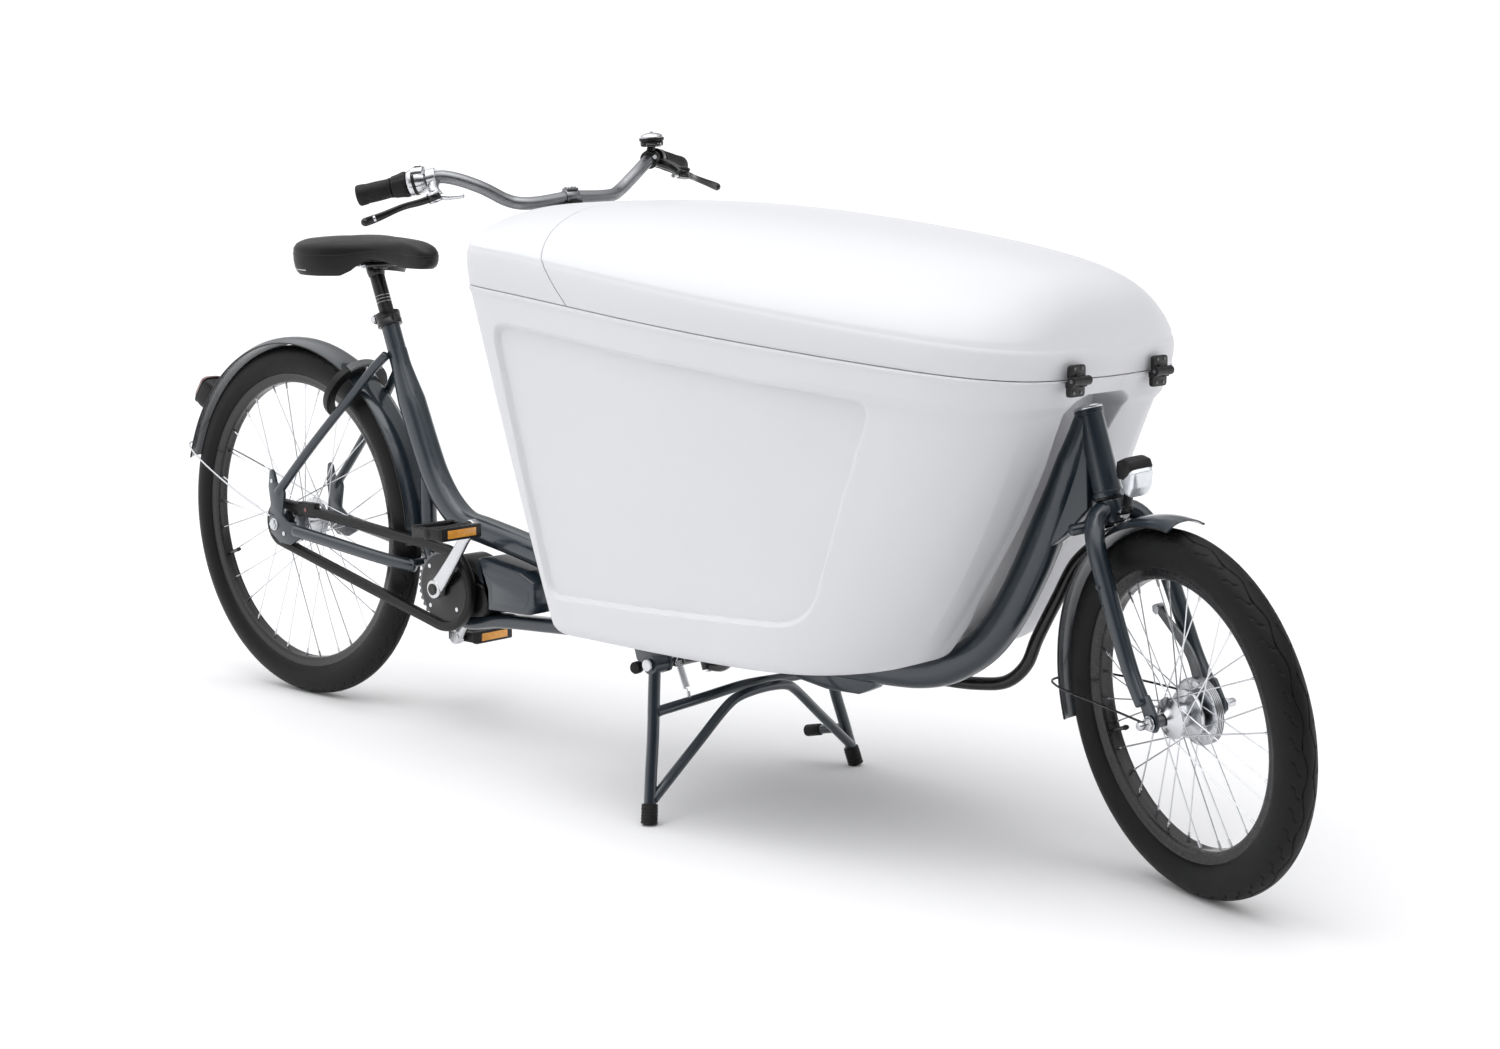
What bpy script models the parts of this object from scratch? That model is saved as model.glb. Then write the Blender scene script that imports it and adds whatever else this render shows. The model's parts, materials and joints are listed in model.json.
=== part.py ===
"""Front-loading cargo bicycle: white lidded box ahead of the rider, 20 inch front wheel steered by a rod, 26 inch rear wheel, mid motor.

Metres, +Z up, +X forward, +Y to the rider's left. The floor is z = 0 and the frame's middle plane is y = 0.
Every shape is written with x counted from the rear axle; the empty "bicycle" shifts it all so that x = 0 and y = 0 are the middles of the overall length and width.
The bars and the fork rest turned to the rider's right.
"""

import math

import bmesh
import bpy
from mathutils import Matrix, Vector

# ---------------------------------------------------------------- driving dimensions
X_MID = 0.9391  # from the rear axle to the middle of the overall length
Y_MID = 0.0156  # from the frame's centre plane to the middle of the overall width
REAR_R, REAR_TYRE_W, REAR_RIM_R = 0.333, 0.047, 0.262
FRONT_R, FRONT_TYRE_W, FRONT_RIM_R = 0.2572, 0.054, 0.1865
WHEELBASE = 1.9737
HEAD_TILT = math.radians(17.0)
HEAD_X, HEAD_Z = 1.9100, 0.2572  # a point on the head axis
FORK_REST = math.radians(-22.0)
BAR_REST = math.radians(-14.1)
COLUMN = Vector((0.753, 0.0, 0.944))  # handlebar clamp, on the column's axis
SPOKES = 32
WHEEL_SIDES = 32
BB = Vector((0.459, 0.0, 0.261))
CRANK_L, CRANK_ANGLE = 0.170, math.radians(46.4)
CHAIN_Y = -0.047
RING_R, SPROCKET_R = 0.0688, 0.0366
SEAT_TILT = math.radians(21.0)
SEAT_CLAMP = Vector((0.269, 0.0, 0.726))
STAND_PIVOT = Vector((1.131, 0.0, 0.239))
LID_HINGE = Vector((1.8440, 0.0, 0.7055))
WALL = 0.006
FORK_ARM = Vector((-0.038, 0.060, 0.0))  # rod joint, from the head axis, unsteered
LINK_RATIO = 22.0 / 14.1
GAP = 0.0004

AXIS = Vector((-math.sin(HEAD_TILT), 0.0, math.cos(HEAD_TILT)))


def head_x(z):
    return HEAD_X - (z - HEAD_Z) * math.tan(HEAD_TILT)


def column_x(z):
    return COLUMN.x - (z - COLUMN.z) * math.tan(HEAD_TILT)


# ---------------------------------------------------------------- scene and materials
for old in list(bpy.data.objects):
    bpy.data.objects.remove(old)

PAINTS = {
    "slate_paint": ((0.028, 0.044, 0.062), 0.28, 0.3),
    "white_shell": ((0.80, 0.81, 0.83), 0.38, 0.0),
    "black_rubber": ((0.015, 0.015, 0.016), 0.75, 0.0),
    "black_plastic": ((0.018, 0.018, 0.020), 0.45, 0.0),
    "black_metal": ((0.02, 0.02, 0.022), 0.35, 0.6),
    "silver_metal": ((0.62, 0.63, 0.65), 0.25, 1.0),
    "bar_alloy": ((0.42, 0.43, 0.45), 0.35, 1.0),
    "saddle_cover": ((0.02, 0.02, 0.021), 0.6, 0.0),
    "lamp_face": ((0.85, 0.87, 0.90), 0.1, 0.2),
    "tail_lens": ((0.05, 0.02, 0.02), 0.25, 0.0),
}


def paint(name, obj):
    colour, rough, metal = PAINTS[name]
    mat = bpy.data.materials.new(obj.name + "_" + name)
    mat.use_nodes = True
    bsdf = mat.node_tree.nodes["Principled BSDF"]
    bsdf.inputs["Base Color"].default_value = (*colour, 1.0)
    bsdf.inputs["Roughness"].default_value = rough
    bsdf.inputs["Metallic"].default_value = metal
    obj.data.materials.clear()
    obj.data.materials.append(mat)


def empty(name, parent=None, matrix=None):
    e = bpy.data.objects.new(name, None)
    e.empty_display_size = 0.05
    bpy.context.scene.collection.objects.link(e)
    e.parent = parent
    if matrix is not None:
        e.matrix_local = matrix
    return e


def turned_about(point, axis, angle):
    return Matrix.Translation(point) @ Matrix.Rotation(angle, 4, axis) @ Matrix.Translation(-Vector(point))


ROOT = empty("bicycle", None, Matrix.Translation((-X_MID, -Y_MID, 0.0)))
HEAD_POINT = Vector((head_x(0.6), 0.0, 0.6))
FORK_LIFT = Vector((0.0, 0.0, 0.0))


# ---------------------------------------------------------------- mesh helpers
def make(name, verts, faces):
    """A temporary object from plain vertices and faces, with its normals outward."""
    mesh = bpy.data.meshes.new(name)
    mesh.from_pydata([tuple(v) for v in verts], [], faces)
    bm = bmesh.new()
    bm.from_mesh(mesh)
    bmesh.ops.recalc_face_normals(bm, faces=bm.faces)
    bm.to_mesh(mesh)
    bm.free()
    obj = bpy.data.objects.new(name, mesh)
    bpy.context.scene.collection.objects.link(obj)
    return obj


def finish(obj, name, material, parent=None, origin=None, sharp=35.0):
    """Names the part, puts its origin on its joint's axis, parents it and paints it."""
    obj.name = name
    obj.data.name = name
    if origin is not None:
        obj.data.transform(Matrix.Translation(-Vector(origin)))
    obj.parent = parent or ROOT
    obj.matrix_local = Matrix.Translation(Vector(origin) if origin is not None else Vector((0, 0, 0)))
    paint(material, obj)
    obj.data.shade_smooth()
    obj.data.set_sharp_from_angle(angle=math.radians(sharp))
    return obj


def combine(a, b, operation):
    mod = a.modifiers.new("cut", "BOOLEAN")
    mod.operation = operation
    mod.solver = "EXACT"
    mod.object = b
    graph = bpy.context.evaluated_depsgraph_get()
    mesh = bpy.data.meshes.new_from_object(a.evaluated_get(graph))
    a.modifiers.clear()
    a.data = mesh
    bm = bmesh.new()
    bm.from_mesh(mesh)
    bmesh.ops.dissolve_degenerate(bm, dist=1e-6, edges=bm.edges)
    bmesh.ops.triangulate(bm, faces=bm.faces)
    bm.to_mesh(mesh)
    bm.free()
    bpy.data.objects.remove(b)
    return a


def union(*parts):
    out = parts[0]
    for other in parts[1:]:
        out = combine(out, other, "UNION")
    return out


def cut(a, *tools):
    for tool in tools:
        a = combine(a, tool, "DIFFERENCE")
    return a


def smooth_path(points, count):
    """Points evenly spaced along a Catmull-Rom curve through the given points."""
    pts = [Vector(p) for p in points]
    pts = [pts[0] * 2 - pts[1]] + pts + [pts[-1] * 2 - pts[-2]]
    fine = []
    for i in range(1, len(pts) - 2):
        p0, p1, p2, p3 = pts[i - 1 : i + 3]
        for k in range(12):
            t = k / 12
            fine.append(
                0.5 * ((2 * p1) + (p2 - p0) * t + (2 * p0 - 5 * p1 + 4 * p2 - p3) * t**2 + (3 * p1 - p0 - 3 * p2 + p3) * t**3)
            )
    fine.append(pts[-2].copy())
    lengths = [0.0]
    for a, b in zip(fine, fine[1:]):
        lengths.append(lengths[-1] + (b - a).length)
    out = []
    j = 0
    for i in range(count):
        want = lengths[-1] * i / (count - 1)
        while j < len(lengths) - 2 and lengths[j + 1] < want:
            j += 1
        span = lengths[j + 1] - lengths[j]
        out.append(fine[j].lerp(fine[j + 1], 0 if span == 0 else min(1, (want - lengths[j]) / span)))
    return out


def sweep(points, size, sides=10, up=(0, 0, 1), power=2.0):
    """A solid tube along the points. size(i) gives (half width, half height); power above 2 squares the section."""
    pts = [Vector(p) for p in points]
    up = Vector(up)
    verts, faces = [], []
    n = len(pts)
    for i, p in enumerate(pts):
        d = (pts[min(i + 1, n - 1)] - pts[max(i - 1, 0)]).normalized()
        w = up.cross(d).normalized()
        h = d.cross(w).normalized()
        a, b = size(i / (n - 1)) if callable(size) else (size, size)
        for k in range(sides):
            t = 2 * math.pi * (k + 0.5) / sides
            c, s = math.cos(t), math.sin(t)
            c = math.copysign(abs(c) ** (2 / power), c)
            s = math.copysign(abs(s) ** (2 / power), s)
            verts.append(p + w * (a * c) + h * (b * s))
    for i in range(n - 1):
        for k in range(sides):
            m = (k + 1) % sides
            faces.append((i * sides + k, i * sides + m, (i + 1) * sides + m, (i + 1) * sides + k))
    faces.append(tuple(range(sides))[::-1])
    faces.append(tuple((n - 1) * sides + k for k in range(sides)))
    return make("tube", verts, faces)


def rod(a, b, r, sides=10, r2=None):
    a, b = Vector(a), Vector(b)
    d = (b - a).normalized()
    up = (0, 0, 1) if abs(d.z) < 0.9 else (1, 0, 0)
    r2 = r if r2 is None else r2
    return sweep([a, b], lambda t: (r + (r2 - r) * t,) * 2, sides, up)


def ring(profile, sides, centre=(0, 0, 0), start=0.0):
    """A closed profile of (radius, y) turned all the way round the Y axis."""
    c = Vector(centre)
    verts, faces = [], []
    m = len(profile)
    for k in range(sides):
        t = start + 2 * math.pi * k / sides
        for r, y in profile:
            verts.append((c.x + r * math.cos(t), c.y + y, c.z + r * math.sin(t)))
    for k in range(sides):
        nk = (k + 1) % sides
        for j in range(m):
            nj = (j + 1) % m
            faces.append((k * m + j, nk * m + j, nk * m + nj, k * m + nj))
    return make("ring", verts, faces)


def turned(profile, sides, centre=(0, 0, 0), start=0.0):
    """An open profile of (radius, y) from end face to end face, turned round the Y axis, with flat ends."""
    c = Vector(centre)
    verts, faces = [], []
    m = len(profile)
    for r, y in profile:
        for k in range(sides):
            t = start + 2 * math.pi * k / sides
            verts.append((c.x + r * math.cos(t), c.y + y, c.z + r * math.sin(t)))
    for j in range(m - 1):
        for k in range(sides):
            nk = (k + 1) % sides
            faces.append((j * sides + k, j * sides + nk, (j + 1) * sides + nk, (j + 1) * sides + k))
    faces.append(tuple(range(sides)))
    faces.append(tuple((m - 1) * sides + k for k in range(sides)))
    return make("turned", verts, faces)


def along(obj, centre, direction):
    """Turns an object made round the Y axis at the origin so that its axis lies along a direction."""
    q = Vector((0, 1, 0)).rotation_difference(Vector(direction).normalized())
    obj.data.transform(Matrix.Translation(Vector(centre)) @ q.to_matrix().to_4x4())
    return obj


def plate(outline, y0, y1):
    """A flat plate: an outline of (x, z) between two y planes."""
    n = len(outline)
    verts = [(x, y0, z) for x, z in outline] + [(x, y1, z) for x, z in outline]
    faces = [tuple(range(n)), tuple(range(n, 2 * n))[::-1]]
    faces += [(i, (i + 1) % n, n + (i + 1) % n, n + i) for i in range(n)]
    return make("plate", verts, faces)


def block(lo, hi):
    return plate([(lo[0], lo[2]), (hi[0], lo[2]), (hi[0], hi[2]), (lo[0], hi[2])], lo[1], hi[1])


def guard_arc(centre, r_in, r_out, half_w, a0, a1, steps, lip=0.010):
    """A curved mudguard sheet with rolled sides, about a wheel's centre, between two angles."""
    c = Vector(centre)
    drop = lip
    prof = [
        (r_in - drop, -half_w), (r_out - drop, -half_w - 0.0008), (r_out - 0.004, -half_w * 0.72), (r_out, 0.0),
        (r_out - 0.004, half_w * 0.72), (r_out - drop, half_w + 0.0008), (r_in - drop, half_w),
        (r_in - 0.004, half_w * 0.66), (r_in, 0.0), (r_in - 0.004, -half_w * 0.66),
    ]
    verts, faces = [], []
    m = len(prof)
    for i in range(steps + 1):
        t = math.radians(a0 + (a1 - a0) * i / steps)
        for r, y in prof:
            verts.append((c.x + r * math.cos(t), c.y + y, c.z + r * math.sin(t)))
    for i in range(steps):
        for j in range(m):
            nj = (j + 1) % m
            faces.append((i * m + j, (i + 1) * m + j, (i + 1) * m + nj, i * m + nj))
    faces.append(tuple(range(m)))
    faces.append(tuple(steps * m + j for j in range(m)))
    return make("guard", verts, faces)


# ---------------------------------------------------------------- wheels
def tyre(centre, radius, width, bead_r, sides):
    h = width / 2
    tall = radius - bead_r
    prof = [(radius, 0.0), (radius - 0.0035, h * 0.52), (radius - tall * 0.27, h * 0.90), (radius - tall * 0.56, h), (bead_r, h * 0.62)]
    prof = prof + [(r, -y) for r, y in prof[:0:-1]]
    return ring(prof, sides, centre, -math.pi / 2)


def rim(centre, inner_r, bead_r, half_w, sides):
    prof = [(inner_r, half_w * 0.45), (inner_r + 0.006, half_w * 0.95), (bead_r, half_w)]
    prof = prof + [(r, -y) for r, y in prof[::-1]]
    return ring(prof, sides, centre, -math.pi / 2)


def hub_and_spokes(centre, hub, flange_y, flange_r, rim_r, phase):
    """One solid: a turned hub body with crossed tension spokes out to just inside the rim."""
    body = turned(hub, 14, centre)
    c = Vector(centre)
    per_side = SPOKES // 2
    r_s = 0.0011
    verts, faces = [], []
    for k in range(SPOKES):
        side = 1 if k % 2 else -1
        pair = (k // 2) % 2
        t_rim = phase + 2 * math.pi * (k + 0.5) / SPOKES
        lead = math.radians(62) * (1 if pair else -1)
        t_hub = t_rim + lead
        y_f = flange_y[0] if side > 0 else flange_y[1]
        a = Vector((c.x + (flange_r - 0.003) * math.cos(t_hub), c.y + y_f, c.z + (flange_r - 0.003) * math.sin(t_hub)))
        b = Vector((c.x + (rim_r * math.cos(math.pi / WHEEL_SIDES) - GAP) * math.cos(t_rim), c.y + 0.0035 * side, c.z + (rim_r * math.cos(math.pi / WHEEL_SIDES) - GAP) * math.sin(t_rim)))
        d = (b - a).normalized()
        w = Vector((0, 1, 0)).cross(d).normalized()
        h = d.cross(w)
        base = len(verts)
        off = 0.0012 * (1 if pair else -1)
        a = a + Vector((0, off, 0))
        for p in (a, b):
            for q in range(3):
                ang = 2 * math.pi * q / 3
                verts.append(p + w * (r_s * math.cos(ang)) + h * (r_s * math.sin(ang)))
        for q in range(3):
            m = (q + 1) % 3
            faces.append((base + q, base + m, base + 3 + m, base + 3 + q))
        faces.append((base, base + 2, base + 1))
        faces.append((base + 3, base + 4, base + 5))
    return union(body, make("spokes", verts, faces))


AXLE_R = Vector((0.0, 0.0, REAR_R))
REAR_BEAD, FRONT_BEAD = REAR_RIM_R + 0.0185, FRONT_RIM_R + 0.0185
finish(tyre(AXLE_R, REAR_R, REAR_TYRE_W, REAR_BEAD + GAP, WHEEL_SIDES), "rear_tyre", "black_rubber", origin=AXLE_R)
finish(rim(AXLE_R, REAR_RIM_R, REAR_BEAD, 0.0135, WHEEL_SIDES), "rear_rim", "black_metal", origin=AXLE_R)
rear_hub = [(0.010, -0.0435), (0.016, -0.0435), (0.040, -0.0215), (0.040, -0.0185), (0.030, -0.016), (0.030, 0.020), (0.040, 0.0225),
            (0.040, 0.0255), (0.018, 0.030), (0.010, 0.052)]
hub = hub_and_spokes(AXLE_R, rear_hub, (0.024, -0.020), 0.040, REAR_RIM_R, math.radians(2.8))
hub = cut(hub, turned([(0.0056, -0.08), (0.0056, 0.08)], 12, AXLE_R))
finish(hub, "rear_hub_spokes", "silver_metal", origin=AXLE_R)

sprocket = ring([(0.0255, -0.0015), (SPROCKET_R, -0.0012), (SPROCKET_R, 0.0012), (0.0255, 0.0015)], 18, (0, CHAIN_Y, REAR_R))
carrier = ring([(0.0122, 0.0030), (0.0122, -0.0050), (0.0270, -0.0012), (0.0270, 0.0012)], 18, (0, CHAIN_Y, REAR_R))
finish(union(sprocket, carrier), "rear_sprocket", "silver_metal", origin=(0, CHAIN_Y, REAR_R))

rear_axle = turned([(0.0050, -0.0560), (0.0050, 0.0560)], 12, AXLE_R)
rear_axle = union(
    rear_axle,
    turned([(0.0050, -0.050), (0.0050, -0.0770), (0.0035, -0.0790)], 12, AXLE_R),
    turned([(0.0050, 0.050), (0.0050, 0.0770), (0.0035, 0.0790)], 12, AXLE_R),
    turned([(0.0090, -0.0714), (0.0090, -0.0765)], 6, AXLE_R),
    turned([(0.0090, 0.0765), (0.0090, 0.0714)], 6, AXLE_R),
)
finish(rear_axle, "rear_axle", "silver_metal")

# ---------------------------------------------------------------- fork side, made straight ahead and then turned
axle_f = Vector((WHEELBASE, 0.0, FRONT_R))
lean = Matrix.Rotation(FORK_REST, 4, AXIS)


def tyre_low_point(centre):
    """Lowest point of the turned front tyre, so that it can be set on the floor."""
    turn = turned_about(HEAD_POINT, AXIS, FORK_REST)
    low = 1.0
    h = FRONT_TYRE_W / 2
    tall = FRONT_R - FRONT_BEAD - GAP
    for k in range(WHEEL_SIDES):
        t = -math.pi / 2 + 2 * math.pi * k / WHEEL_SIDES
        for r, y in ((FRONT_R, 0.0), (FRONT_R - 0.0035, h * 0.52), (FRONT_R - 0.0035, -h * 0.52), (FRONT_R - tall * 0.27, h * 0.9),
                     (FRONT_R - tall * 0.27, -h * 0.9)):
            p = turn @ Vector((centre.x + r * math.cos(t), y, centre.z + r * math.sin(t)))
            low = min(low, p.z)
    return low


# The whole fork slides along the head axis by a hair, so that the turned tyre just touches the floor.
FORK_SLIDE = AXIS * (-tyre_low_point(axle_f) / AXIS.z)
FORK = empty("fork_turn", ROOT, Matrix.Translation(FORK_SLIDE) @ turned_about(HEAD_POINT, AXIS, FORK_REST))

finish(tyre(axle_f, FRONT_R, FRONT_TYRE_W, FRONT_BEAD + GAP, WHEEL_SIDES), "front_tyre", "black_rubber", FORK, axle_f)
finish(rim(axle_f, FRONT_RIM_R, FRONT_BEAD, 0.0150, WHEEL_SIDES), "front_rim", "black_metal", FORK, axle_f)
front_hub = [(0.0075, -0.040), (0.012, -0.040), (0.020, -0.031), (0.029, -0.0275), (0.029, -0.0245), (0.017, -0.020), (0.017, -0.004),
             (0.034, -0.001), (0.034, 0.0045), (0.024, 0.0075), (0.0075, 0.0075)]
hub = hub_and_spokes(axle_f, front_hub, (0.0018, -0.026), 0.029, FRONT_RIM_R, 0.0)
hub = cut(hub, turned([(0.0056, -0.08), (0.0056, 0.08)], 12, axle_f))
finish(hub, "front_hub_spokes", "silver_metal", FORK, axle_f)

front_axle = turned([(0.0050, -0.0480), (0.0050, 0.0480)], 12, axle_f)
front_axle = union(
    front_axle,
    turned([(0.0050, -0.040), (0.0050, -0.0640), (0.0062, -0.0660), (0.0062, -0.0780), (0.0045, -0.0800)], 12, axle_f),
    turned([(0.0050, 0.040), (0.0050, 0.0640), (0.0062, 0.0660), (0.0062, 0.0780), (0.0045, 0.0800)], 12, axle_f),
    turned([(0.0090, -0.0626), (0.0090, -0.0675)], 6, axle_f),
    turned([(0.0090, 0.0675), (0.0090, 0.0626)], 6, axle_f),
)
finish(front_axle, "front_axle", "silver_metal", FORK)

# Roller brake: a finned steel case fixed beside the left flange, with its arm up the fork leg.
brake = ring([(0.0056, 0.0135), (0.0445, 0.0135), (0.0470, 0.0165), (0.0470, 0.0250), (0.0400, 0.0300), (0.0250, 0.0370), (0.0056, 0.0370)], 20, axle_f)
arm_top = Vector((head_x(0.380) + 0.004, 0.034, 0.380))
arm = sweep([axle_f + Vector((-0.006, 0.030, 0.020)), axle_f + Vector((-0.030, 0.033, 0.070)), arm_top], lambda t: (0.011 - 0.005 * t, 0.0035), 6, (0, 1, 0))
anchor = rod(arm_top - Vector((0, 0.006, 0)), arm_top + Vector((0, 0.006, 0)), 0.008, 8)
finish(union(brake, arm, anchor), "front_brake", "silver_metal", FORK)


def fork_leg(side):
    pts = [(0.000, 0.012, 0.522), (0.006, 0.034, 0.512), (0.014, 0.0475, 0.487), (0.021, 0.051, 0.435), (0.0280, 0.053, 0.377), (0.0370, 0.0545, 0.318), (0.0500, 0.0555, 0.279)]
    path = smooth_path([(head_x(z) + x, y * side, z) for x, y, z in pts], 12)
    return sweep(path, lambda t: (0.0140 - 0.0030 * t, 0.0150 - 0.0040 * t), 10, (1, 0, 0))


def fork_tip(side):
    x, z = axle_f.x, axle_f.z
    pts = [(x - 0.030, z + 0.034), (x - 0.006, z + 0.038), (x + 0.010, z + 0.012), (x + 0.013, z - 0.004), (x + 0.007, z - 0.013),
           (x - 0.007, z - 0.013), (x - 0.014, z - 0.002)]
    a = plate(pts, 0.0530 * side, 0.0585 * side)
    return cut(a, turned([(0.0056, -0.09), (0.0056, 0.09)], 12, axle_f))


steerer = rod(Vector((head_x(0.515), 0, 0.515)), Vector((head_x(0.652), 0, 0.652)), 0.0145, 14)
crown = rod(Vector((head_x(0.503), 0, 0.503)), Vector((head_x(0.5335), 0, 0.5335)), 0.0195, 14)
ARM_Z = 0.505
arm_base = Vector((head_x(ARM_Z), 0, ARM_Z))


def off_head(dx, dy, dz):
    """A place beside the head axis: dx and dy square to the axis, dz along it, from the steering arm's height."""
    fwd = Vector((math.cos(HEAD_TILT), 0, math.sin(HEAD_TILT)))
    return arm_base + fwd * dx + Vector((0, dy, 0)) + AXIS * dz


arm_r = rod(off_head(-0.004, -0.004, 0.000), off_head(-0.026, -0.054, 0.0), 0.0085, 10)
arm_l = rod(off_head(-0.004, 0.010, 0.0), off_head(FORK_ARM.x, FORK_ARM.y, 0.0), 0.0075, 10)
arm_eye = rod(off_head(FORK_ARM.x, FORK_ARM.y, -0.0075), off_head(FORK_ARM.x, FORK_ARM.y, 0.0085), 0.0115, 12)
fork = union(crown, steerer, fork_leg(1), fork_leg(-1), arm_r, arm_l, arm_eye, fork_tip(1), fork_tip(-1))
finish(fork, "fork", "slate_paint", FORK, HEAD_POINT)

mud_f = guard_arc(axle_f, 0.2717, 0.2740, 0.0305, 85, 193, 18)
mud_f = cut(mud_f, block((head_x(0.50) - 0.045, -0.020, 0.4985), (head_x(0.50) + 0.050, 0.020, 0.60)))
finish(mud_f, "front_mudguard", "slate_paint", FORK)

a0 = math.radians(181)
tail = axle_f + Vector((0.2785 * math.cos(a0), 0, 0.2785 * math.sin(a0)))
stay = []
for s in (-1, 1):
    stay.append((axle_f.x - 0.012, 0.0630 * s, axle_f.z - 0.001))
pts = [Vector(stay[0]), Vector((axle_f.x - 0.10, -0.0600, axle_f.z)), Vector((tail.x + 0.03, -0.0440, tail.z)), Vector((tail.x - 0.0015, -0.030, tail.z)),
       Vector((tail.x - 0.0022, 0.0, tail.z)), Vector((tail.x - 0.0015, 0.030, tail.z)), Vector((tail.x + 0.03, 0.0440, tail.z)),
       Vector((axle_f.x - 0.10, 0.0600, axle_f.z)), Vector(stay[1])]
finish(sweep(smooth_path(pts, 19), 0.0017, 6), "front_mudguard_stay", "black_metal", FORK)

# Headlight on a bracket from the crown.
LAMP = Vector((head_x(0.577) + 0.079, 0.0, 0.577))
bolt_at = Vector((head_x(0.518) + 0.0235, 0.0, 0.518))
bracket = sweep(smooth_path([bolt_at, bolt_at + Vector((0.012, 0, 0.004)), Vector((LAMP.x - 0.026, 0, 0.532)), Vector((LAMP.x - 0.0185, 0, LAMP.z - 0.0235))], 7),
                lambda t: (0.009, 0.0022), 6)
bracket = union(bracket, along(turned([(0.0085, -0.004), (0.0085, 0.004)], 12), bolt_at + Vector((0.002, 0, 0)), (1, 0, 0.2)),
                rod((LAMP.x - 0.0185, -0.010, LAMP.z - 0.0235), (LAMP.x - 0.0185, 0.010, LAMP.z - 0.0235), 0.0050, 8))
finish(bracket, "headlight_bracket", "black_metal", FORK)
LAMP_PIVOT = Vector((LAMP.x - 0.0185, 0.0, LAMP.z - 0.0235))
lamp_side = [(-0.021, 0.006), (-0.018, 0.021), (-0.004, 0.026), (0.014, 0.022), (0.020, 0.008), (0.014, -0.016), (0.004, -0.030), (-0.006, -0.028), (-0.013, -0.013), (-0.020, -0.006)]
lamp = plate([(LAMP.x + x, LAMP.z + z) for x, z in lamp_side], -0.0195, 0.0195)
finish(lamp, "headlight", "black_plastic", FORK, LAMP_PIVOT, 25)

# ---------------------------------------------------------------- main frame
spine_pts = [(0.2905, 0.669), (0.310, 0.621), (0.337, 0.560), (0.361, 0.505), (0.390, 0.447), (0.426, 0.402), (0.470, 0.372), (0.520, 0.3630), (0.570, 0.3545), (0.620, 0.3455),
             (0.700, 0.328), (0.800, 0.297), (0.890, 0.264), (0.980, 0.245), (1.120, 0.242), (1.300, 0.242), (1.430, 0.242), (1.500, 0.247),
             (1.548, 0.260), (1.608, 0.296), (1.647, 0.340), (1.692, 0.418), (1.718, 0.473), (1.751, 0.545), (1.774, 0.600)]
spine_path = smooth_path([(x, 0, z) for x, z in spine_pts], 36)


def spine_size(t):
    w = 0.0172 + 0.0066 * min(1, max(0, (t - 0.015) / 0.035))
    h = w
    k = min(1, max(0, (t - 0.30) / 0.12))
    w += (0.0262 - w) * k
    h += (0.0270 - h) * k
    k = min(1, max(0, (t - 0.93) / 0.07))
    return w + (0.0190 - w) * k, h + (0.034 - h) * k


spine = sweep(spine_path, spine_size, 10, (0, 1, 0), 2.5)
seat_dir = Vector((-math.sin(SEAT_TILT), 0, math.cos(SEAT_TILT)))
seat_tube = rod(SEAT_CLAMP - seat_dir * 0.070, SEAT_CLAMP + seat_dir * 0.012, 0.0170, 12)
head_low, head_top = Vector((head_x(0.5375), 0, 0.5375)), Vector((head_x(0.657), 0, 0.657))
head_tube = rod(head_low, head_top, 0.0205, 16, 0.0190)
rear_tube = sweep(smooth_path([(0.372, 0, 0.500), (0.366, 0, 0.42), (0.368, 0, 0.34), (0.384, 0, 0.272)], 6), 0.0150, 10, (1, 0, 0))
low_beam = sweep(smooth_path([(0.395, 0, 0.222), (0.47, 0, 0.196), (0.56, 0, 0.207), (0.75, 0, 0.218), (0.95, 0, 0.230)], 9), lambda t: (0.0125, 0.0210), 8, (0, 1, 0), 3.5)
column_tube = rod(Vector((column_x(0.207), 0, 0.207)), Vector((column_x(0.372), 0, 0.372)), 0.0190, 16)
cross = rod((1.088, -0.176, 0.243), (1.088, 0.176, 0.243), 0.0150, 10)
ears = []
for s in (-1, 1):
    ears.append(plate([(1.066, 0.260), (1.106, 0.264), (1.140, 0.256), (1.149, 0.243), (1.146, 0.228), (1.128, 0.2215), (1.096, 0.226), (1.074, 0.234)], 0.1740 * s, 0.1800 * s))
    ears.append(rod((STAND_PIVOT.x, 0.176 * s, STAND_PIVOT.z), (STAND_PIVOT.x, 0.2140 * s, STAND_PIVOT.z), 0.0055, 10))
    ears.append(rod((STAND_PIVOT.x, 0.2125 * s, STAND_PIVOT.z), (STAND_PIVOT.x, 0.2170 * s, STAND_PIVOT.z), 0.0095, 10))
rails = [
    rod((1.0950, -0.1330, 0.2460), (1.1190, -0.1330, 0.2460), 0.0042, 8),
    plate([(1.2400, 0.2260), (1.2600, 0.2040), (1.3200, 0.1955), (1.3850, 0.1965), (1.4080, 0.2070), (1.4200, 0.2260)], -0.0150, 0.0150),
]
for x in (1.02, 1.40):
    rails.append(block((x - 0.016, -0.115, 0.2610), (x + 0.016, 0.115, 0.2745)))
frame = union(spine, seat_tube, head_tube, rear_tube, low_beam, column_tube, cross, *ears, *rails)
frame = cut(
    frame,
    rod(head_low - AXIS * 0.03, head_top + AXIS * 0.03, 0.0152, 14),
    rod(Vector((column_x(0.18), 0, 0.18)), Vector((column_x(0.42), 0, 0.42)), 0.0152, 14),
    rod(SEAT_CLAMP - seat_dir * 0.150, SEAT_CLAMP + seat_dir * 0.05, 0.0141, 12),
)
finish(frame, "main_frame", "slate_paint", sharp=40)

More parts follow.
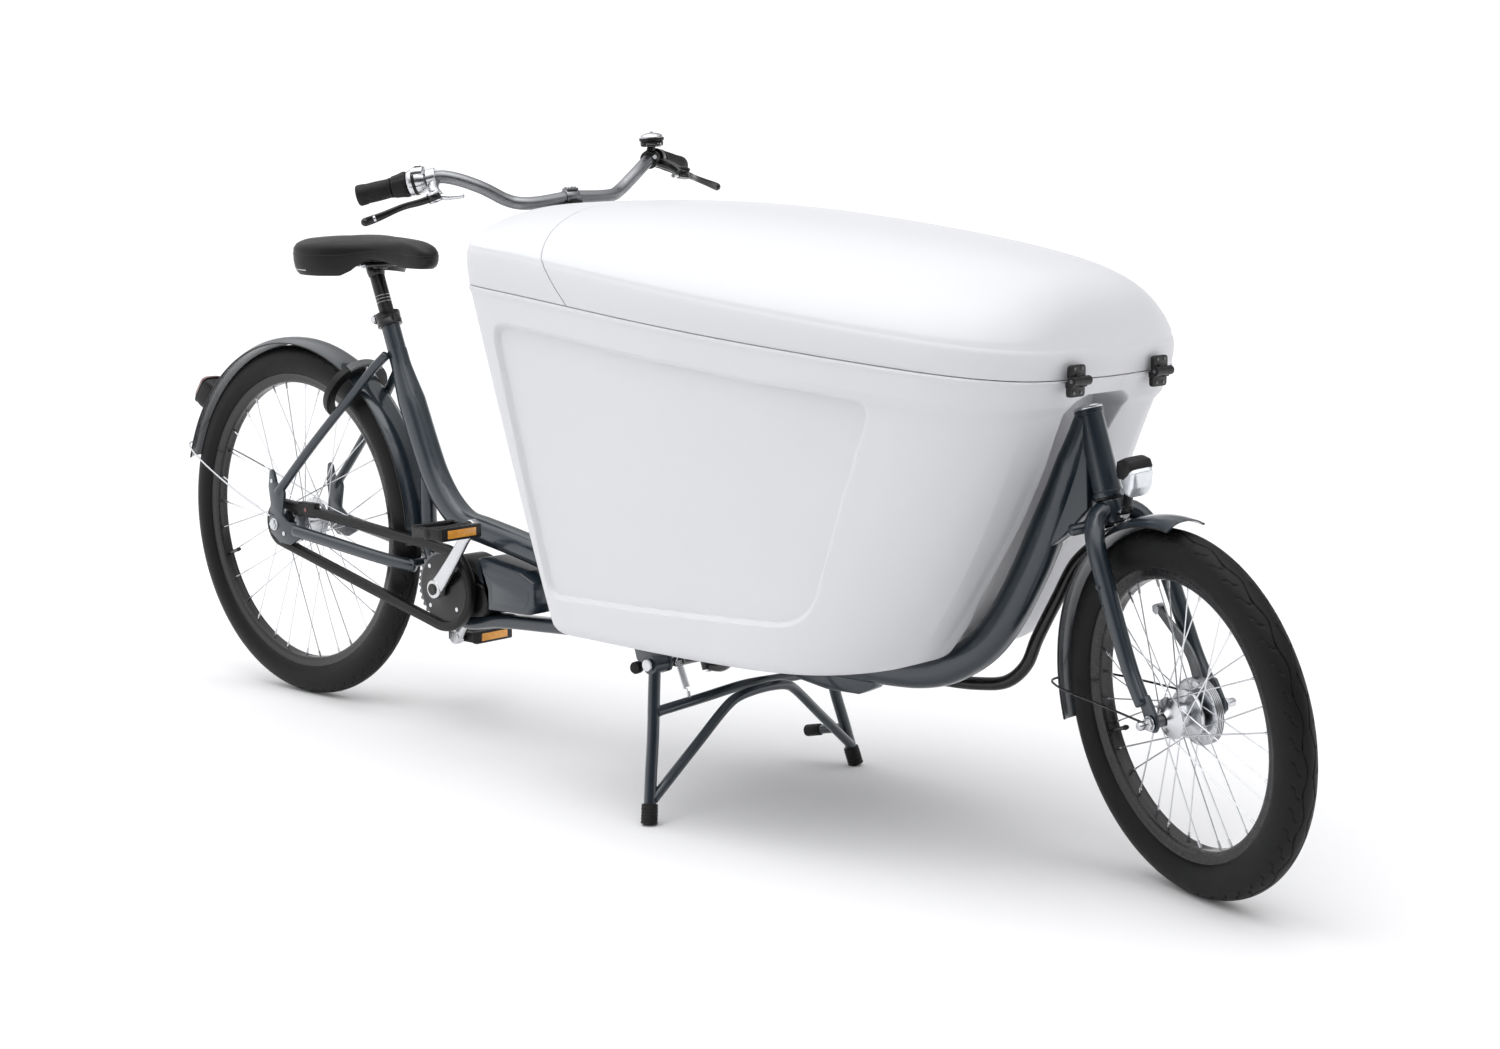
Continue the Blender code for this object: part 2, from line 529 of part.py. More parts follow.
# Rear triangle: stays, dropout plates and the bridge, welded to the seat tube and the motor bracket.
drop_outline = [(-0.0145, 0.404), (-0.0095, 0.433), (-0.0030, 0.438), (0.0035, 0.431), (0.0085, 0.412), (0.0300, 0.404), (0.0330, 0.392), (0.0250, 0.352), (0.0400, 0.342),
                (0.0780, 0.334), (0.0800, 0.314), (0.0460, 0.298), (0.0150, 0.299), (-0.0120, 0.316), (-0.0160, 0.340), (-0.0100, 0.372)]
stays = []
for s in (-1, 1):
    d = plate(drop_outline, 0.0650 * s, 0.0710 * s)
    stays.append(cut(d, turned([(0.0056, -0.09), (0.0056, 0.09)], 12, AXLE_R)))
    path = smooth_path([(0.012, 0.0680 * s, 0.394), (0.100, 0.0600 * s, 0.480), (0.190, 0.0450 * s, 0.568), (0.262, 0.0285 * s, 0.640), (0.292, 0.0190 * s, 0.668)], 8)
    stays.append(sweep(path, 0.0085, 8))
    path = smooth_path([(0.062, 0.0680 * s, 0.326), (0.170, 0.0620 * s, 0.313), (0.290, 0.0480 * s, 0.296), (0.345, 0.0330 * s, 0.288), (0.372, 0.0200 * s, 0.284)], 8)
    stays.append(sweep(path, lambda t: (0.0105, 0.0115), 8))
bridge_low = rod((0.3655, -0.036, 0.2915), (0.3655, 0.036, 0.2915), 0.0080, 8)
triangle = union(stays[0], stays[1], stays[2], bridge_low, stays[3], stays[4], stays[5])
triangle = cut(
    triangle,
    sweep(spine_path[:10], lambda t: tuple(v + GAP for v in spine_size(t * 9 / 35)), 10, (0, 1, 0), 2.5),
    rod(SEAT_CLAMP - seat_dir * 0.073, SEAT_CLAMP + seat_dir * 0.03, 0.0170 + GAP, 12),
    sweep(smooth_path([(0.372, 0, 0.500), (0.366, 0, 0.42), (0.368, 0, 0.34), (0.384, 0, 0.272)], 6), 0.0150 + GAP, 10, (1, 0, 0)),
)
bm = bmesh.new()
bm.from_mesh(triangle.data)
seen, islands = set(), []
for v in bm.verts:
    if v in seen:
        continue
    stack, island = [v], []
    while stack:
        w = stack.pop()
        if w in seen:
            continue
        seen.add(w)
        island.append(w)
        stack += [e.other_vert(w) for e in w.link_edges]
    islands.append(island)
islands.sort(key=len)
for island in islands[:-1]:
    bmesh.ops.delete(bm, geom=island, context="VERTS")
bm.to_mesh(triangle.data)
bm.free()
finish(triangle, "rear_triangle", "slate_paint", sharp=40)

# ---------------------------------------------------------------- drive
motor = turned([(0.030, -0.0370), (0.052, -0.0350), (0.056, -0.0280), (0.056, 0.0400), (0.048, 0.0520), (0.030, 0.0560)], 20, (BB.x + 0.008, 0, BB.z - 0.002))
lobe = turned([(0.022, -0.0330), (0.030, -0.0270), (0.030, 0.0330), (0.022, 0.0400)], 14, (0.526, 0, 0.243))
motor = union(motor, lobe)
motor = cut(
    motor,
    turned([(0.0112, -0.08), (0.0112, 0.08)], 14, BB),
    sweep(smooth_path([(0.395, 0, 0.222), (0.47, 0, 0.196), (0.56, 0, 0.207), (0.75, 0, 0.218), (0.95, 0, 0.230)], 9), lambda t: (0.0125 + GAP, 0.0210 + GAP), 8, (0, 1, 0), 3.5),
    sweep(smooth_path([(0.372, 0, 0.500), (0.366, 0, 0.42), (0.368, 0, 0.34), (0.384, 0, 0.272)], 6), 0.0150 + GAP, 10, (1, 0, 0)),
    block((0.30, -0.0400, 0.262), (0.398, 0.0400, 0.31)),
)
finish(motor, "mid_motor", "black_plastic")

# Battery housing: the faceted case between the motor and the box, under the wide tube.
case_side = [(0.5620, 0.3110), (0.5440, 0.3150), (0.5440, 0.2820), (0.5660, 0.2700), (0.5660, 0.2320), (0.6720, 0.2350), (0.6870, 0.2540), (0.6870, 0.2840), (0.6500, 0.2980)]
case = plate(case_side, -0.0420, 0.0420)
mod_bm = bmesh.new()
mod_bm.from_mesh(case.data)
edges = [e for e in mod_bm.edges if abs(e.verts[0].co.y - e.verts[1].co.y) < 1e-6]
bmesh.ops.bevel(mod_bm, geom=edges, offset=0.006, segments=1, affect="EDGES")
mod_bm.to_mesh(case.data)
mod_bm.free()
finish(case, "battery_housing", "slate_paint", sharp=20)

ring_o = RING_R - 0.0006
chainring = ring([(0.0560, -0.0015), (ring_o, -0.0012), (ring_o, 0.0012), (0.0560, 0.0015)], 28, (BB.x, CHAIN_Y, BB.z))
spider = ring([(0.0125, -0.0060), (0.0300, -0.0040), (0.0570, -0.0014), (0.0570, 0.0010), (0.0300, 0.0016), (0.0125, 0.0030)], 14, (BB.x, CHAIN_Y, BB.z))
finish(union(chainring, spider), "chainring", "black_metal", origin=(BB.x, CHAIN_Y, BB.z))

# Chain: a thin band round both rings, standing just off their teeth.
A, B = Vector((0, 0, REAR_R)), Vector((BB.x, 0, BB.z))
base = math.atan2(B.z - A.z, B.x - A.x)
lean_a = math.asin((RING_R - SPROCKET_R) / (B - A).length)


def belt(offset, front_steps=14, rear_steps=9):
    """The loop round both rings, offset outwards."""
    pts = []
    up, down = base + math.pi / 2 + lean_a, base - math.pi / 2 - lean_a
    for i in range(front_steps + 1):
        t = down + (up - down) * i / front_steps
        pts.append((B.x + (RING_R + offset) * math.cos(t), B.z + (RING_R + offset) * math.sin(t)))
    for i in range(rear_steps + 1):
        t = up + (2 * math.pi - (up - down)) * i / rear_steps
        pts.append((A.x + (SPROCKET_R + offset) * math.cos(t), A.z + (SPROCKET_R + offset) * math.sin(t)))
    return pts


def band(outer, inner, y0, y1):
    n = len(outer)
    verts = []
    for loop in (outer, inner):
        for y in (y0, y1):
            verts += [(x, y, z) for x, z in loop]
    o0, o1, i0, i1 = 0, n, 2 * n, 3 * n
    faces = []
    for k in range(n):
        m = (k + 1) % n
        faces += [(o0 + k, o0 + m, o1 + m, o1 + k), (i0 + k, i1 + k, i1 + m, i0 + m), (o0 + k, i0 + k, i0 + m, o0 + m), (o1 + k, o1 + m, i1 + m, i1 + k)]
    return make("band", verts, faces)


finish(band(belt(0.0052), belt(0.0004 + 0.0014), CHAIN_Y - 0.0035, CHAIN_Y + 0.0035), "chain", "silver_metal")
guard = band(belt(0.0098), belt(-0.0085), CHAIN_Y - 0.0088, CHAIN_Y + 0.0088)
channel = band(belt(0.0078), belt(-0.0125), CHAIN_Y - 0.0068, CHAIN_Y + 0.0068)
guard = cut(guard, channel)
guard = cut(guard, block((-0.075, CHAIN_Y - 0.02, 0.3195), (-0.022, CHAIN_Y + 0.02, 0.3560)))
finish(guard, "chain_guard", "black_plastic", sharp=30)


def crank(side):
    c, s = math.cos(CRANK_ANGLE), math.sin(CRANK_ANGLE)
    sign = -1 if side < 0 else 1
    direction = Vector((c, 0, s)) * (1 if side < 0 else -1)
    start, end = BB + Vector((0, 0.0665 * sign, 0)), BB + direction * CRANK_L + Vector((0, 0.0790 * sign, 0))
    mid1, mid2 = start.lerp(end, 0.25), start.lerp(end, 0.75)
    mid1.y, mid2.y = 0.0680 * sign, 0.0775 * sign
    arm = sweep([start, mid1, mid2, end], lambda t: (0.0150 - 0.0045 * t, 0.0060), 8, (0, 1, 0), 3.0)
    boss = turned([(0.0165, 0.0590 * sign), (0.0165, 0.0725 * sign), (0.0120, 0.0745 * sign)][:: 1 if sign > 0 else -1], 14, BB)
    eye = turned([(0.0125, 0.0720 * sign), (0.0125, 0.0860 * sign)][:: 1 if sign > 0 else -1], 12, BB + direction * CRANK_L)
    out = union(arm, boss, eye)
    return out, end


right, _ = crank(-1)
axle = turned([(0.0105, -0.0600), (0.0105, 0.0585)], 14, BB)
right = union(right, axle)
pin_r = BB + Vector((math.cos(CRANK_ANGLE), 0, math.sin(CRANK_ANGLE))) * CRANK_L
pin_l = BB - Vector((math.cos(CRANK_ANGLE), 0, math.sin(CRANK_ANGLE))) * CRANK_L
right = union(right, turned([(0.0045, -0.1760), (0.0045, -0.0800)], 10, pin_r))
finish(right, "crank_right", "silver_metal", origin=BB)
left, _ = crank(1)
left = union(left, turned([(0.0045, 0.0800), (0.0045, 0.1760)], 10, pin_l))
finish(left, "crank_left", "silver_metal", origin=BB)
RING_OUT = 0.0125


def pedal(name, at, sign):
    x, z = at.x, at.z
    y0, y1 = 0.0885 * sign, 0.1840 * sign
    core = turned([(0.0105, min(y0, y1)), (0.0105, max(y0, y1))], 10, (x, 0, z))
    lo, hi = min(y0, y1), max(y0, y1)
    front = block((x + 0.026, lo + 0.003, z - 0.0115), (x + 0.040, hi - 0.004, z + 0.0115))
    back = block((x - 0.040, lo + 0.003, z - 0.0115), (x - 0.026, hi - 0.004, z + 0.0115))
    inner = block((x - 0.035, (y0 + 0.006 * sign) - 0.005, z - 0.0095), (x + 0.035, (y0 + 0.006 * sign) + 0.005, z + 0.0095))
    outer = block((x - 0.035, (y1 - 0.009 * sign) - 0.005, z - 0.0095), (x + 0.035, (y1 - 0.009 * sign) + 0.005, z + 0.0095))
    p = union(core, inner, outer, front, back)
    p = cut(p, turned([(0.0050, -0.177 if sign < 0 else 0.07), (0.0050, -0.07 if sign < 0 else 0.177)], 10, (x, 0, z)))
    return finish(p, name, "black_plastic", origin=(x, 0.135 * sign, z))


pedal("pedal_right", pin_r, -1)
pedal("pedal_left", pin_l, 1)

# ---------------------------------------------------------------- rear mudguard, lamp and ring lock
finish(guard_arc(AXLE_R, 0.3462, 0.3485, 0.0300, -2, 163, 22), "rear_mudguard", "slate_paint")
t = math.radians(159)
tail = AXLE_R + Vector((0.3527 * math.cos(t), 0, 0.3527 * math.sin(t)))
pts = [(-0.008, -0.0740, 0.3480), (-0.150, -0.0660, 0.3950), (tail.x + 0.025, -0.0400, tail.z - 0.010), (tail.x - 0.0015, -0.0240, tail.z),
       (tail.x - 0.0020, 0.0, tail.z + 0.0005), (tail.x - 0.0015, 0.0240, tail.z), (tail.x + 0.025, 0.0400, tail.z - 0.010), (-0.150, 0.0660, 0.3950), (-0.008, 0.0740, 0.3480)]
finish(sweep(smooth_path(pts, 19), 0.0017, 6), "rear_mudguard_stay", "silver_metal")

t = math.radians(141.5)
lamp_c = AXLE_R + Vector((0.3700 * math.cos(t), 0, 0.3700 * math.sin(t)))
out_dir = Vector((math.cos(t), 0, math.sin(t)))
down_dir = Vector((-math.sin(t), 0, math.cos(t)))
verts, faces = [], []
for k, (u, half) in enumerate(((-0.0195, 0.021), (0.0020, 0.026), (0.0165, 0.022))):
    for v in (-0.033, 0.033):
        vv = v * (1.0 - 0.12 * k)
        for w in (-half, half):
            verts.append(lamp_c + out_dir * u + down_dir * vv + Vector((0, w, 0)))
for k in range(2):
    b = 4 * k
    faces += [(b, b + 1, b + 5, b + 4), (b + 1, b + 3, b + 7, b + 5), (b + 3, b + 2, b + 6, b + 7), (b + 2, b, b + 4, b + 6)]
faces += [(0, 2, 3, 1), (8, 9, 11, 10)]
finish(make("lamp", verts, faces), "rear_light", "black_plastic", sharp=20)

# Ring lock: a channel round the tyre, open at the bottom, whose bolt runs round in it.
LOCK_T = math.radians(57.0)
LOCK_C = AXLE_R + Vector((math.cos(LOCK_T), 0, math.sin(LOCK_T))) * 0.3060
lock_up = Vector((math.cos(LOCK_T), 0, math.sin(LOCK_T)))
lock_n = Vector((-math.sin(LOCK_T), 0, math.cos(LOCK_T)))  # along the tyre, towards the rear


def lock_arc(prof, a0, a1, steps):
    """A profile of (radius, depth) swept about the lock's centre; 90 degrees points away from the hub, 0 to the left."""
    verts, faces = [], []
    m = len(prof)
    for i in range(steps + 1):
        t = math.radians(a0 + (a1 - a0) * i / steps)
        radial = Vector((0, 1, 0)) * math.cos(t) + lock_up * math.sin(t)
        for r, d in prof:
            verts.append(LOCK_C + radial * r + lock_n * d)
    for i in range(steps):
        for j in range(m):
            nj = (j + 1) % m
            faces.append((i * m + j, (i + 1) * m + j, (i + 1) * m + nj, i * m + nj))
    faces.append(tuple(range(m)))
    faces.append(tuple(steps * m + j for j in range(m)))
    return make("arc", verts, faces)


body = lock_arc([(0.0475, 0.0070), (0.0475, -0.0070), (0.0655, -0.0070), (0.0655, 0.0070), (0.0618, 0.0070), (0.0618, -0.0035), (0.0512, -0.0035), (0.0512, 0.0070)], -52, 232, 20)
finish(body, "ring_lock", "black_plastic", sharp=30)
bolt = lock_arc([(0.0522, 0.0060), (0.0522, -0.0025), (0.0608, -0.0025), (0.0608, 0.0060)], -48, 62, 9)
knob = lock_arc([(0.0530, 0.0050), (0.0530, 0.0200), (0.0600, 0.0200), (0.0600, 0.0050)], 46, 58, 1)
finish(union(bolt, knob), "ring_lock_bolt", "silver_metal", origin=LOCK_C)

# ---------------------------------------------------------------- seat
collar = ring([(0.0176, -0.0125), (0.0225, -0.0125), (0.0225, 0.0125), (0.0176, 0.0125)], 14)
collar = union(along(collar, SEAT_CLAMP - seat_dir * 0.002, seat_dir), rod(SEAT_CLAMP + Vector((-0.0235, -0.012, -0.002)), SEAT_CLAMP + Vector((-0.0235, 0.012, -0.002)), 0.0070, 8))
collar = cut(collar, rod(SEAT_CLAMP - seat_dir * 0.05, SEAT_CLAMP + seat_dir * 0.05, 0.0175, 14))
finish(collar, "seat_clamp", "black_metal")
post_top = SEAT_CLAMP + seat_dir * 0.092
post = rod(SEAT_CLAMP - seat_dir * 0.062, post_top, 0.0136, 12)
finish(post, "seatpost", "black_metal", origin=SEAT_CLAMP)
SADDLE = Vector((0.247, 0.0, 0.8380))
clamp_block = block((SADDLE.x - 0.034, -0.0140, 0.8150), (SADDLE.x + 0.012, 0.0140, 0.8310))
railparts = [clamp_block]
for s in (-1, 1):
    railparts.append(sweep(smooth_path([(SADDLE.x - 0.115, 0.026 * s, 0.8310), (SADDLE.x - 0.075, 0.0225 * s, 0.8235), (SADDLE.x + 0.03, 0.0205 * s, 0.8230), (SADDLE.x + 0.085, 0.0130 * s, 0.8290)], 8), 0.0035, 6))
cradle = union(*railparts, block((SADDLE.x - 0.030, -0.0240, 0.8190), (SADDLE.x + 0.008, 0.0240, 0.8275)))
cradle = cut(cradle, rod(SEAT_CLAMP, post_top + seat_dir * 0.0004, 0.0136 + GAP, 12))
finish(cradle, "saddle_rails", "black_metal")


def saddle_outline(scale_y, grow):
    half = [(-0.148, 0.0), (-0.146, 0.045), (-0.138, 0.085), (-0.112, 0.106), (-0.075, 0.1085), (-0.035, 0.090), (0.005, 0.058), (0.045, 0.036), (0.090, 0.0265), (0.128, 0.0240), (0.145, 0.015), (0.150, 0.0)]
    out = [(x, y) for x, y in half] + [(x, -y) for x, y in half[-2:0:-1]]
    return [(SADDLE.x + 0.003 + x * (1 + grow), y * scale_y * (1 + grow)) for x, y in out]


levels = [(0.8385, 0.38, -0.30), (0.8385, 0.80, -0.10), (0.8440, 0.97, -0.01), (0.8580, 1.00, 0.0), (0.8710, 0.90, -0.04), (0.8775, 0.60, -0.20)]
verts, faces = [], []
n = len(saddle_outline(1, 0))
for i, (z, sy, grow) in enumerate(levels):
    for x, y in saddle_outline(sy, grow):
        u = (x - SADDLE.x) / 0.15
        nose_drop = 0.011 * max(0.0, u - 0.25) / 0.75
        skirt = 0.040 * min(1.0, max(0.0, abs(y) - 0.035) / 0.050) * min(1.0, max(0.0, 0.25 - u)) if i in (1, 2) else 0.0
        kick = 0.003 * max(0.0, -u - 0.6) if i > 2 else 0.0
        verts.append((x, y, z - nose_drop * (0.35 if i == 0 else 1.0) - skirt * (1.0 if i == 1 else 0.8) + kick))
for i in range(len(levels) - 1):
    for k in range(n):
        m = (k + 1) % n
        faces.append((i * n + k, i * n + m, (i + 1) * n + m, (i + 1) * n + k))
faces.append(tuple(range(n)))
faces.append(tuple((len(levels) - 1) * n + k for k in range(n)))
finish(make("saddle", verts, faces), "saddle", "saddle_cover", sharp=60)

# ---------------------------------------------------------------- cargo box
# Half outline in plan, from the middle of the rear wall round to the nose: x, y at the rim and at the floor.
RIM = [(0.833, 0.000), (0.833, 0.150), (0.834, 0.289), (0.841, 0.301), (0.858, 0.304), (0.960, 0.308), (1.080, 0.314), (1.180, 0.319), (1.280, 0.320),
       (1.380, 0.315), (1.470, 0.305), (1.560, 0.291), (1.640, 0.274), (1.710, 0.254), (1.764, 0.226), (1.800, 0.190), (1.818, 0.150), (1.826, 0.096), (1.829, 0.046)]
FLOOR = [(0.981, 0.000), (0.981, 0.140), (0.981, 0.252), (0.987, 0.268), (1.000, 0.273), (1.060, 0.277), (1.120, 0.281), (1.180, 0.284), (1.240, 0.286),
         (1.300, 0.286), (1.360, 0.284), (1.410, 0.279), (1.455, 0.268), (1.492, 0.250), (1.522, 0.222), (1.543, 0.186), (1.556, 0.142), (1.562, 0.094), (1.564, 0.048)]
Z_FLOOR = 0.2760
SEAM_Z, SEAM_X, SEAM_SLOPE = 0.8130, 0.853, 0.111


def seam_z(x):
    return SEAM_Z - SEAM_SLOPE * (x - SEAM_X)


def spine_back(z):
    """x of the spine's rear face at a height, for the groove that it lies in."""
    table = [(0.262, 1.470), (0.285, 1.552), (0.320, 1.595), (0.380, 1.640), (0.450, 1.676), (0.520, 1.707), (0.590, 1.736), (0.640, 1.757), (0.720, 1.790)]
    if z <= table[0][0]:
        return table[0][1]
    for (z0, x0), (z1, x1) in zip(table, table[1:]):
        if z <= z1:
            return x0 + (x1 - x0) * (z - z0) / (z1 - z0)
    return table[-1][1]


def tunnel_half(z):
    """Half width of the tunnel in the nose: it opens out round the head tube and closes in an arch."""
    table = [(0.580, 0.036), (0.655, 0.058), (0.672, 0.051), (0.684, 0.030), (0.700, 0.030)]
    for (z0, y0), (z1, y1) in zip([(0.0, 0.036)] + table, table):
        if z <= z1:
            return y0 + (y1 - y0) * (z - z0) / (z1 - z0)
    return table[-1][1]


def body_ring(t, inset, z_floor=Z_FLOOR, groove=True):
    """Closed plan outline at a share t of the height; inset moves it inwards."""
    pts = []
    for (xr, yr), (xf, yf) in zip(RIM, FLOOR):
        u = t ** (0.68 if yr > 0.12 else 0.76 if yr > 0.07 else 0.86)
        x = xf + (xr - xf) * (u if xr > 1.4 else t)
        y = yf + (yr - yf) * t**0.7
        z = z_floor + (seam_z(xr) - z_floor) * t
        pts.append(Vector((x, y, z)))
    out = []
    for i, p in enumerate(pts):
        a, b = pts[max(0, i - 1)], pts[min(len(pts) - 1, i + 1)]
        d = Vector((b.x - a.x, b.y - a.y, 0)).normalized()
        nrm = Vector((-d.y, d.x, 0)) if i else Vector((-1, 0, 0))
        out.append(Vector((p.x, p.y, p.z)) - nrm * inset * (1 if i else 1))
    out[0].y = 0.0
    out[1].y = pts[1].y
    # the tunnel for the spine and head tube: its side and its back
    z = out[-1].z
    nose_x = out[-1].x
    half = tunnel_half(z) + inset
    out[-1].y = max(out[-1].y, half + 0.004)
    out[-2].y = max(out[-2].y, half + 0.012)
    back = min(nose_x - 0.004, spine_back(z) - 0.0145 - inset)
    if not groove:
        back = nose_x - 0.0005
    out.append(Vector((nose_x, half, z)))
    out.append(Vector((back, half * 0.92, z)))
    out.append(Vector((back - 0.001, 0.0, z)))
    left = out
    right = [Vector((p.x, -p.y, p.z)) for p in out[-2:0:-1]]
    return left + right


outer = [body_ring(0.0, 0.026), body_ring(0.012, 0.009), body_ring(0.05, 0.0)]
outer[0] = [Vector((p.x, p.y, Z_FLOOR)) for p in outer[0]]
for t in (0.14, 0.27, 0.44, 0.63, 0.78, 0.882, 0.9216, 0.9495, 0.9600, 1.0):
    outer.append(body_ring(t, 0.0, groove=t < 0.955))
inner = []
for t in (1.0, 0.9780, 0.9650, 0.882, 0.78, 0.44, 0.20, 0.06):
    inner.append(body_ring(t, WALL, groove=t < 0.970))
floor_in = [Vector((p.x, p.y, Z_FLOOR + WALL)) for p in body_ring(0.0, 0.034)]
rings = outer + inner + [floor_in]
n = len(rings[0])
verts = [v for r in rings for v in r]
faces = []
for i in range(len(rings) - 1):
    for k in range(n):
        m = (k + 1) % n
        faces.append((i * n + k, i * n + m, (i + 1) * n + m, (i + 1) * n + k))
faces.append(tuple(range(n)))
faces.append(tuple((len(rings) - 1) * n + k for k in range(n)))
finish(make("tub", verts, faces), "cargo_box", "white_shell", sharp=28)


# ---------------------------------------------------------------- lid and rear cowl
def rim_half(x):
    """Half width of the rim at x."""
    pts = RIM[3:] + [(1.8315, 0.0)]
    for (x0, y0), (x1, y1) in zip(pts, pts[1:]):
        if x <= x1:
            return y0 + (y1 - y0) * max(0.0, (x - x0)) / (x1 - x0)
    return 0.001


CROWN = [(0.80, 0.935), (0.90, 0.939), (1.00, 0.940), (1.10, 0.938), (1.22, 0.931), (1.36, 0.918), (1.50, 0.902), (1.60, 0.889), (1.68, 0.876), (1.74, 0.862),
         (1.790, 0.838), (1.816, 0.806), (1.8295, 0.7550)]


def crown_z(x):
    for (x0, z0), (x1, z1) in zip(CROWN, CROWN[1:]):
        if x <= x1:
            return z0 + (z1 - z0) * max(0.0, (x - x0)) / (x1 - x0)
    return CROWN[-1][1]


def crease_z(x):
    return seam_z(x) + 0.0610 - 0.0170 * min(1.0, max(0.0, (x - 0.95) / 0.85))


def dome_z(x, y):
    q = min(1.0, abs(y) / max(0.001, rim_half(x)))
    low = crease_z(x)
    return low + max(0.0, crown_z(x) - low) * (1 - q**2.6) ** 0.8


def lid_ring(rho, inset, dz):
    """One ring of the dome: the rim outline shrunk towards the middle line."""
    cx = 1.20
    half = RIM + [(1.8305, 0.0)]
    loop = half + [(x, -y) for x, y in half[-2:0:-1]]
    pts = []
    m = len(loop)
    for i, (x, y) in enumerate(loop):
        (xa, ya), (xb, yb) = loop[i - 1], loop[(i + 1) % m]
        d = Vector((xb - xa, yb - ya, 0)).normalized()
        nrm = Vector((-d.y, d.x, 0))
        x, y = x - nrm.x * inset, y - nrm.y * inset
        px, py = cx + (x - cx) * rho, y * rho
        pts.append((px, py, dz))
    return pts


def at_height(ring_pts, fn):
    return [Vector((x, y, fn(x, y) + dz)) for x, y, dz in ring_pts]


def clip_inner(x, y):
    return dome_z(min(1.823, max(0.838, x)), y)


outer = [at_height(lid_ring(1.0, 0.0, 0.0016), lambda x, y: seam_z(x)), at_height(lid_ring(1.0, -0.0030, 0.0), lambda x, y: crease_z(x) - 0.012),
         at_height(lid_ring(1.0, 0.0, 0.0), dome_z), at_height(lid_ring(0.96, 0.0, 0.0), dome_z), at_height(lid_ring(0.86, 0.0, 0.0), dome_z),
         at_height(lid_ring(0.66, 0.0, 0.0), dome_z), at_height(lid_ring(0.38, 0.0, 0.0), dome_z)]
T = WALL
inner = [at_height(lid_ring(0.38, T, -T), dome_z), at_height(lid_ring(0.66, T, -T), dome_z), at_height(lid_ring(0.86, T, -T), dome_z), at_height(lid_ring(0.955, T, -T), dome_z),
         at_height(lid_ring(1.0, T, -T), lambda x, y: min(dome_z(min(1.817, max(0.846, x)), y * 1.02), dome_z(x, y))), at_height(lid_ring(1.0, T, 0.0016), lambda x, y: seam_z(x))]
rings = outer + inner
n = len(rings[0])
verts = [v for r in rings for v in r]
faces = []
for i in range(len(rings) - 1):
    for k in range(n):
        m = (k + 1) % n
        faces.append((i * n + k, i * n + m, (i + 1) * n + m, (i + 1) * n + k))
for k in range(n):
    m = (k + 1) % n
    faces.append(((len(rings) - 1) * n + k, (len(rings) - 1) * n + m, m, k))
# the two middles are closed by a fan about the centre line
top_i, in_i = 6, 7
c_out, c_in = len(verts), len(verts) + 1
verts += [Vector((1.20, 0, dome_z(1.20, 0))), Vector((1.20, 0, dome_z(1.20, 0) - T))]
faces = [f for f in faces if not (min(f) >= top_i * n and max(f) < (in_i + 1) * n and any(v < in_i * n for v in f) and any(v >= in_i * n for v in f))]
for k in range(n):
    m = (k + 1) % n
    faces.append((top_i * n + k, top_i * n + m, c_out))
    faces.append((in_i * n + m, in_i * n + k, c_in))
shell = make("dome", verts, faces)

# The slanting joint between the fixed rear cowl and the lid that opens.
JOINT_AT, JOINT_DIR = Vector((1.071, 0, 0.791)), Vector((-0.642, 0, 0.766))
joint_n = Vector((JOINT_DIR.z, 0, -JOINT_DIR.x))


def half_space(side, gap):
    """A block covering everything on one side of the slanting joint."""
    a = JOINT_AT + joint_n * gap * side
    p, q = a - JOINT_DIR * 1.2, a + JOINT_DIR * 1.2
    r, s = q + joint_n * side * 1.6, p + joint_n * side * 1.6
    return plate([(v.x, v.z) for v in (p, q, r, s)], -0.5, 0.5)


lid = bpy.data.objects.new("lid", shell.data.copy())
bpy.context.scene.collection.objects.link(lid)
cowl = cut(shell, half_space(1, -0.0008))
lid = cut(lid, half_space(-1, -0.0008))
finish(cowl, "box_rear_cowl", "white_shell", sharp=28)
finish(lid, "cargo_lid", "white_shell", origin=LID_HINGE, sharp=28)

for s, word in ((-1, "right"), (1, "left")):
    y = 0.100 * s
    x = LID_HINGE.x - 0.0105
    z = LID_HINGE.z
    base = block((x - 0.0010, y - 0.0200, z - 0.0240), (x + 0.0050, y + 0.0200, z - 0.0085))
    pinb = [rod((LID_HINGE.x - 0.001, y - 0.0200, z), (LID_HINGE.x - 0.001, y - 0.0075, z), 0.0068, 10), rod((LID_HINGE.x - 0.001, y + 0.0075, z), (LID_HINGE.x - 0.001, y + 0.0200, z), 0.0068, 10)]
    web = [block((x - 0.0010, y - 0.0200, z - 0.0090), (x + 0.0080, y - 0.0075, z - 0.0010)), block((x - 0.0010, y + 0.0075, z - 0.0090), (x + 0.0080, y + 0.0200, z - 0.0010))]
    base = union(base, *pinb, *web)
    base = cut(base, bpy.data.objects["cargo_box"] and block((x - 0.05, y - 0.03, z - 0.06), (x - 0.0014, y + 0.03, z + 0.02)))
    finish(base, "hinge_base_" + word, "black_plastic")
    leaf = block((x + 0.0004, y - 0.0190, z + 0.0075), (x + 0.0062, y + 0.0190, z + 0.0205))
    leaf = union(leaf, rod((LID_HINGE.x - 0.001, y - 0.0070, z), (LID_HINGE.x - 0.001, y + 0.0070, z), 0.0068, 10), block((x + 0.0010, y - 0.0070, z + 0.0020), (x + 0.0085, y + 0.0070, z + 0.0090)))
    finish(leaf, "hinge_leaf_" + word, "black_plastic", origin=(LID_HINGE.x, y, LID_HINGE.z))

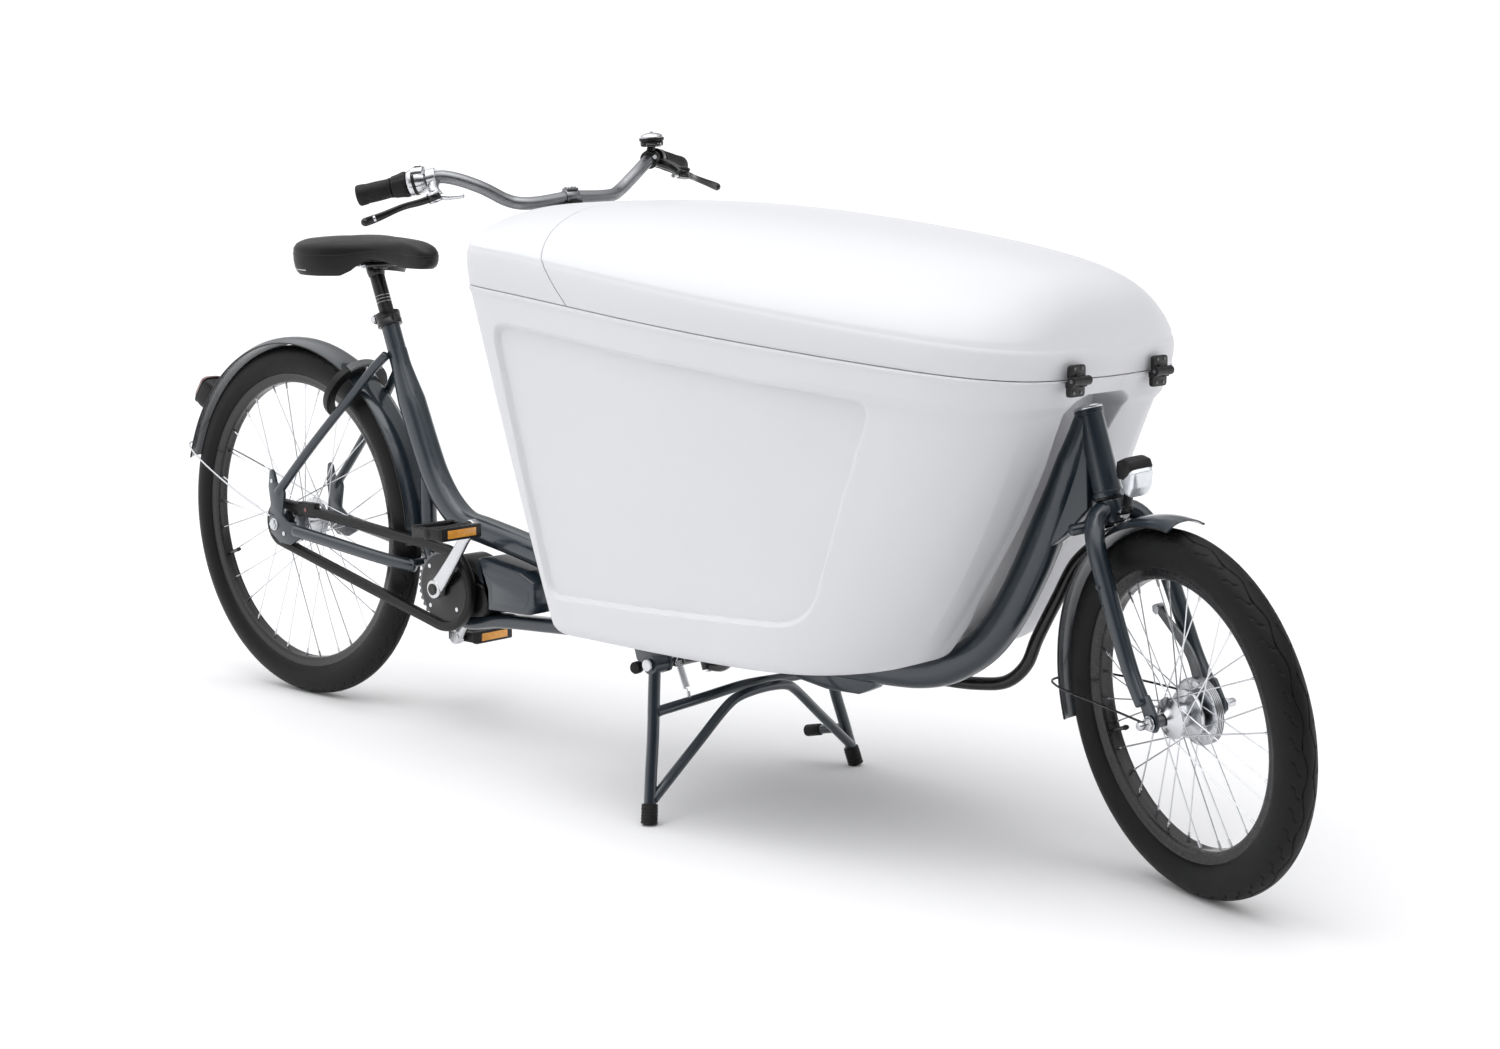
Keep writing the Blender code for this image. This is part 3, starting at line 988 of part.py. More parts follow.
# ---------------------------------------------------------------- kickstand
def stand_leg(s):
    path = smooth_path([(1.1318, 0.1985 * s, 0.2300), (1.1355, 0.2050 * s, 0.1850), (1.1415, 0.2140 * s, 0.1300), (1.1505, 0.2290 * s, 0.0700), (1.1592, 0.2420 * s, 0.0120)], 7)
    return sweep(path, 0.0095, 10, (1, 0, 0))


ARCH = [(1.1590, -0.2330, 0.0370), (1.1660, -0.1450, 0.1070), (1.1722, -0.0760, 0.1610), (1.1745, -0.0560, 0.1700), (1.1765, 0.0000, 0.1755), (1.1745, 0.0560, 0.1700), (1.1722, 0.0760, 0.1610), (1.1660, 0.1450, 0.1070), (1.1590, 0.2330, 0.0370)]
parts = []
for s in (-1, 1):
    eye = rod((STAND_PIVOT.x, 0.1810 * s, STAND_PIVOT.z), (STAND_PIVOT.x, 0.2095 * s, STAND_PIVOT.z), 0.0150, 12)
    parts += [eye, stand_leg(s)]
cross = sweep(smooth_path([(1.1400, -0.2080, 0.1660), (1.1375, -0.1000, 0.1700), (1.1365, 0, 0.1745), (1.1375, 0.1000, 0.1700), (1.1400, 0.2080, 0.1660)], 9), 0.0082, 8)
arch = sweep(smooth_path(ARCH, 19), 0.0080, 8)
lever = rod((1.1500, 0.2290, 0.0650), (1.0750, 0.2215, 0.0495), 0.0085, 8)
stand = union(parts[0], parts[1], cross, parts[2], parts[3], arch, lever)
hook = rod((1.1385, -0.1300, 0.1730), (1.1365, -0.1300, 0.1850), 0.0030, 6)
stand = union(stand, hook)
stand = cut(stand, rod((STAND_PIVOT.x, -0.25, STAND_PIVOT.z), (STAND_PIVOT.x, -0.15, STAND_PIVOT.z), 0.0060, 10), rod((STAND_PIVOT.x, 0.15, STAND_PIVOT.z), (STAND_PIVOT.x, 0.25, STAND_PIVOT.z), 0.0060, 10))
finish(stand, "kickstand", "slate_paint", origin=STAND_PIVOT)
for s, word in ((-1, "right"), (1, "left")):
    top, foot = Vector((1.1568, 0.2385 * s, 0.0290)), Vector((1.1613, 0.2450 * s, 0.0))
    shoe = sweep([top, top.lerp(foot, 0.15), foot], lambda t: (0.0114 + 0.0010 * t,) * 2, 12, (1, 0, 0))
    shoe = cut(shoe, block((1.10, -0.30, -0.05), (1.22, 0.30, 0.0)))
    shoe = cut(shoe, sweep(smooth_path([(1.1318, 0.1985 * s, 0.2300), (1.1355, 0.2050 * s, 0.1850), (1.1415, 0.2140 * s, 0.1300), (1.1505, 0.2290 * s, 0.0700), (1.1592, 0.2420 * s, 0.0120)], 7), 0.0095 + GAP, 10, (1, 0, 0)),
               sweep(smooth_path(ARCH, 19), 0.0080 + GAP, 8))
    finish(shoe, "stand_foot_" + word, "black_rubber", origin=STAND_PIVOT)
spring = rod((1.1355, -0.1300, 0.1865), (1.1155, -0.1330, 0.2385), 0.0056, 8)
finish(spring, "stand_spring", "silver_metal")

# ---------------------------------------------------------------- steering column and handlebar
BARS = empty("bar_turn", ROOT, turned_about(COLUMN, AXIS, BAR_REST))
ARM_C = Vector((column_x(0.1915), 0, 0.1915))
fwd = Vector((math.cos(HEAD_TILT), 0, math.sin(HEAD_TILT)))
column_end = ARM_C + fwd * (FORK_ARM.x * LINK_RATIO) + Vector((0, FORK_ARM.y * LINK_RATIO, 0))
column = rod(Vector((column_x(0.185), 0, 0.185)), Vector((column_x(0.925), 0, 0.925)), 0.0146, 14)
arm = rod(ARM_C, column_end, 0.0090, 10)
eye = rod(column_end - AXIS * 0.0080, column_end + AXIS * 0.0080, 0.0120, 12)
collar = rod(Vector((column_x(0.376), 0, 0.376)), Vector((column_x(0.392), 0, 0.392)), 0.0190, 14)
finish(union(column, arm, eye, collar), "steering_column", "black_metal", BARS, COLUMN)

bar_half = [(0.0000, 0.0000, 0.0000), (0.0000, 0.0300, -0.0020), (-0.0010, 0.0600, -0.0040), (-0.0060, 0.0850, -0.0035), (-0.0150, 0.1000, 0.0000), (-0.0205, 0.1150, 0.0070), (-0.0240, 0.1300, 0.0165),
            (-0.0282, 0.1450, 0.0257), (-0.0351, 0.1600, 0.0337), (-0.0436, 0.1750, 0.0409), (-0.0532, 0.1900, 0.0465), (-0.0610, 0.2030, 0.0492), (-0.0700, 0.2150, 0.0480), (-0.0781, 0.2247, 0.0458),
            (-0.1105, 0.2635, 0.0370), (-0.1510, 0.3120, 0.0260)]
RUN_A, RUN_B = bar_half[12], bar_half[15]
BAR_R = 0.0106
bar_pts = [(-0.0 + x, -y, z) for x, y, z in bar_half[::-1]] + bar_half[1:]
bar_path = smooth_path([COLUMN + Vector(p) for p in bar_pts], 45)
finish(sweep(bar_path, BAR_R, 8), "handlebar", "bar_alloy", BARS, COLUMN)
clamp = union(rod(COLUMN + Vector((0.001, -0.0200, 0)), COLUMN + Vector((0.001, 0.0200, 0)), 0.0175, 14), rod(Vector((column_x(0.936), 0, 0.936)), Vector((column_x(0.902), 0, 0.902)), 0.0185, 14))
clamp = cut(clamp, sweep(bar_path[15:30], BAR_R + GAP, 8), rod(Vector((column_x(0.88), 0, 0.88)), Vector((column_x(0.9254), 0, 0.9254)), 0.0146 + GAP, 14))
finish(clamp, "bar_clamp", "bar_alloy", BARS, COLUMN)


def on_bar(s, along_bar):
    """Point and direction of the grip's straight run, a distance along it from its inner end."""
    a, b = Vector(RUN_A), Vector(RUN_B)
    a, b = Vector((a.x, a.y * s, a.z)), Vector((b.x, b.y * s, b.z))
    d = (b - a).normalized()
    return COLUMN + a + d * along_bar, d


for s, word in ((-1, "right"), (1, "left")):
    start = 0.0680 if s < 0 else 0.0120
    p, d = on_bar(s, start)
    q, _ = on_bar(s, 0.1262)
    prof = [(0.0116, 0.0), (0.0165, 0.0), (0.0175, 0.004), (0.0160, 0.010), (0.0160, (q - p).length * 0.6), (0.0178, (q - p).length - 0.006), (0.0172, (q - p).length + 0.0015), (0.0116, (q - p).length + 0.0015)]
    grip = along(ring(prof, 14), p, d)
    finish(grip, "grip_" + word, "black_rubber", BARS, COLUMN)
    # brake bracket: a clamp on the bar and a nose that carries the lever
    at = COLUMN + Vector((RUN_A[0], RUN_A[1] * s, RUN_A[2]))
    tangent = Vector((RUN_B[0] - RUN_A[0], (RUN_B[1] - RUN_A[1]) * s, RUN_B[2] - RUN_A[2])).normalized()
    pivot = COLUMN + Vector((-0.0224, 0.2374 * s, 0.0200))
    tip = COLUMN + Vector((-0.0750, 0.3387 * s, -0.0123))
    clampb = along(turned([(0.0158, -0.008), (0.0158, 0.008)], 12), at, tangent)
    nose = sweep([at + Vector((0.010, 0.002 * s, -0.010)), at.lerp(pivot, 0.6), pivot + Vector((0.006, -0.012 * s, 0.002))], lambda t: (0.0095 - 0.0015 * t, 0.0085 - 0.001 * t), 8)
    br = union(clampb, nose)
    br = cut(br, sweep(smooth_path([COLUMN + Vector((x, y * s, z)) for x, y, z in bar_half], 26), BAR_R + GAP, 8))
    lever_dir = (tip - pivot).normalized()
    side = lever_dir.cross(Vector((0, 0, 1))).normalized()
    up = side.cross(lever_dir).normalized()
    br = cut(br, along(turned([(0.0150, -0.0050), (0.0150, 0.0050)], 12), pivot, up))
    finish(br, "brake_bracket_" + word, "silver_metal" if s < 0 else "black_metal", BARS, COLUMN)
    bend = pivot.lerp(tip, 0.45) + side * (0.006 if s < 0 else -0.006) + up * 0.002
    blade = sweep(smooth_path([pivot + lever_dir * 0.0, pivot.lerp(tip, 0.2), bend, pivot.lerp(tip, 0.8), tip], 8), lambda t: (0.0042, 0.0062 - 0.0012 * t), 8, up)
    hubl = along(turned([(0.0105, -0.0044), (0.0105, 0.0044)], 12), pivot, up)
    knob = along(turned([(0.0050, -0.0062), (0.0064, 0.0), (0.0050, 0.0062)], 8), tip, lever_dir)
    finish(union(hubl, blade, knob), "brake_lever_" + word, "black_metal", BARS, pivot)

p, d = on_bar(-1, 0.0405)
q, _ = on_bar(-1, 0.0672)
prof = [(0.0116, 0.0), (0.0195, 0.0), (0.0215, 0.006), (0.0190, 0.016), (0.0175, (q - p).length), (0.0116, (q - p).length)]
finish(along(ring(prof, 16), p, d), "twist_shifter", "black_rubber", BARS, p)
# shifter housing, on the bar between the bracket and the twist grip, with its indicator window
hp, hd = on_bar(-1, 0.0100)
house = along(ring([(0.0116, 0.0), (0.0185, 0.0), (0.0215, 0.008), (0.0215, 0.0245), (0.0190, 0.0300), (0.0116, 0.0300)], 14), hp, hd)
house = union(house, sweep([hp + hd * 0.003 + Vector((0.004, 0.0, 0.012)), hp + hd * 0.024 + Vector((0.004, 0.0, 0.014))], lambda t: (0.0150, 0.0110), 8))
house = cut(house, sweep(smooth_path([COLUMN + Vector((x, -y, z)) for x, y, z in bar_half], 26), BAR_R + GAP, 8))
house = combine(house, along(turned([(0.06, 0.0), (0.06, 0.05)], 12), hp, hd), "INTERSECT")
finish(house, "shifter_housing", "silver_metal", BARS, COLUMN)

bell_at = COLUMN + Vector((-0.0545, 0.1920, 0.0470))
bell_c = COLUMN + Vector((-0.0530, 0.1975, 0.0790))
bell = along(turned([(0.0085, -0.0105), (0.0195, -0.0075), (0.0215, 0.0030), (0.0170, 0.0105), (0.0070, 0.0135)], 16), bell_c, (0, 0, 1))
foot = along(ring([(0.0116, -0.006), (0.0158, -0.006), (0.0158, 0.006), (0.0116, 0.006)], 12), bell_at, Vector((-0.0080, 0.0130, 0.0040)))
foot2 = rod(bell_at + Vector((0, 0.001, 0.0125)), bell_c + Vector((0, 0, -0.006)), 0.0070, 8)
bell = union(bell, foot2, foot)
bell = cut(bell, sweep(smooth_path([COLUMN + Vector(p) for p in bar_half], 26), BAR_R + GAP, 8))
finish(bell, "bell", "black_metal", BARS, COLUMN)
bl_pivot = bell_c + Vector((0.0240, 0.000, -0.0080))
bell_lever = union(along(turned([(0.0030, -0.0035), (0.0030, 0.0035)], 8), bl_pivot, (0, 0, 1)), sweep([bl_pivot, bl_pivot + Vector((0.006, -0.011, 0.0)), bl_pivot + Vector((0.002, -0.026, 0.001))], lambda t: (0.0035, 0.0020 + 0.001 * t), 6))
finish(bell_lever, "bell_lever", "black_metal", BARS, bl_pivot)

# ---------------------------------------------------------------- steering rod, between the two arms at rest
rear_joint = turned_about(COLUMN, AXIS, BAR_REST) @ (column_end - AXIS * 0.0088)
fork_world = Matrix.Translation(FORK_SLIDE) @ turned_about(HEAD_POINT, AXIS, FORK_REST)
front_joint = fork_world @ off_head(FORK_ARM.x, FORK_ARM.y, -0.0083)
rod_pts = [rear_joint - AXIS * 0.0098, rear_joint + Vector((0.035, 0.0, -0.0065)), Vector((1.050, 0.0830, 0.2080)), Vector((1.085, 0.0828, 0.2153)), Vector((1.120, 0.0823, 0.2190)), Vector((1.165, 0.0815, 0.2190)), Vector((1.250, 0.0800, 0.2150)), Vector((1.430, 0.0760, 0.2170)), Vector((1.545, 0.0740, 0.2215)),
           Vector((1.600, 0.0730, 0.2330)), Vector((1.634, 0.0725, 0.2620)), Vector((1.654, 0.0720, 0.3050)), Vector((1.690, 0.0715, 0.3700)), Vector((1.722, 0.0715, 0.4250)),
           Vector((1.762, 0.0710, 0.4600)), front_joint + Vector((-0.030, 0.0, -0.0130)), front_joint - AXIS * 0.0098]
path = smooth_path(rod_pts, 28)
rod_tube = sweep(path, lambda t: (0.0080 + 0.0025 * min(1, 8 * t, 8 * (1 - t)),) * 2, 8)
end1 = rod(rear_joint, rear_joint - AXIS * 0.0150, 0.0115, 12)
end2 = rod(front_joint, front_joint - AXIS * 0.0140, 0.0105, 12)
finish(union(rod_tube, end1, end2), "steering_rod", "black_metal", origin=rear_joint)
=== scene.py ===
"""Looks of the front-loading cargo bicycle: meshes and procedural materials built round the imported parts.

Shapes are written in metres with x counted from the rear axle, like the parts, and shifted by X_MID and Y_MID at the end.
"""

import json
import math

import bmesh
import bpy
import numpy as np
from mathutils import Matrix, Vector

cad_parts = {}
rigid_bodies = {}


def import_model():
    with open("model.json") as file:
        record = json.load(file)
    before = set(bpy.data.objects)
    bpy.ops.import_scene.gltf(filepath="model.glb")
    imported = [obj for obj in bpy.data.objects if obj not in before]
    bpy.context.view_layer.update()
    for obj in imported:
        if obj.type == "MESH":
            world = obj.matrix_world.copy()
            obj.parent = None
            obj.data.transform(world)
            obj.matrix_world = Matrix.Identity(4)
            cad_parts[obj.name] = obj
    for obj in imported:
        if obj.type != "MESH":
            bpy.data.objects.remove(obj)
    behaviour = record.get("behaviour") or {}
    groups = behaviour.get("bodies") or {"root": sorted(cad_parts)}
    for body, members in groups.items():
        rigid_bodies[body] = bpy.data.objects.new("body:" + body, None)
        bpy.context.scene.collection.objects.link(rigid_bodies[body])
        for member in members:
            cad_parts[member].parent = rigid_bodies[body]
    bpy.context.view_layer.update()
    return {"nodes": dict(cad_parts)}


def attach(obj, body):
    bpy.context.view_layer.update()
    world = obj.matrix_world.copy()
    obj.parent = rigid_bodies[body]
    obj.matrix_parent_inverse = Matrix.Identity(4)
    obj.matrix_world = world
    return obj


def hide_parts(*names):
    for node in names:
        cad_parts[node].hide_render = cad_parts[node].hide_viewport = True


for old in list(bpy.data.objects):
    bpy.data.objects.remove(old)
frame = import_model()
nodes = frame["nodes"]

# ---------------------------------------------------------------- dimensions shared with the parts
X_MID, Y_MID = 0.9391, 0.0156
REAR_R, REAR_TYRE_W, REAR_RIM_R = 0.333, 0.047, 0.262
FRONT_R, FRONT_TYRE_W, FRONT_RIM_R = 0.2572, 0.054, 0.1865
REAR_BEAD, FRONT_BEAD = REAR_RIM_R + 0.0185, FRONT_RIM_R + 0.0185
WHEELBASE = 1.9737
HEAD_TILT = math.radians(17.0)
HEAD_X, HEAD_Z = 1.9100, 0.2572
COLUMN = Vector((0.753, 0.0, 0.944))
BB = Vector((0.459, 0.0, 0.261))
CRANK_L, CRANK_ANGLE = 0.170, math.radians(46.4)
CHAIN_Y = -0.047
RING_R, SPROCKET_R = 0.0688, 0.0366
SEAT_TILT = math.radians(21.0)
SEAT_CLAMP = Vector((0.269, 0.0, 0.726))
STAND_PIVOT = Vector((1.131, 0.0, 0.239))
LID_HINGE = Vector((1.8440, 0.0, 0.7055))
WALL = 0.006
AXIS = Vector((-math.sin(HEAD_TILT), 0.0, math.cos(HEAD_TILT)))
AXLE_R = Vector((0.0, 0.0, REAR_R))
AXLE_F = Vector((WHEELBASE, 0.0, FRONT_R))


def head_x(z):
    return HEAD_X - (z - HEAD_Z) * math.tan(HEAD_TILT)


def column_x(z):
    return COLUMN.x - (z - COLUMN.z) * math.tan(HEAD_TILT)


def turned_about(point, axis, angle):
    return Matrix.Translation(point) @ Matrix.Rotation(angle, 4, axis) @ Matrix.Translation(-Vector(point))


HEAD_POINT = Vector((head_x(0.6), 0.0, 0.6))
T_FRAME = Matrix.Translation((-X_MID, -Y_MID, 0.0))
T_FORK = T_FRAME @ Matrix.Translation(AXIS * -0.00031) @ turned_about(HEAD_POINT, AXIS, math.radians(-22.0))
T_BARS = T_FRAME @ turned_about(COLUMN, AXIS, math.radians(-14.1))


# ---------------------------------------------------------------- procedural materials
def material(name, colour, rough, metal=0.0, vary=0.06, scale=18.0, rough_vary=0.06, bump=0.0, bump_scale=600.0, kind="noise",
             coat=0.0, coat_rough=0.1, sheen=0.0, aniso=0.0, stretch=None, spec=0.5, detail=4.0, worn=None, ior=None, transmission=0.0):
    """A Principled material whose colour, roughness and relief vary over the surface."""
    m = bpy.data.materials.new(name)
    m.use_nodes = True
    nt = m.node_tree
    bsdf = nt.nodes["Principled BSDF"]
    bsdf.inputs["Metallic"].default_value = metal
    bsdf.inputs["Specular IOR Level"].default_value = spec
    bsdf.inputs["Coat Weight"].default_value = coat
    bsdf.inputs["Coat Roughness"].default_value = coat_rough
    bsdf.inputs["Sheen Weight"].default_value = sheen
    bsdf.inputs["Anisotropic"].default_value = aniso
    bsdf.inputs["Transmission Weight"].default_value = transmission
    if ior:
        bsdf.inputs["IOR"].default_value = ior
    coord = nt.nodes.new("ShaderNodeTexCoord")
    mapping = nt.nodes.new("ShaderNodeMapping")
    nt.links.new(coord.outputs["Object"], mapping.inputs["Vector"])
    if stretch:
        mapping.inputs["Scale"].default_value = stretch
    big = nt.nodes.new("ShaderNodeTexNoise")
    big.inputs["Scale"].default_value = scale
    big.inputs["Detail"].default_value = detail
    nt.links.new(mapping.outputs["Vector"], big.inputs["Vector"])
    ramp = nt.nodes.new("ShaderNodeValToRGB")
    lo = [max(0.0, c * (1 - vary)) for c in colour]
    hi = [min(1.0, c * (1 + vary)) for c in colour]
    ramp.color_ramp.elements[0].position, ramp.color_ramp.elements[1].position = 0.30, 0.72
    ramp.color_ramp.elements[0].color = (*lo, 1.0)
    ramp.color_ramp.elements[1].color = (*hi, 1.0)
    if worn:
        mid = ramp.color_ramp.elements.new(0.90)
        mid.color = (*worn, 1.0)
    nt.links.new(big.outputs["Fac"], ramp.inputs["Fac"])
    nt.links.new(ramp.outputs["Color"], bsdf.inputs["Base Color"])
    rng = nt.nodes.new("ShaderNodeMapRange")
    rng.inputs["From Min"].default_value, rng.inputs["From Max"].default_value = 0.3, 0.7
    rng.inputs["To Min"].default_value, rng.inputs["To Max"].default_value = max(0.02, rough - rough_vary), min(1.0, rough + rough_vary)
    fine = nt.nodes.new("ShaderNodeTexNoise")
    fine.inputs["Scale"].default_value = scale * 5
    fine.inputs["Detail"].default_value = 3.0
    nt.links.new(mapping.outputs["Vector"], fine.inputs["Vector"])
    nt.links.new(fine.outputs["Fac"], rng.inputs["Value"])
    nt.links.new(rng.outputs["Result"], bsdf.inputs["Roughness"])
    if bump:
        if kind == "grain":
            relief = nt.nodes.new("ShaderNodeTexVoronoi")
            relief.feature = "DISTANCE_TO_EDGE"
            out = relief.outputs["Distance"]
        else:
            relief = nt.nodes.new("ShaderNodeTexNoise")
            relief.inputs["Detail"].default_value = 2.0
            out = relief.outputs["Fac"]
        relief.inputs["Scale"].default_value = bump_scale
        nt.links.new(coord.outputs["Object"], relief.inputs["Vector"])
        node = nt.nodes.new("ShaderNodeBump")
        node.inputs["Strength"].default_value = bump
        node.inputs["Distance"].default_value = 0.0006
        nt.links.new(out, node.inputs["Height"])
        nt.links.new(node.outputs["Normal"], bsdf.inputs["Normal"])
    return m


M = {
    "slate": material("slate_paint", (0.0135, 0.0225, 0.0320), 0.30, 0.10, vary=0.035, scale=5, rough_vary=0.015, bump=0.008, bump_scale=900, coat=0.75, coat_rough=0.07, spec=0.5),
    "white": material("white_shell", (0.70, 0.705, 0.725), 0.42, 0.0, vary=0.006, scale=4, rough_vary=0.02, bump=0.018, bump_scale=700, coat=0.12, coat_rough=0.25, spec=0.4),
    "inside": material("shell_inside", (0.50, 0.505, 0.52), 0.6, 0.0, vary=0.03, scale=12, rough_vary=0.06, bump=0.12, bump_scale=260),
    "tyre": material("tyre_rubber", (0.0048, 0.0048, 0.0050), 0.50, 0.0, vary=0.06, scale=14, rough_vary=0.03, bump=0.05, bump_scale=1500, spec=0.20),
    "rubber": material("black_rubber", (0.0055, 0.0055, 0.0058), 0.55, 0.0, vary=0.15, scale=60, rough_vary=0.08, bump=0.12, bump_scale=1800, spec=0.3),
    "plastic": material("black_plastic", (0.0060, 0.0060, 0.0065), 0.40, 0.0, vary=0.07, scale=30, rough_vary=0.04, bump=0.10, bump_scale=1600, kind="grain", spec=0.34),
    "black_metal": material("black_metal", (0.0065, 0.0065, 0.0070), 0.30, 0.25, vary=0.06, scale=24, rough_vary=0.03, bump=0.02, bump_scale=1200, coat=0.25, coat_rough=0.2),
    "rim": material("rim_black", (0.0050, 0.0050, 0.0054), 0.28, 0.2, vary=0.06, scale=20, rough_vary=0.03, bump=0.015, bump_scale=900, coat=0.3, coat_rough=0.12),
    "silver": material("silver_metal", (0.66, 0.67, 0.69), 0.22, 1.0, vary=0.04, scale=40, rough_vary=0.05, bump=0.02, bump_scale=1500),
    "spoke": material("spoke_steel", (0.74, 0.75, 0.77), 0.20, 1.0, vary=0.05, scale=80, rough_vary=0.06),
    "alloy": material("bar_alloy", (0.245, 0.25, 0.26), 0.36, 1.0, vary=0.06, scale=50, rough_vary=0.08, bump=0.05, bump_scale=1600),
    "dark_steel": material("dark_steel", (0.16, 0.165, 0.17), 0.38, 1.0, vary=0.14, scale=60, rough_vary=0.10, bump=0.08, bump_scale=1500),
    "saddle": material("saddle_cover", (0.0055, 0.0055, 0.0058), 0.40, 0.0, vary=0.06, scale=20, rough_vary=0.03, bump=0.18, bump_scale=900, kind="grain", sheen=0.03, spec=0.33),
    "piping": material("reflective_piping", (0.55, 0.56, 0.57), 0.45, 0.3, vary=0.10, scale=120, rough_vary=0.08, bump=0.15, bump_scale=2500),
    "lens": material("lamp_lens", (0.82, 0.85, 0.88), 0.07, 0.55, vary=0.10, scale=90, rough_vary=0.04, coat=1.0, coat_rough=0.03, bump=0.5, bump_scale=240, kind="grain"),
    "amber": material("amber_reflector", (0.80, 0.33, 0.02), 0.22, 0.1, vary=0.16, scale=160, rough_vary=0.08, coat=0.8, coat_rough=0.06, bump=0.5, bump_scale=500, kind="grain"),
    "red": material("red_lens", (0.13, 0.008, 0.010), 0.22, 0.0, vary=0.2, scale=120, rough_vary=0.06, coat=0.8, coat_rough=0.05, bump=0.4, bump_scale=500, kind="grain"),
    "grey_plastic": material("grey_plastic", (0.18, 0.185, 0.19), 0.5, 0.0, vary=0.08, scale=50, rough_vary=0.08, bump=0.15, bump_scale=1500),
    "white_plastic": material("white_plastic", (0.75, 0.75, 0.75), 0.35, 0.0, vary=0.03, scale=50, rough_vary=0.08, bump=0.06, bump_scale=900),
}


# ---------------------------------------------------------------- mesh building: every shape is (points, faces)
def cr(points, count=None, per=10, closed=False):
    """A centripetal Catmull-Rom curve through the points; with a count, spaced evenly along it."""
    p = np.array([tuple(q) for q in points], float)
    if closed:
        p = np.vstack([p[-1], p, p[0], p[1]])
    else:
        p = np.vstack([2 * p[0] - p[1], p, 2 * p[-1] - p[-2]])
    out = []
    for i in range(1, len(p) - 2):
        a, b, c, d = p[i - 1], p[i], p[i + 1], p[i + 2]
        t0 = 0.0
        t1 = t0 + max(1e-6, np.linalg.norm(b - a)) ** 0.5
        t2 = t1 + max(1e-6, np.linalg.norm(c - b)) ** 0.5
        t3 = t2 + max(1e-6, np.linalg.norm(d - c)) ** 0.5
        for t in np.linspace(t1, t2, per, endpoint=False):
            a1 = (t1 - t) / (t1 - t0) * a + (t - t0) / (t1 - t0) * b
            a2 = (t2 - t) / (t2 - t1) * b + (t - t1) / (t2 - t1) * c
            a3 = (t3 - t) / (t3 - t2) * c + (t - t2) / (t3 - t2) * d
            b1 = (t2 - t) / (t2 - t0) * a1 + (t - t0) / (t2 - t0) * a2
            b2 = (t3 - t) / (t3 - t1) * a2 + (t - t1) / (t3 - t1) * a3
            out.append((t2 - t) / (t2 - t1) * b1 + (t - t1) / (t2 - t1) * b2)
    if not closed:
        out.append(p[-2])
    out = np.array(out)
    if count is None:
        return out
    src = np.vstack([out, out[:1]]) if closed else out
    length = np.concatenate([[0], np.cumsum(np.linalg.norm(np.diff(src, axis=0), axis=1))])
    want = np.linspace(0, length[-1], count, endpoint=not closed)
    return np.stack([np.interp(want, length, src[:, k]) for k in range(src.shape[1])], axis=1)


def unit(v):
    v = np.asarray(v, float)
    return v / max(1e-12, np.linalg.norm(v))


def tube(points, size, sides=20, up=(0, 0, 1), power=2.0, closed=False, dome=0.0):
    """A tube along the points. size is a radius, a pair, or a function of 0 to 1; dome rounds both ends."""
    pts = np.array([tuple(p) for p in points], float)
    n = len(pts)
    up = np.array(up, float)
    sizes = []
    for i in range(n):
        s = size(i / max(1, n - 1)) if callable(size) else size
        sizes.append(tuple(s) if hasattr(s, "__len__") else (s, s))
    dirs = []
    for i in range(n):
        if closed:
            d = pts[(i + 1) % n] - pts[i - 1]
        else:
            d = pts[min(i + 1, n - 1)] - pts[max(i - 1, 0)]
        dirs.append(unit(d))
    rows, rdirs, rsizes = list(pts), list(dirs), list(sizes)
    if dome and not closed:
        head, hd, hs, tail, td, ts = [], [], [], [], [], []
        for k in (4, 3, 2, 1):
            a = math.pi / 2 * k / 4.4
            head.append(pts[0] - dirs[0] * dome * math.sin(a))
            hd.append(dirs[0])
            hs.append((sizes[0][0] * math.cos(a), sizes[0][1] * math.cos(a)))
        for k in (1, 2, 3, 4):
            a = math.pi / 2 * k / 4.4
            tail.append(pts[-1] + dirs[-1] * dome * math.sin(a))
            td.append(dirs[-1])
            ts.append((sizes[-1][0] * math.cos(a), sizes[-1][1] * math.cos(a)))
        rows, rdirs, rsizes = head + rows + tail, hd + rdirs + td, hs + rsizes + ts
    verts, faces = [], []
    ang = 2 * np.pi * (np.arange(sides) + 0.5) / sides
    c, s = np.cos(ang), np.sin(ang)
    c = np.sign(c) * np.abs(c) ** (2 / power)
    s = np.sign(s) * np.abs(s) ** (2 / power)
    for p, d, (a, b) in zip(rows, rdirs, rsizes):
        w = unit(np.cross(up, d))
        h = unit(np.cross(d, w))
        verts.append(p + np.outer(c * a, w) + np.outer(s * b, h))
    m = len(rows)
    for i in range(m if closed else m - 1):
        j = (i + 1) % m
        for k in range(sides):
            q = (k + 1) % sides
            faces.append((i * sides + k, i * sides + q, j * sides + q, j * sides + k))
    if not closed:
        faces.append(tuple(range(sides))[::-1])
        faces.append(tuple((m - 1) * sides + k for k in range(sides)))
    return np.vstack(verts), faces


def rod(a, b, r, sides=20, r2=None, dome=0.0):
    a, b = np.array(tuple(a), float), np.array(tuple(b), float)
    d = unit(b - a)
    up = (0, 0, 1) if abs(d[2]) < 0.9 else (1, 0, 0)
    r2 = r if r2 is None else r2
    return tube([a, (a + b) / 2, b], lambda t: r + (r2 - r) * t, sides, up, dome=dome)


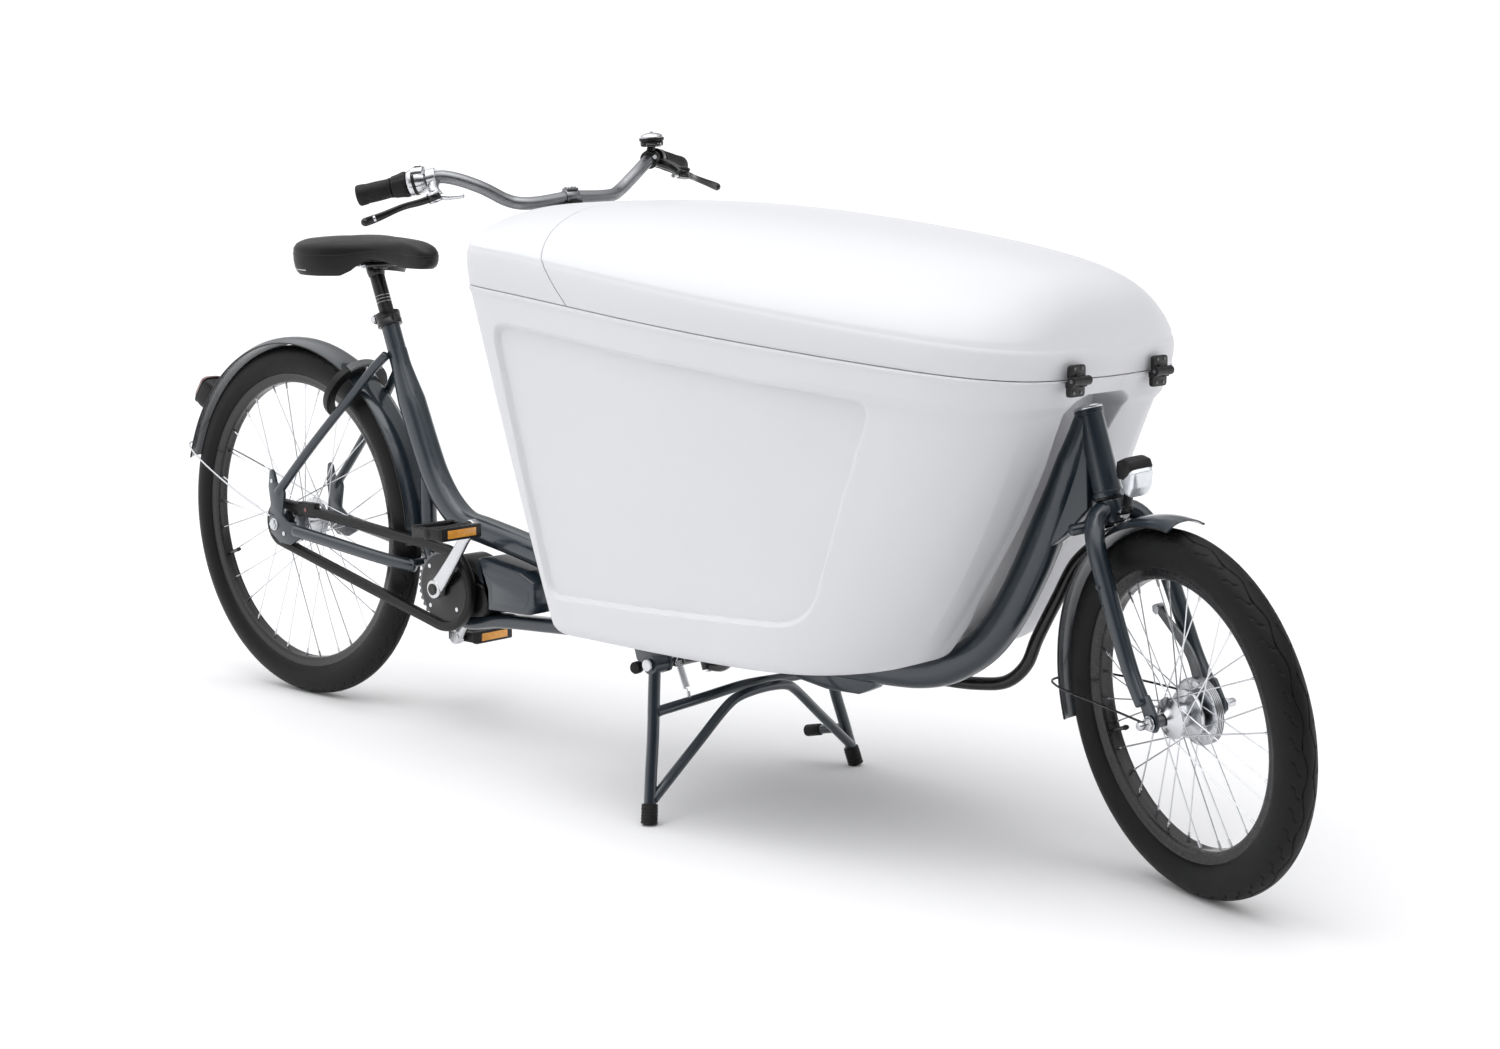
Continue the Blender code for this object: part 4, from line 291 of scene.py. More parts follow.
def lathe(profile, sides=48, centre=(0, 0, 0), direction=(0, 1, 0), closed=False, start=0.0, ripple=None):
    """A profile of (radius, distance along) turned about an axis. ripple(angle, index) scales the radius."""
    c = np.array(tuple(centre), float)
    d = unit(direction)
    ref = np.array((1.0, 0, 0)) if abs(d[0]) < 0.9 else np.array((0, 0, 1.0))
    u = unit(ref - d * np.dot(ref, d))
    v = np.cross(u, d)
    verts, faces = [], []
    m = len(profile)
    for k in range(sides):
        t = start + 2 * math.pi * k / sides
        e = u * math.cos(t) + v * math.sin(t)
        for j, (r, y) in enumerate(profile):
            rr = r * (ripple(t, j) if ripple else 1.0)
            verts.append(c + e * rr + d * y)
    for k in range(sides):
        nk = (k + 1) % sides
        for j in range(m if closed else m - 1):
            nj = (j + 1) % m
            faces.append((k * m + j, k * m + nj, nk * m + nj, nk * m + j))
    if not closed:
        faces.append(tuple(k * m for k in range(sides)))
        faces.append(tuple(k * m + m - 1 for k in range(sides))[::-1])
    return np.array(verts), faces


def rounded(outline, r, steps=4):
    """A closed 2-D outline with its corners rounded."""
    out = []
    n = len(outline)
    for i in range(n):
        a, b, c = (np.array(outline[k % n], float) for k in (i - 1, i, i + 1))
        rr = r[i] if hasattr(r, "__len__") else r
        la, lc = np.linalg.norm(a - b), np.linalg.norm(c - b)
        ua, uc = (a - b) / la, (c - b) / lc
        cosang = np.clip(np.dot(ua, uc), -1, 1)
        half = math.acos(cosang) / 2
        cutd = min(rr / max(1e-6, math.tan(half)), la * 0.48, lc * 0.48)
        p, q = b + ua * cutd, b + uc * cutd
        for k in range(steps + 1):
            t = k / steps
            out.append(tuple((1 - t) ** 2 * p + 2 * t * (1 - t) * b + t**2 * q))
    return out


def plate(outline, y0, y1, bevel=0.001, corner=0.0, to_xyz=None):
    """A plate between two y planes with eased edges; the outline is (x, z)."""
    pts = rounded(outline, corner) if corner else list(outline)
    p = np.array(pts, float)
    n = len(p)
    area = sum(p[i][0] * p[(i + 1) % n][1] - p[(i + 1) % n][0] * p[i][1] for i in range(n))
    nxt, prv = np.roll(p, -1, 0), np.roll(p, 1, 0)
    t = nxt - prv
    t /= np.maximum(1e-9, np.linalg.norm(t, axis=1))[:, None]
    nrm = np.stack([t[:, 1], -t[:, 0]], 1) * (1 if area > 0 else -1)
    rows = []
    lo, hi = min(y0, y1), max(y0, y1)
    b = min(bevel, (hi - lo) / 2.01)
    for y, ins in ((lo, b), (lo + b * 0.3, b * 0.3), (lo + b, 0.0), (hi - b, 0.0), (hi - b * 0.3, b * 0.3), (hi, b)):
        q = p - nrm * ins
        rows.append(np.stack([q[:, 0], np.full(n, y), q[:, 1]], 1))
    faces = []
    m = len(rows)
    for i in range(m - 1):
        for k in range(n):
            j = (k + 1) % n
            faces.append((i * n + k, i * n + j, (i + 1) * n + j, (i + 1) * n + k))
    faces.append(tuple(range(n))[::-1])
    faces.append(tuple((m - 1) * n + k for k in range(n)))
    v = np.vstack(rows)
    if to_xyz is not None:
        v = np.array([tuple(to_xyz @ Vector(q)) for q in v])
    return v, faces


def block(lo, hi, bevel=0.0015, corner=None):
    c = corner if corner is not None else bevel * 1.2
    return plate([(lo[0], lo[2]), (hi[0], lo[2]), (hi[0], hi[2]), (lo[0], hi[2])], lo[1], hi[1], bevel, c)


def ball(centre, r, squash=(1, 1, 1), seg=24, rings=14):
    verts, faces = [], []
    c = np.array(tuple(centre), float)
    for i in range(rings + 1):
        a = -math.pi / 2 + math.pi * (i + 0.02) / (rings + 0.04)
        for k in range(seg):
            t = 2 * math.pi * k / seg
            verts.append(c + np.array((r * math.cos(a) * math.cos(t) * squash[0], r * math.cos(a) * math.sin(t) * squash[1], r * math.sin(a) * squash[2])))
    for i in range(rings):
        for k in range(seg):
            q = (k + 1) % seg
            faces.append((i * seg + k, i * seg + q, (i + 1) * seg + q, (i + 1) * seg + k))
    faces.append(tuple(range(seg))[::-1])
    faces.append(tuple(rings * seg + k for k in range(seg)))
    return np.array(verts), faces


def sheet_arc(centre, radius, half_w, a0, a1, steps=90, drop=0.010, thick=0.0016, across=14, power=2.6, taper=0.0):
    """A mudguard sheet: an arc about a wheel's centre whose sides roll down, with thickness."""
    verts, faces = [], []
    c = np.array(tuple(centre), float)
    ys = np.linspace(-1, 1, across + 1)
    for i in range(steps + 1):
        t = math.radians(a0 + (a1 - a0) * i / steps)
        e = np.array((math.cos(t), 0, math.sin(t)))
        end = min(1.0, min(i, steps - i) / (steps * 0.02) * 0.5 + 0.5) if taper else 1.0
        hw = half_w * (1 - taper * (1 - end))
        outer = [c + e * (radius - drop * abs(q) ** power) + np.array((0, hw * q, 0)) for q in ys]
        inner = [c + e * (radius - thick - drop * abs(q) ** power) + np.array((0, (hw - thick) * q, 0)) for q in ys[::-1]]
        verts += outer + inner
    m = 2 * (across + 1)
    for i in range(steps):
        for j in range(m):
            nj = (j + 1) % m
            faces.append((i * m + j, i * m + nj, (i + 1) * m + nj, (i + 1) * m + j))
    faces.append(tuple(range(m))[::-1])
    faces.append(tuple(steps * m + j for j in range(m)))
    return np.array(verts), faces


def piece(name, body, parts, matrix=T_FRAME, replaces=(), sharp=38.0, subsurf=0, recalc=True):
    """One object from several shapes, each with its material: parts is a list of (shape, material key)."""
    keys = []
    for _, key in parts:
        if key not in keys:
            keys.append(key)
    verts, faces, mats, base = [], [], [], 0
    for (v, f), key in parts:
        verts.append(np.asarray(v, float))
        faces += [tuple(base + i for i in face) for face in f]
        mats += [keys.index(key)] * len(f)
        base += len(v)
    mesh = bpy.data.meshes.new(name)
    mesh.from_pydata(np.vstack(verts).tolist(), [], faces)
    for key in keys:
        mesh.materials.append(M[key])
    mesh.polygons.foreach_set("material_index", mats)
    mesh.transform(matrix)
    if recalc:
        bm = bmesh.new()
        bm.from_mesh(mesh)
        bmesh.ops.remove_doubles(bm, verts=bm.verts, dist=1e-6)
        bmesh.ops.recalc_face_normals(bm, faces=bm.faces)
        bm.to_mesh(mesh)
        bm.free()
    mesh.shade_smooth()
    mesh.set_sharp_from_angle(angle=math.radians(sharp))
    obj = bpy.data.objects.new(name, mesh)
    bpy.context.scene.collection.objects.link(obj)
    if subsurf:
        mod = obj.modifiers.new("smooth", "SUBSURF")
        mod.levels = mod.render_levels = subsurf
    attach(obj, body)
    if replaces:
        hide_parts(*replaces)
    return obj


def paint_node(name, key):
    mesh = nodes[name].data
    mesh.materials.clear()
    mesh.materials.append(M[key])


# ---------------------------------------------------------------- wheels
def tyre(centre, radius, width, bead, seg, waves):
    """A tyre with a rounded section: two waving grooves by the crown and slanted notches on the shoulders, cut as real relief."""
    h = width / 2
    rc = (bead + 0.766 * (radius - 0.0006)) / 1.766
    rad = radius - 0.0004 - rc
    phi = np.concatenate([np.linspace(-140, -62, 9, endpoint=False), np.linspace(-62, 62, 63), np.linspace(62, 140, 10)[1:]])
    ph = np.radians(phi)
    n = len(ph)
    theta = np.linspace(0, 2 * np.pi, seg, endpoint=False)
    T, P = np.meshgrid(theta, ph, indexing="ij")
    deg = np.degrees(P)
    depth = np.zeros_like(P)
    for sgn in (1, -1):
        line = sgn * (15.0 + 5.5 * np.sin(waves * T + (0.9 if sgn > 0 else 0.0)))
        depth = np.maximum(depth, np.clip(1.0 - (np.abs(deg - line) / 2.3) ** 2, 0, 1))
        # slanted shoulder notches, each with a short kink
        s = np.clip((sgn * deg - 26.0) / 27.0, 0, 1)
        inside = ((sgn * deg > 25.0) & (sgn * deg < 54.0)).astype(float)
        pitch = 2 * np.pi / (waves * 2)
        local = ((T - 0.30 * pitch * s - 0.16 * pitch * np.tanh((s - 0.5) * 14)) / pitch) % 1.0
        arc = np.abs(local - 0.5) * pitch * radius
        depth = np.maximum(depth, inside * np.clip(1.0 - (arc / 0.0016) ** 2, 0, 1) * np.clip(np.minimum(sgn * deg - 25.0, 54.0 - sgn * deg) / 3.0, 0, 1))
    band = np.exp(-((np.abs(deg) - 76.0) / 1.6) ** 2) * 0.0004 + np.exp(-((np.abs(deg) - 104.0) / 1.4) ** 2) * 0.0004
    rr = rad - depth * 0.0020 + band
    R = rc + rr * np.cos(P)
    Y = h * np.sin(P) * (rr / rad)
    X = centre.x + R * np.cos(T)
    Z = centre.z + R * np.sin(T)
    verts = np.stack([X, centre.y + Y, Z], axis=2).reshape(-1, 3)
    faces = []
    for i in range(seg):
        j = (i + 1) % seg
        for k in range(n):
            q = (k + 1) % n
            faces.append((i * n + k, i * n + q, j * n + q, j * n + k))
    return verts, faces


def rim(centre, inner, bead, half):
    prof = [(inner + 0.0010, half * 0.30), (inner + 0.0003, half * 0.55), (inner + 0.0018, half * 0.78), (inner + 0.0060, half * 0.93), (bead - 0.010, half * 0.97), (bead - 0.003, half * 1.0),
            (bead + 0.0004, half * 1.12), (bead + 0.0026, half * 1.16), (bead + 0.0034, half * 1.06), (bead + 0.0024, half * 0.93), (bead - 0.004, half * 0.85)]
    prof = prof + [(r, -y) for r, y in prof[::-1]]
    return lathe(prof, 128, centre, closed=True)


def spokes(centre, flange_y, flange_r, rim_r, phase):
    shapes, nipples = [], []
    c = np.array(tuple(centre))
    for k in range(32):
        side = 1 if k % 2 else -1
        pair = (k // 2) % 2
        t_rim = phase + 2 * math.pi * (k + 0.5) / 32
        t_hub = t_rim + math.radians(62) * (1 if pair else -1)
        y_f = flange_y[0] if side > 0 else flange_y[1]
        off = 0.0014 * (1 if pair else -1)
        a = c + np.array(((flange_r - 0.003) * math.cos(t_hub), y_f + off, (flange_r - 0.003) * math.sin(t_hub)))
        b = c + np.array(((rim_r + 0.0005) * math.cos(t_rim), 0.0035 * side, (rim_r + 0.0005) * math.sin(t_rim)))
        d = unit(b - a)
        shapes.append(rod(a, b, 0.00105, 8))
        shapes.append(rod(a - np.array((0, off * 2.2, 0)), a + np.array((0, off * 0.6, 0)), 0.0016, 8))
        nipples.append(rod(b - d * 0.0115, b + d * 0.0006, 0.0019, 8, 0.0024))
    return shapes, nipples


def wheel_set(name, body, centre, radius, width, bead, rim_r, rim_half, hub_parts, flange_y, flange_r, phase, matrix, waves, seg, tyre_node, rim_node, hub_node):
    valve_t = math.radians(200)
    e = np.array((math.cos(valve_t), 0, math.sin(valve_t)))
    v0 = np.array(tuple(centre)) + e * (rim_r + 0.001)
    piece(name + "_tyre_skin", body, [(tyre(centre, radius, width, bead - 0.001, seg, waves), "tyre")], matrix, (tyre_node,), sharp=60)
    piece(name + "_rim_skin", body, [(rim(centre, rim_r, bead, rim_half), "rim"), (rod(v0, v0 - e * 0.030, 0.0030, 12), "dark_steel"), (rod(v0 - e * 0.030, v0 - e * 0.036, 0.0040, 12, 0.0030), "plastic")],
          matrix, (rim_node,))
    sp, nip = spokes(centre, flange_y, flange_r, rim_r, phase)
    piece(name + "_hub_set", body, [(s, "spoke") for s in sp] + [(s, "silver") for s in nip] + hub_parts, matrix, (hub_node,))


rear_hub = [
    (lathe([(0.0062, -0.0432), (0.0155, -0.0432), (0.0160, -0.0420), (0.0175, -0.0330), (0.0280, -0.0245), (0.0330, -0.0225), (0.0400, -0.0215), (0.0405, -0.0200), (0.0400, -0.0186), (0.0320, -0.0178),
            (0.0300, -0.0150), (0.0296, 0.0), (0.0300, 0.0188), (0.0320, 0.0218), (0.0400, 0.0226), (0.0405, 0.0240), (0.0400, 0.0254), (0.0320, 0.0262), (0.0240, 0.0280), (0.0180, 0.0300), (0.0150, 0.0400), (0.0110, 0.0500), (0.0062, 0.0512)], 64, AXLE_R), "silver"),
]
wheel_set("rear", "rear_wheel", AXLE_R, REAR_R, REAR_TYRE_W, REAR_BEAD, REAR_RIM_R, 0.0135, rear_hub, (0.024, -0.020), 0.040, math.radians(2.8), T_FRAME, 30, 960, "rear_tyre", "rear_rim", "rear_hub_spokes")
front_hub = [
    (lathe([(0.0060, -0.0398), (0.0115, -0.0398), (0.0122, -0.0385), (0.0165, -0.0335), (0.0200, -0.0312), (0.0290, -0.0274), (0.0294, -0.0260), (0.0290, -0.0246), (0.0200, -0.0226), (0.0172, -0.0195),
            (0.0168, -0.0120), (0.0172, -0.0045), (0.0240, -0.0022), (0.0340, -0.0008), (0.0345, 0.0018), (0.0340, 0.0044), (0.0250, 0.0072), (0.0160, 0.0075), (0.0060, 0.0075)], 64, AXLE_F), "silver"),
]
wheel_set("front", "front_wheel", AXLE_F, FRONT_R, FRONT_TYRE_W, FRONT_BEAD, FRONT_RIM_R, 0.0150, front_hub, (0.0018, -0.026), 0.029, 0.0, T_FORK, 24, 840, "front_tyre", "front_rim", "front_hub_spokes")

axle_shapes = []
for s in (-1, 1):
    axle_shapes += [(rod(AXLE_R + Vector((0, 0.040 * s, 0)), AXLE_R + Vector((0, 0.0775 * s, 0)), 0.0050, 24), "silver"),
                    (lathe([(0.0088, 0.0714 * s), (0.0094, 0.0722 * s), (0.0094, 0.0758 * s), (0.0080, 0.0768 * s)], 6, AXLE_R), "silver"),
                    (lathe([(0.0115, 0.0712 * s), (0.0115, 0.0722 * s)], 32, AXLE_R), "silver"),
                    (lathe([(0.0088, 0.0525 * s), (0.0088, 0.0640 * s)], 24, AXLE_R), "dark_steel")]
piece("rear_axle_set", "frame", axle_shapes, T_FRAME, ("rear_axle",), sharp=30)
axle_shapes = []
for s in (-1, 1):
    axle_shapes += [(rod(AXLE_F + Vector((0, 0.0385 * s, 0)), AXLE_F + Vector((0, 0.0660 * s, 0)), 0.0050, 24), "silver"),
                    (lathe([(0.0088, 0.0626 * s), (0.0094, 0.0634 * s), (0.0094, 0.0664 * s), (0.0080, 0.0674 * s)], 6, AXLE_F), "silver"),
                    (lathe([(0.0110, 0.0612 * s), (0.0110, 0.0624 * s)], 32, AXLE_F), "silver"),
                    (lathe([(0.0050, 0.0650 * s), (0.0062, 0.0662 * s), (0.0062, 0.0780 * s), (0.0052, 0.0798 * s), (0.002, 0.0802 * s)], 24, AXLE_F), "silver"),
                    (lathe([(0.0085, 0.0415 * s), (0.0085, 0.0525 * s)], 24, AXLE_F), "dark_steel")]
piece("front_axle_set", "fork", axle_shapes, T_FORK, ("front_axle",), sharp=30)

fins = [(0.0060, 0.0135), (0.0420, 0.0135), (0.0445, 0.0142)]
for k in range(5):
    y = 0.0150 + 0.0028 * k
    fins += [(0.0470, y), (0.0470, y + 0.0013), (0.0425, y + 0.0015), (0.0425, y + 0.0026)]
fins += [(0.0400, 0.0300), (0.0330, 0.0330), (0.0255, 0.0365), (0.0240, 0.0370), (0.0060, 0.0372)]
arm_top = Vector((head_x(0.380) + 0.004, 0.034, 0.380))
arm = tube(cr([AXLE_F + Vector((-0.006, 0.031, 0.020)), AXLE_F + Vector((-0.030, 0.034, 0.070)), arm_top], 16), lambda t: (0.011 - 0.005 * t, 0.0032), 20, (0, 1, 0), 4.0, dome=0.003)
piece("front_brake_set", "fork", [(lathe(fins, 72, AXLE_F), "silver"), (arm, "dark_steel"), (rod(arm_top - Vector((0, 0.006, 0)), arm_top + Vector((0, 0.0065, 0)), 0.0078, 6), "silver"),
      (lathe([(0.0100, 0.0370), (0.0100, 0.0388), (0.0085, 0.0392)], 6, AXLE_F), "dark_steel")], T_FORK, ("front_brake",), sharp=30)


# ---------------------------------------------------------------- fork and its guard
def fork_leg(side):
    pts = [(0.000, 0.012, 0.522), (0.006, 0.034, 0.512), (0.014, 0.0475, 0.487), (0.021, 0.051, 0.435), (0.0280, 0.053, 0.377), (0.0370, 0.0545, 0.318), (0.0500, 0.0555, 0.279)]
    return tube(cr([(head_x(z) + x, y * side, z) for x, y, z in pts], 44), lambda t: (0.0140 - 0.0030 * t, 0.0150 - 0.0040 * t), 28, (1, 0, 0), dome=0.003)


def fork_tip(side):
    x, z = AXLE_F.x, AXLE_F.z
    pts = [(x - 0.030, z + 0.034), (x - 0.006, z + 0.038), (x + 0.010, z + 0.012), (x + 0.013, z - 0.004), (x + 0.007, z - 0.013), (x - 0.007, z - 0.013), (x - 0.014, z - 0.002)]
    return plate(pts, 0.0530 * side, 0.0585 * side, 0.0012, 0.006)


def on_axis(z):
    return Vector((head_x(z), 0, z))


arm_base = on_axis(0.505)
fwd = Vector((math.cos(HEAD_TILT), 0, math.sin(HEAD_TILT)))


def off_head(dx, dy, dz):
    return arm_base + fwd * dx + Vector((0, dy, 0)) + AXIS * dz


fork_parts = [(rod(on_axis(0.510), on_axis(0.652), 0.0145, 32), "dark_steel"),
              (lathe([(0.0150, -0.0190), (0.0190, -0.0165), (0.0197, -0.0120), (0.0197, 0.0120), (0.0190, 0.0150), (0.0150, 0.0160)], 40, on_axis(0.5185), AXIS), "slate"),
              (fork_leg(1), "slate"), (fork_leg(-1), "slate"), (fork_tip(1), "slate"), (fork_tip(-1), "slate"),
              (rod(off_head(-0.004, -0.004, 0.0), off_head(-0.026, -0.054, 0.0), 0.0085, 24, dome=0.006), "slate"),
              (rod(off_head(-0.004, 0.010, 0.0), off_head(-0.038, 0.060, 0.0), 0.0075, 24), "slate"),
              (rod(off_head(-0.038, 0.060, -0.0075), off_head(-0.038, 0.060, 0.0085), 0.0115, 28), "slate"),
              (rod(off_head(-0.038, 0.060, 0.0085), off_head(-0.038, 0.060, 0.0110), 0.0070, 6), "silver")]
for s in (-1, 1):
    at = Vector((head_x(0.430) + 0.0210, 0.0665 * s, 0.430))
    fork_parts.append((rod(at - Vector((0, 0.006 * s, 0)), at, 0.0042, 16, 0.0036), "slate"))
piece("fork_skin", "fork", fork_parts, T_FORK, ("fork",))
# lower head ring
piece("head_ring_low", "fork", [(lathe([(0.0150, 0.0), (0.0205, 0.0), (0.0222, 0.0012), (0.0222, 0.0035), (0.0195, 0.0040)], 48, on_axis(0.5335), AXIS), "black_metal")], T_FORK, ())

guard_centre = AXLE_F
gp = [(sheet_arc(AXLE_F, 0.2740, 0.0305, 85, 193, 110, 0.0105, 0.0018, 18), "slate")]
for s in (-1, 1):
    edge = [AXLE_F + Vector((0.2632 * math.cos(math.radians(a)), 0.0303 * s, 0.2632 * math.sin(math.radians(a)))) for a in np.linspace(85, 193, 60)]
    gp.append((tube(edge, 0.0014, 10, (0, 1, 0), dome=0.001), "black_metal"))
tail_t = math.radians(193)
gp.append((tube([AXLE_F + Vector(((0.2738 - 0.0105 * abs(q) ** 2.6) * math.cos(tail_t), 0.0303 * q, (0.2738 - 0.0105 * abs(q) ** 2.6) * math.sin(tail_t))) for q in np.linspace(-1, 1, 19)], 0.0015, 10, (0, 0, 1)), "black_metal"))
piece("front_mudguard_skin", "fork", gp, T_FORK, ("front_mudguard",))
tail = AXLE_F + Vector((0.2785 * math.cos(math.radians(181)), 0, 0.2785 * math.sin(math.radians(181))))
stay_pts = [(AXLE_F.x - 0.012, -0.0630, AXLE_F.z - 0.001), (AXLE_F.x - 0.10, -0.0600, AXLE_F.z), (tail.x + 0.03, -0.0440, tail.z), (tail.x - 0.0015, -0.030, tail.z), (tail.x - 0.0022, 0.0, tail.z),
            (tail.x - 0.0015, 0.030, tail.z), (tail.x + 0.03, 0.0440, tail.z), (AXLE_F.x - 0.10, 0.0600, AXLE_F.z), (AXLE_F.x - 0.012, 0.0630, AXLE_F.z - 0.001)]
piece("front_stay_wire", "fork", [(tube(cr(stay_pts, 90), 0.0017, 12), "black_metal")], T_FORK, ("front_mudguard_stay",))

# ---------------------------------------------------------------- headlight
LAMP = Vector((head_x(0.577) + 0.079, 0.0, 0.577))
LAMP_PIVOT = Vector((LAMP.x - 0.0185, 0.0, LAMP.z - 0.0235))
bolt_at = Vector((head_x(0.518) + 0.0235, 0.0, 0.518))
brk = tube(cr([bolt_at, bolt_at + Vector((0.012, 0, 0.004)), Vector((LAMP.x - 0.026, 0, 0.532)), LAMP_PIVOT], 28), (0.009, 0.0022), 20, power=4.0)
piece("headlight_bracket_skin", "fork", [(brk, "black_metal"), (lathe([(0.0085, -0.004), (0.0090, -0.003), (0.0090, 0.003), (0.0080, 0.0045)], 6, bolt_at + Vector((0.002, 0, 0)), (1, 0, 0.2)), "silver"),
      (rod(LAMP_PIVOT - Vector((0, 0.0115, 0)), LAMP_PIVOT + Vector((0, 0.0115, 0)), 0.0050, 24), "silver")], T_FORK, ("headlight_bracket",))


def lamp_shape(outline, half, crown, steps=9):
    """A lamp part: an outline of (x, z) carried across y, shrinking towards both sides so that it is rounded."""
    ring = rounded(outline, 0.004, 5)
    cx = sum(p[0] for p in ring) / len(ring)
    cz = sum(p[1] for p in ring) / len(ring)
    n = len(ring)
    verts, faces = [], []
    for i in range(2 * steps + 1):
        q = (i - steps) / steps
        k = (1 - abs(q) ** 4.0) ** 0.5 * (1 - crown) + crown if abs(q) < 1 else crown
        for x, z in ring:
            verts.append((LAMP.x + cx + (x - cx) * k, half * math.copysign(abs(q) ** 0.8, q), LAMP.z + cz + (z - cz) * k))
    for i in range(2 * steps):
        for k in range(n):
            m = (k + 1) % n
            faces.append((i * n + k, i * n + m, (i + 1) * n + m, (i + 1) * n + k))
    faces.append(tuple(range(n))[::-1])
    faces.append(tuple(2 * steps * n + k for k in range(n)))
    return np.array(verts), faces


hood = lamp_shape([(-0.021, 0.006), (-0.018, 0.020), (-0.004, 0.0255), (0.012, 0.0225), (0.017, 0.012), (0.008, 0.002), (-0.004, -0.006), (-0.019, -0.006)], 0.0200, 0.72)
glass = lamp_shape([(-0.006, 0.008), (0.012, 0.016), (0.0195, 0.007), (0.0145, -0.015), (0.0045, -0.0295), (-0.0055, -0.0275), (-0.0125, -0.0125), (-0.016, 0.0)], 0.0180, 0.70)
lamp_parts = [(hood, "plastic"), (glass, "lens")]
for k in range(5):
    z = LAMP.z - 0.021 + 0.0066 * k
    x = LAMP.x + 0.0045 + (0.0031 * k if k < 4 else 0.0125)
    lamp_parts.append((rod((x, -0.0150, z), (x, 0.0150, z), 0.0011, 8), "silver"))
piece("headlight_skin", "headlight", lamp_parts, T_FORK, ("headlight",), sharp=50)

# ---------------------------------------------------------------- main frame
spine_pts = [(0.2905, 0.669), (0.310, 0.621), (0.337, 0.560), (0.361, 0.505), (0.390, 0.447), (0.426, 0.402), (0.470, 0.372), (0.520, 0.3630), (0.570, 0.3545), (0.620, 0.3455),
             (0.700, 0.328), (0.800, 0.297), (0.890, 0.264), (0.980, 0.245), (1.120, 0.242), (1.300, 0.242), (1.430, 0.242), (1.500, 0.247),
             (1.548, 0.260), (1.608, 0.296), (1.647, 0.340), (1.692, 0.418), (1.718, 0.473), (1.751, 0.545), (1.7725, 0.600), (1.7868, 0.646)]


def spine_size(t):
    w = 0.0172 + 0.0066 * min(1, max(0, (t - 0.015) / 0.035))
    h = w
    k = min(1, max(0, (t - 0.30) / 0.12))
    w += (0.0262 - w) * k
    h += (0.0270 - h) * k
    k = min(1, max(0, (t - 0.90) / 0.07))
    w, h = w + (0.0200 - w) * k, h + (0.0325 - h) * k
    k = min(1, max(0, (t - 0.965) / 0.035))
    return w + (0.0150 - w) * k, h + (0.0200 - h) * k


seat_dir = Vector((-math.sin(SEAT_TILT), 0, math.cos(SEAT_TILT)))
fp = [(tube(cr([(x, 0, z) for x, z in spine_pts], 180), spine_size, 40, (0, 1, 0), 2.35), "slate"),
      (rod(SEAT_CLAMP - seat_dir * 0.075, SEAT_CLAMP + seat_dir * 0.011, 0.0170, 36), "slate"),
      (rod(on_axis(0.5375), on_axis(0.657), 0.0205, 40, 0.0190), "slate"),
      (lathe([(0.0190, -0.004), (0.0222, -0.003), (0.0226, 0.0), (0.0226, 0.004), (0.0200, 0.0055)], 48, on_axis(0.5400), AXIS), "slate"),
      (lathe([(0.0185, -0.005), (0.0208, -0.004), (0.0210, 0.002), (0.0190, 0.004)], 48, on_axis(0.6530), AXIS), "slate"),
      (lathe([(0.0135, 0.0), (0.0200, 0.0), (0.0206, 0.0015), (0.0200, 0.0040), (0.0120, 0.0062), (0.0040, 0.0068)], 48, on_axis(0.6560), AXIS), "silver"),
      (tube(cr([(0.372, 0, 0.500), (0.366, 0, 0.42), (0.368, 0, 0.34), (0.384, 0, 0.272)], 40), 0.0150, 28, (1, 0, 0)), "slate"),
      (tube(cr([(0.395, 0, 0.222), (0.47, 0, 0.196), (0.56, 0, 0.207), (0.75, 0, 0.218), (0.95, 0, 0.230)], 60), (0.0125, 0.0210), 28, (0, 1, 0), 3.2), "slate"),
      (rod((column_x(0.207), 0, 0.207), (column_x(0.372), 0, 0.372), 0.0190, 36), "slate"),
      (rod((1.088, -0.176, 0.2435), (1.088, 0.176, 0.2435), 0.0135, 28), "slate"),
      (plate([(1.2400, 0.2260), (1.2600, 0.2040), (1.3200, 0.1955), (1.3850, 0.1965), (1.4080, 0.2070), (1.4200, 0.2260)], -0.0150, 0.0150, 0.002, 0.012), "slate"),
      (rod((1.0950, -0.1330, 0.2460), (1.1190, -0.1330, 0.2460), 0.0042, 16), "slate")]
for s in (-1, 1):
    fp += [(plate([(1.066, 0.260), (1.106, 0.264), (1.140, 0.256), (1.149, 0.243), (1.146, 0.228), (1.128, 0.2215), (1.096, 0.226), (1.074, 0.234)], 0.1740 * s, 0.1800 * s, 0.0012, 0.008), "slate"),
           (rod((STAND_PIVOT.x, 0.176 * s, STAND_PIVOT.z), (STAND_PIVOT.x, 0.2140 * s, STAND_PIVOT.z), 0.0055, 20), "silver"),
           (lathe([(0.0088, 0.2125 * s), (0.0095, 0.2132 * s), (0.0090, 0.2160 * s), (0.0060, 0.2172 * s)], 28, (STAND_PIVOT.x, 0, STAND_PIVOT.z)), "silver")]
for x in (1.02, 1.40):
    fp.append((block((x - 0.016, -0.115, 0.2610), (x + 0.016, 0.115, 0.2745)), "slate"))
# weld beads at the two ends of the upright tube
for a, b in (((0.372, 0, 0.498), 0.0162), ((0.3845, 0, 0.276), 0.0160)):
    fp.append((lathe([(b - 0.0030, -0.003), (b, 0.0), (b - 0.0030, 0.003)], 36, a, (0.1, 0, -1)), "slate"))
# the web between the spine's top and the head tube
fp.append((plate([(1.702, 0.432), (1.758, 0.476), (1.800, 0.518), (1.797, 0.590), (1.786, 0.638), (1.762, 0.590), (1.722, 0.500)], -0.0165, 0.0165, 0.004, 0.010), "slate"))
piece("main_frame_skin", "frame", fp, T_FRAME, ("main_frame",))

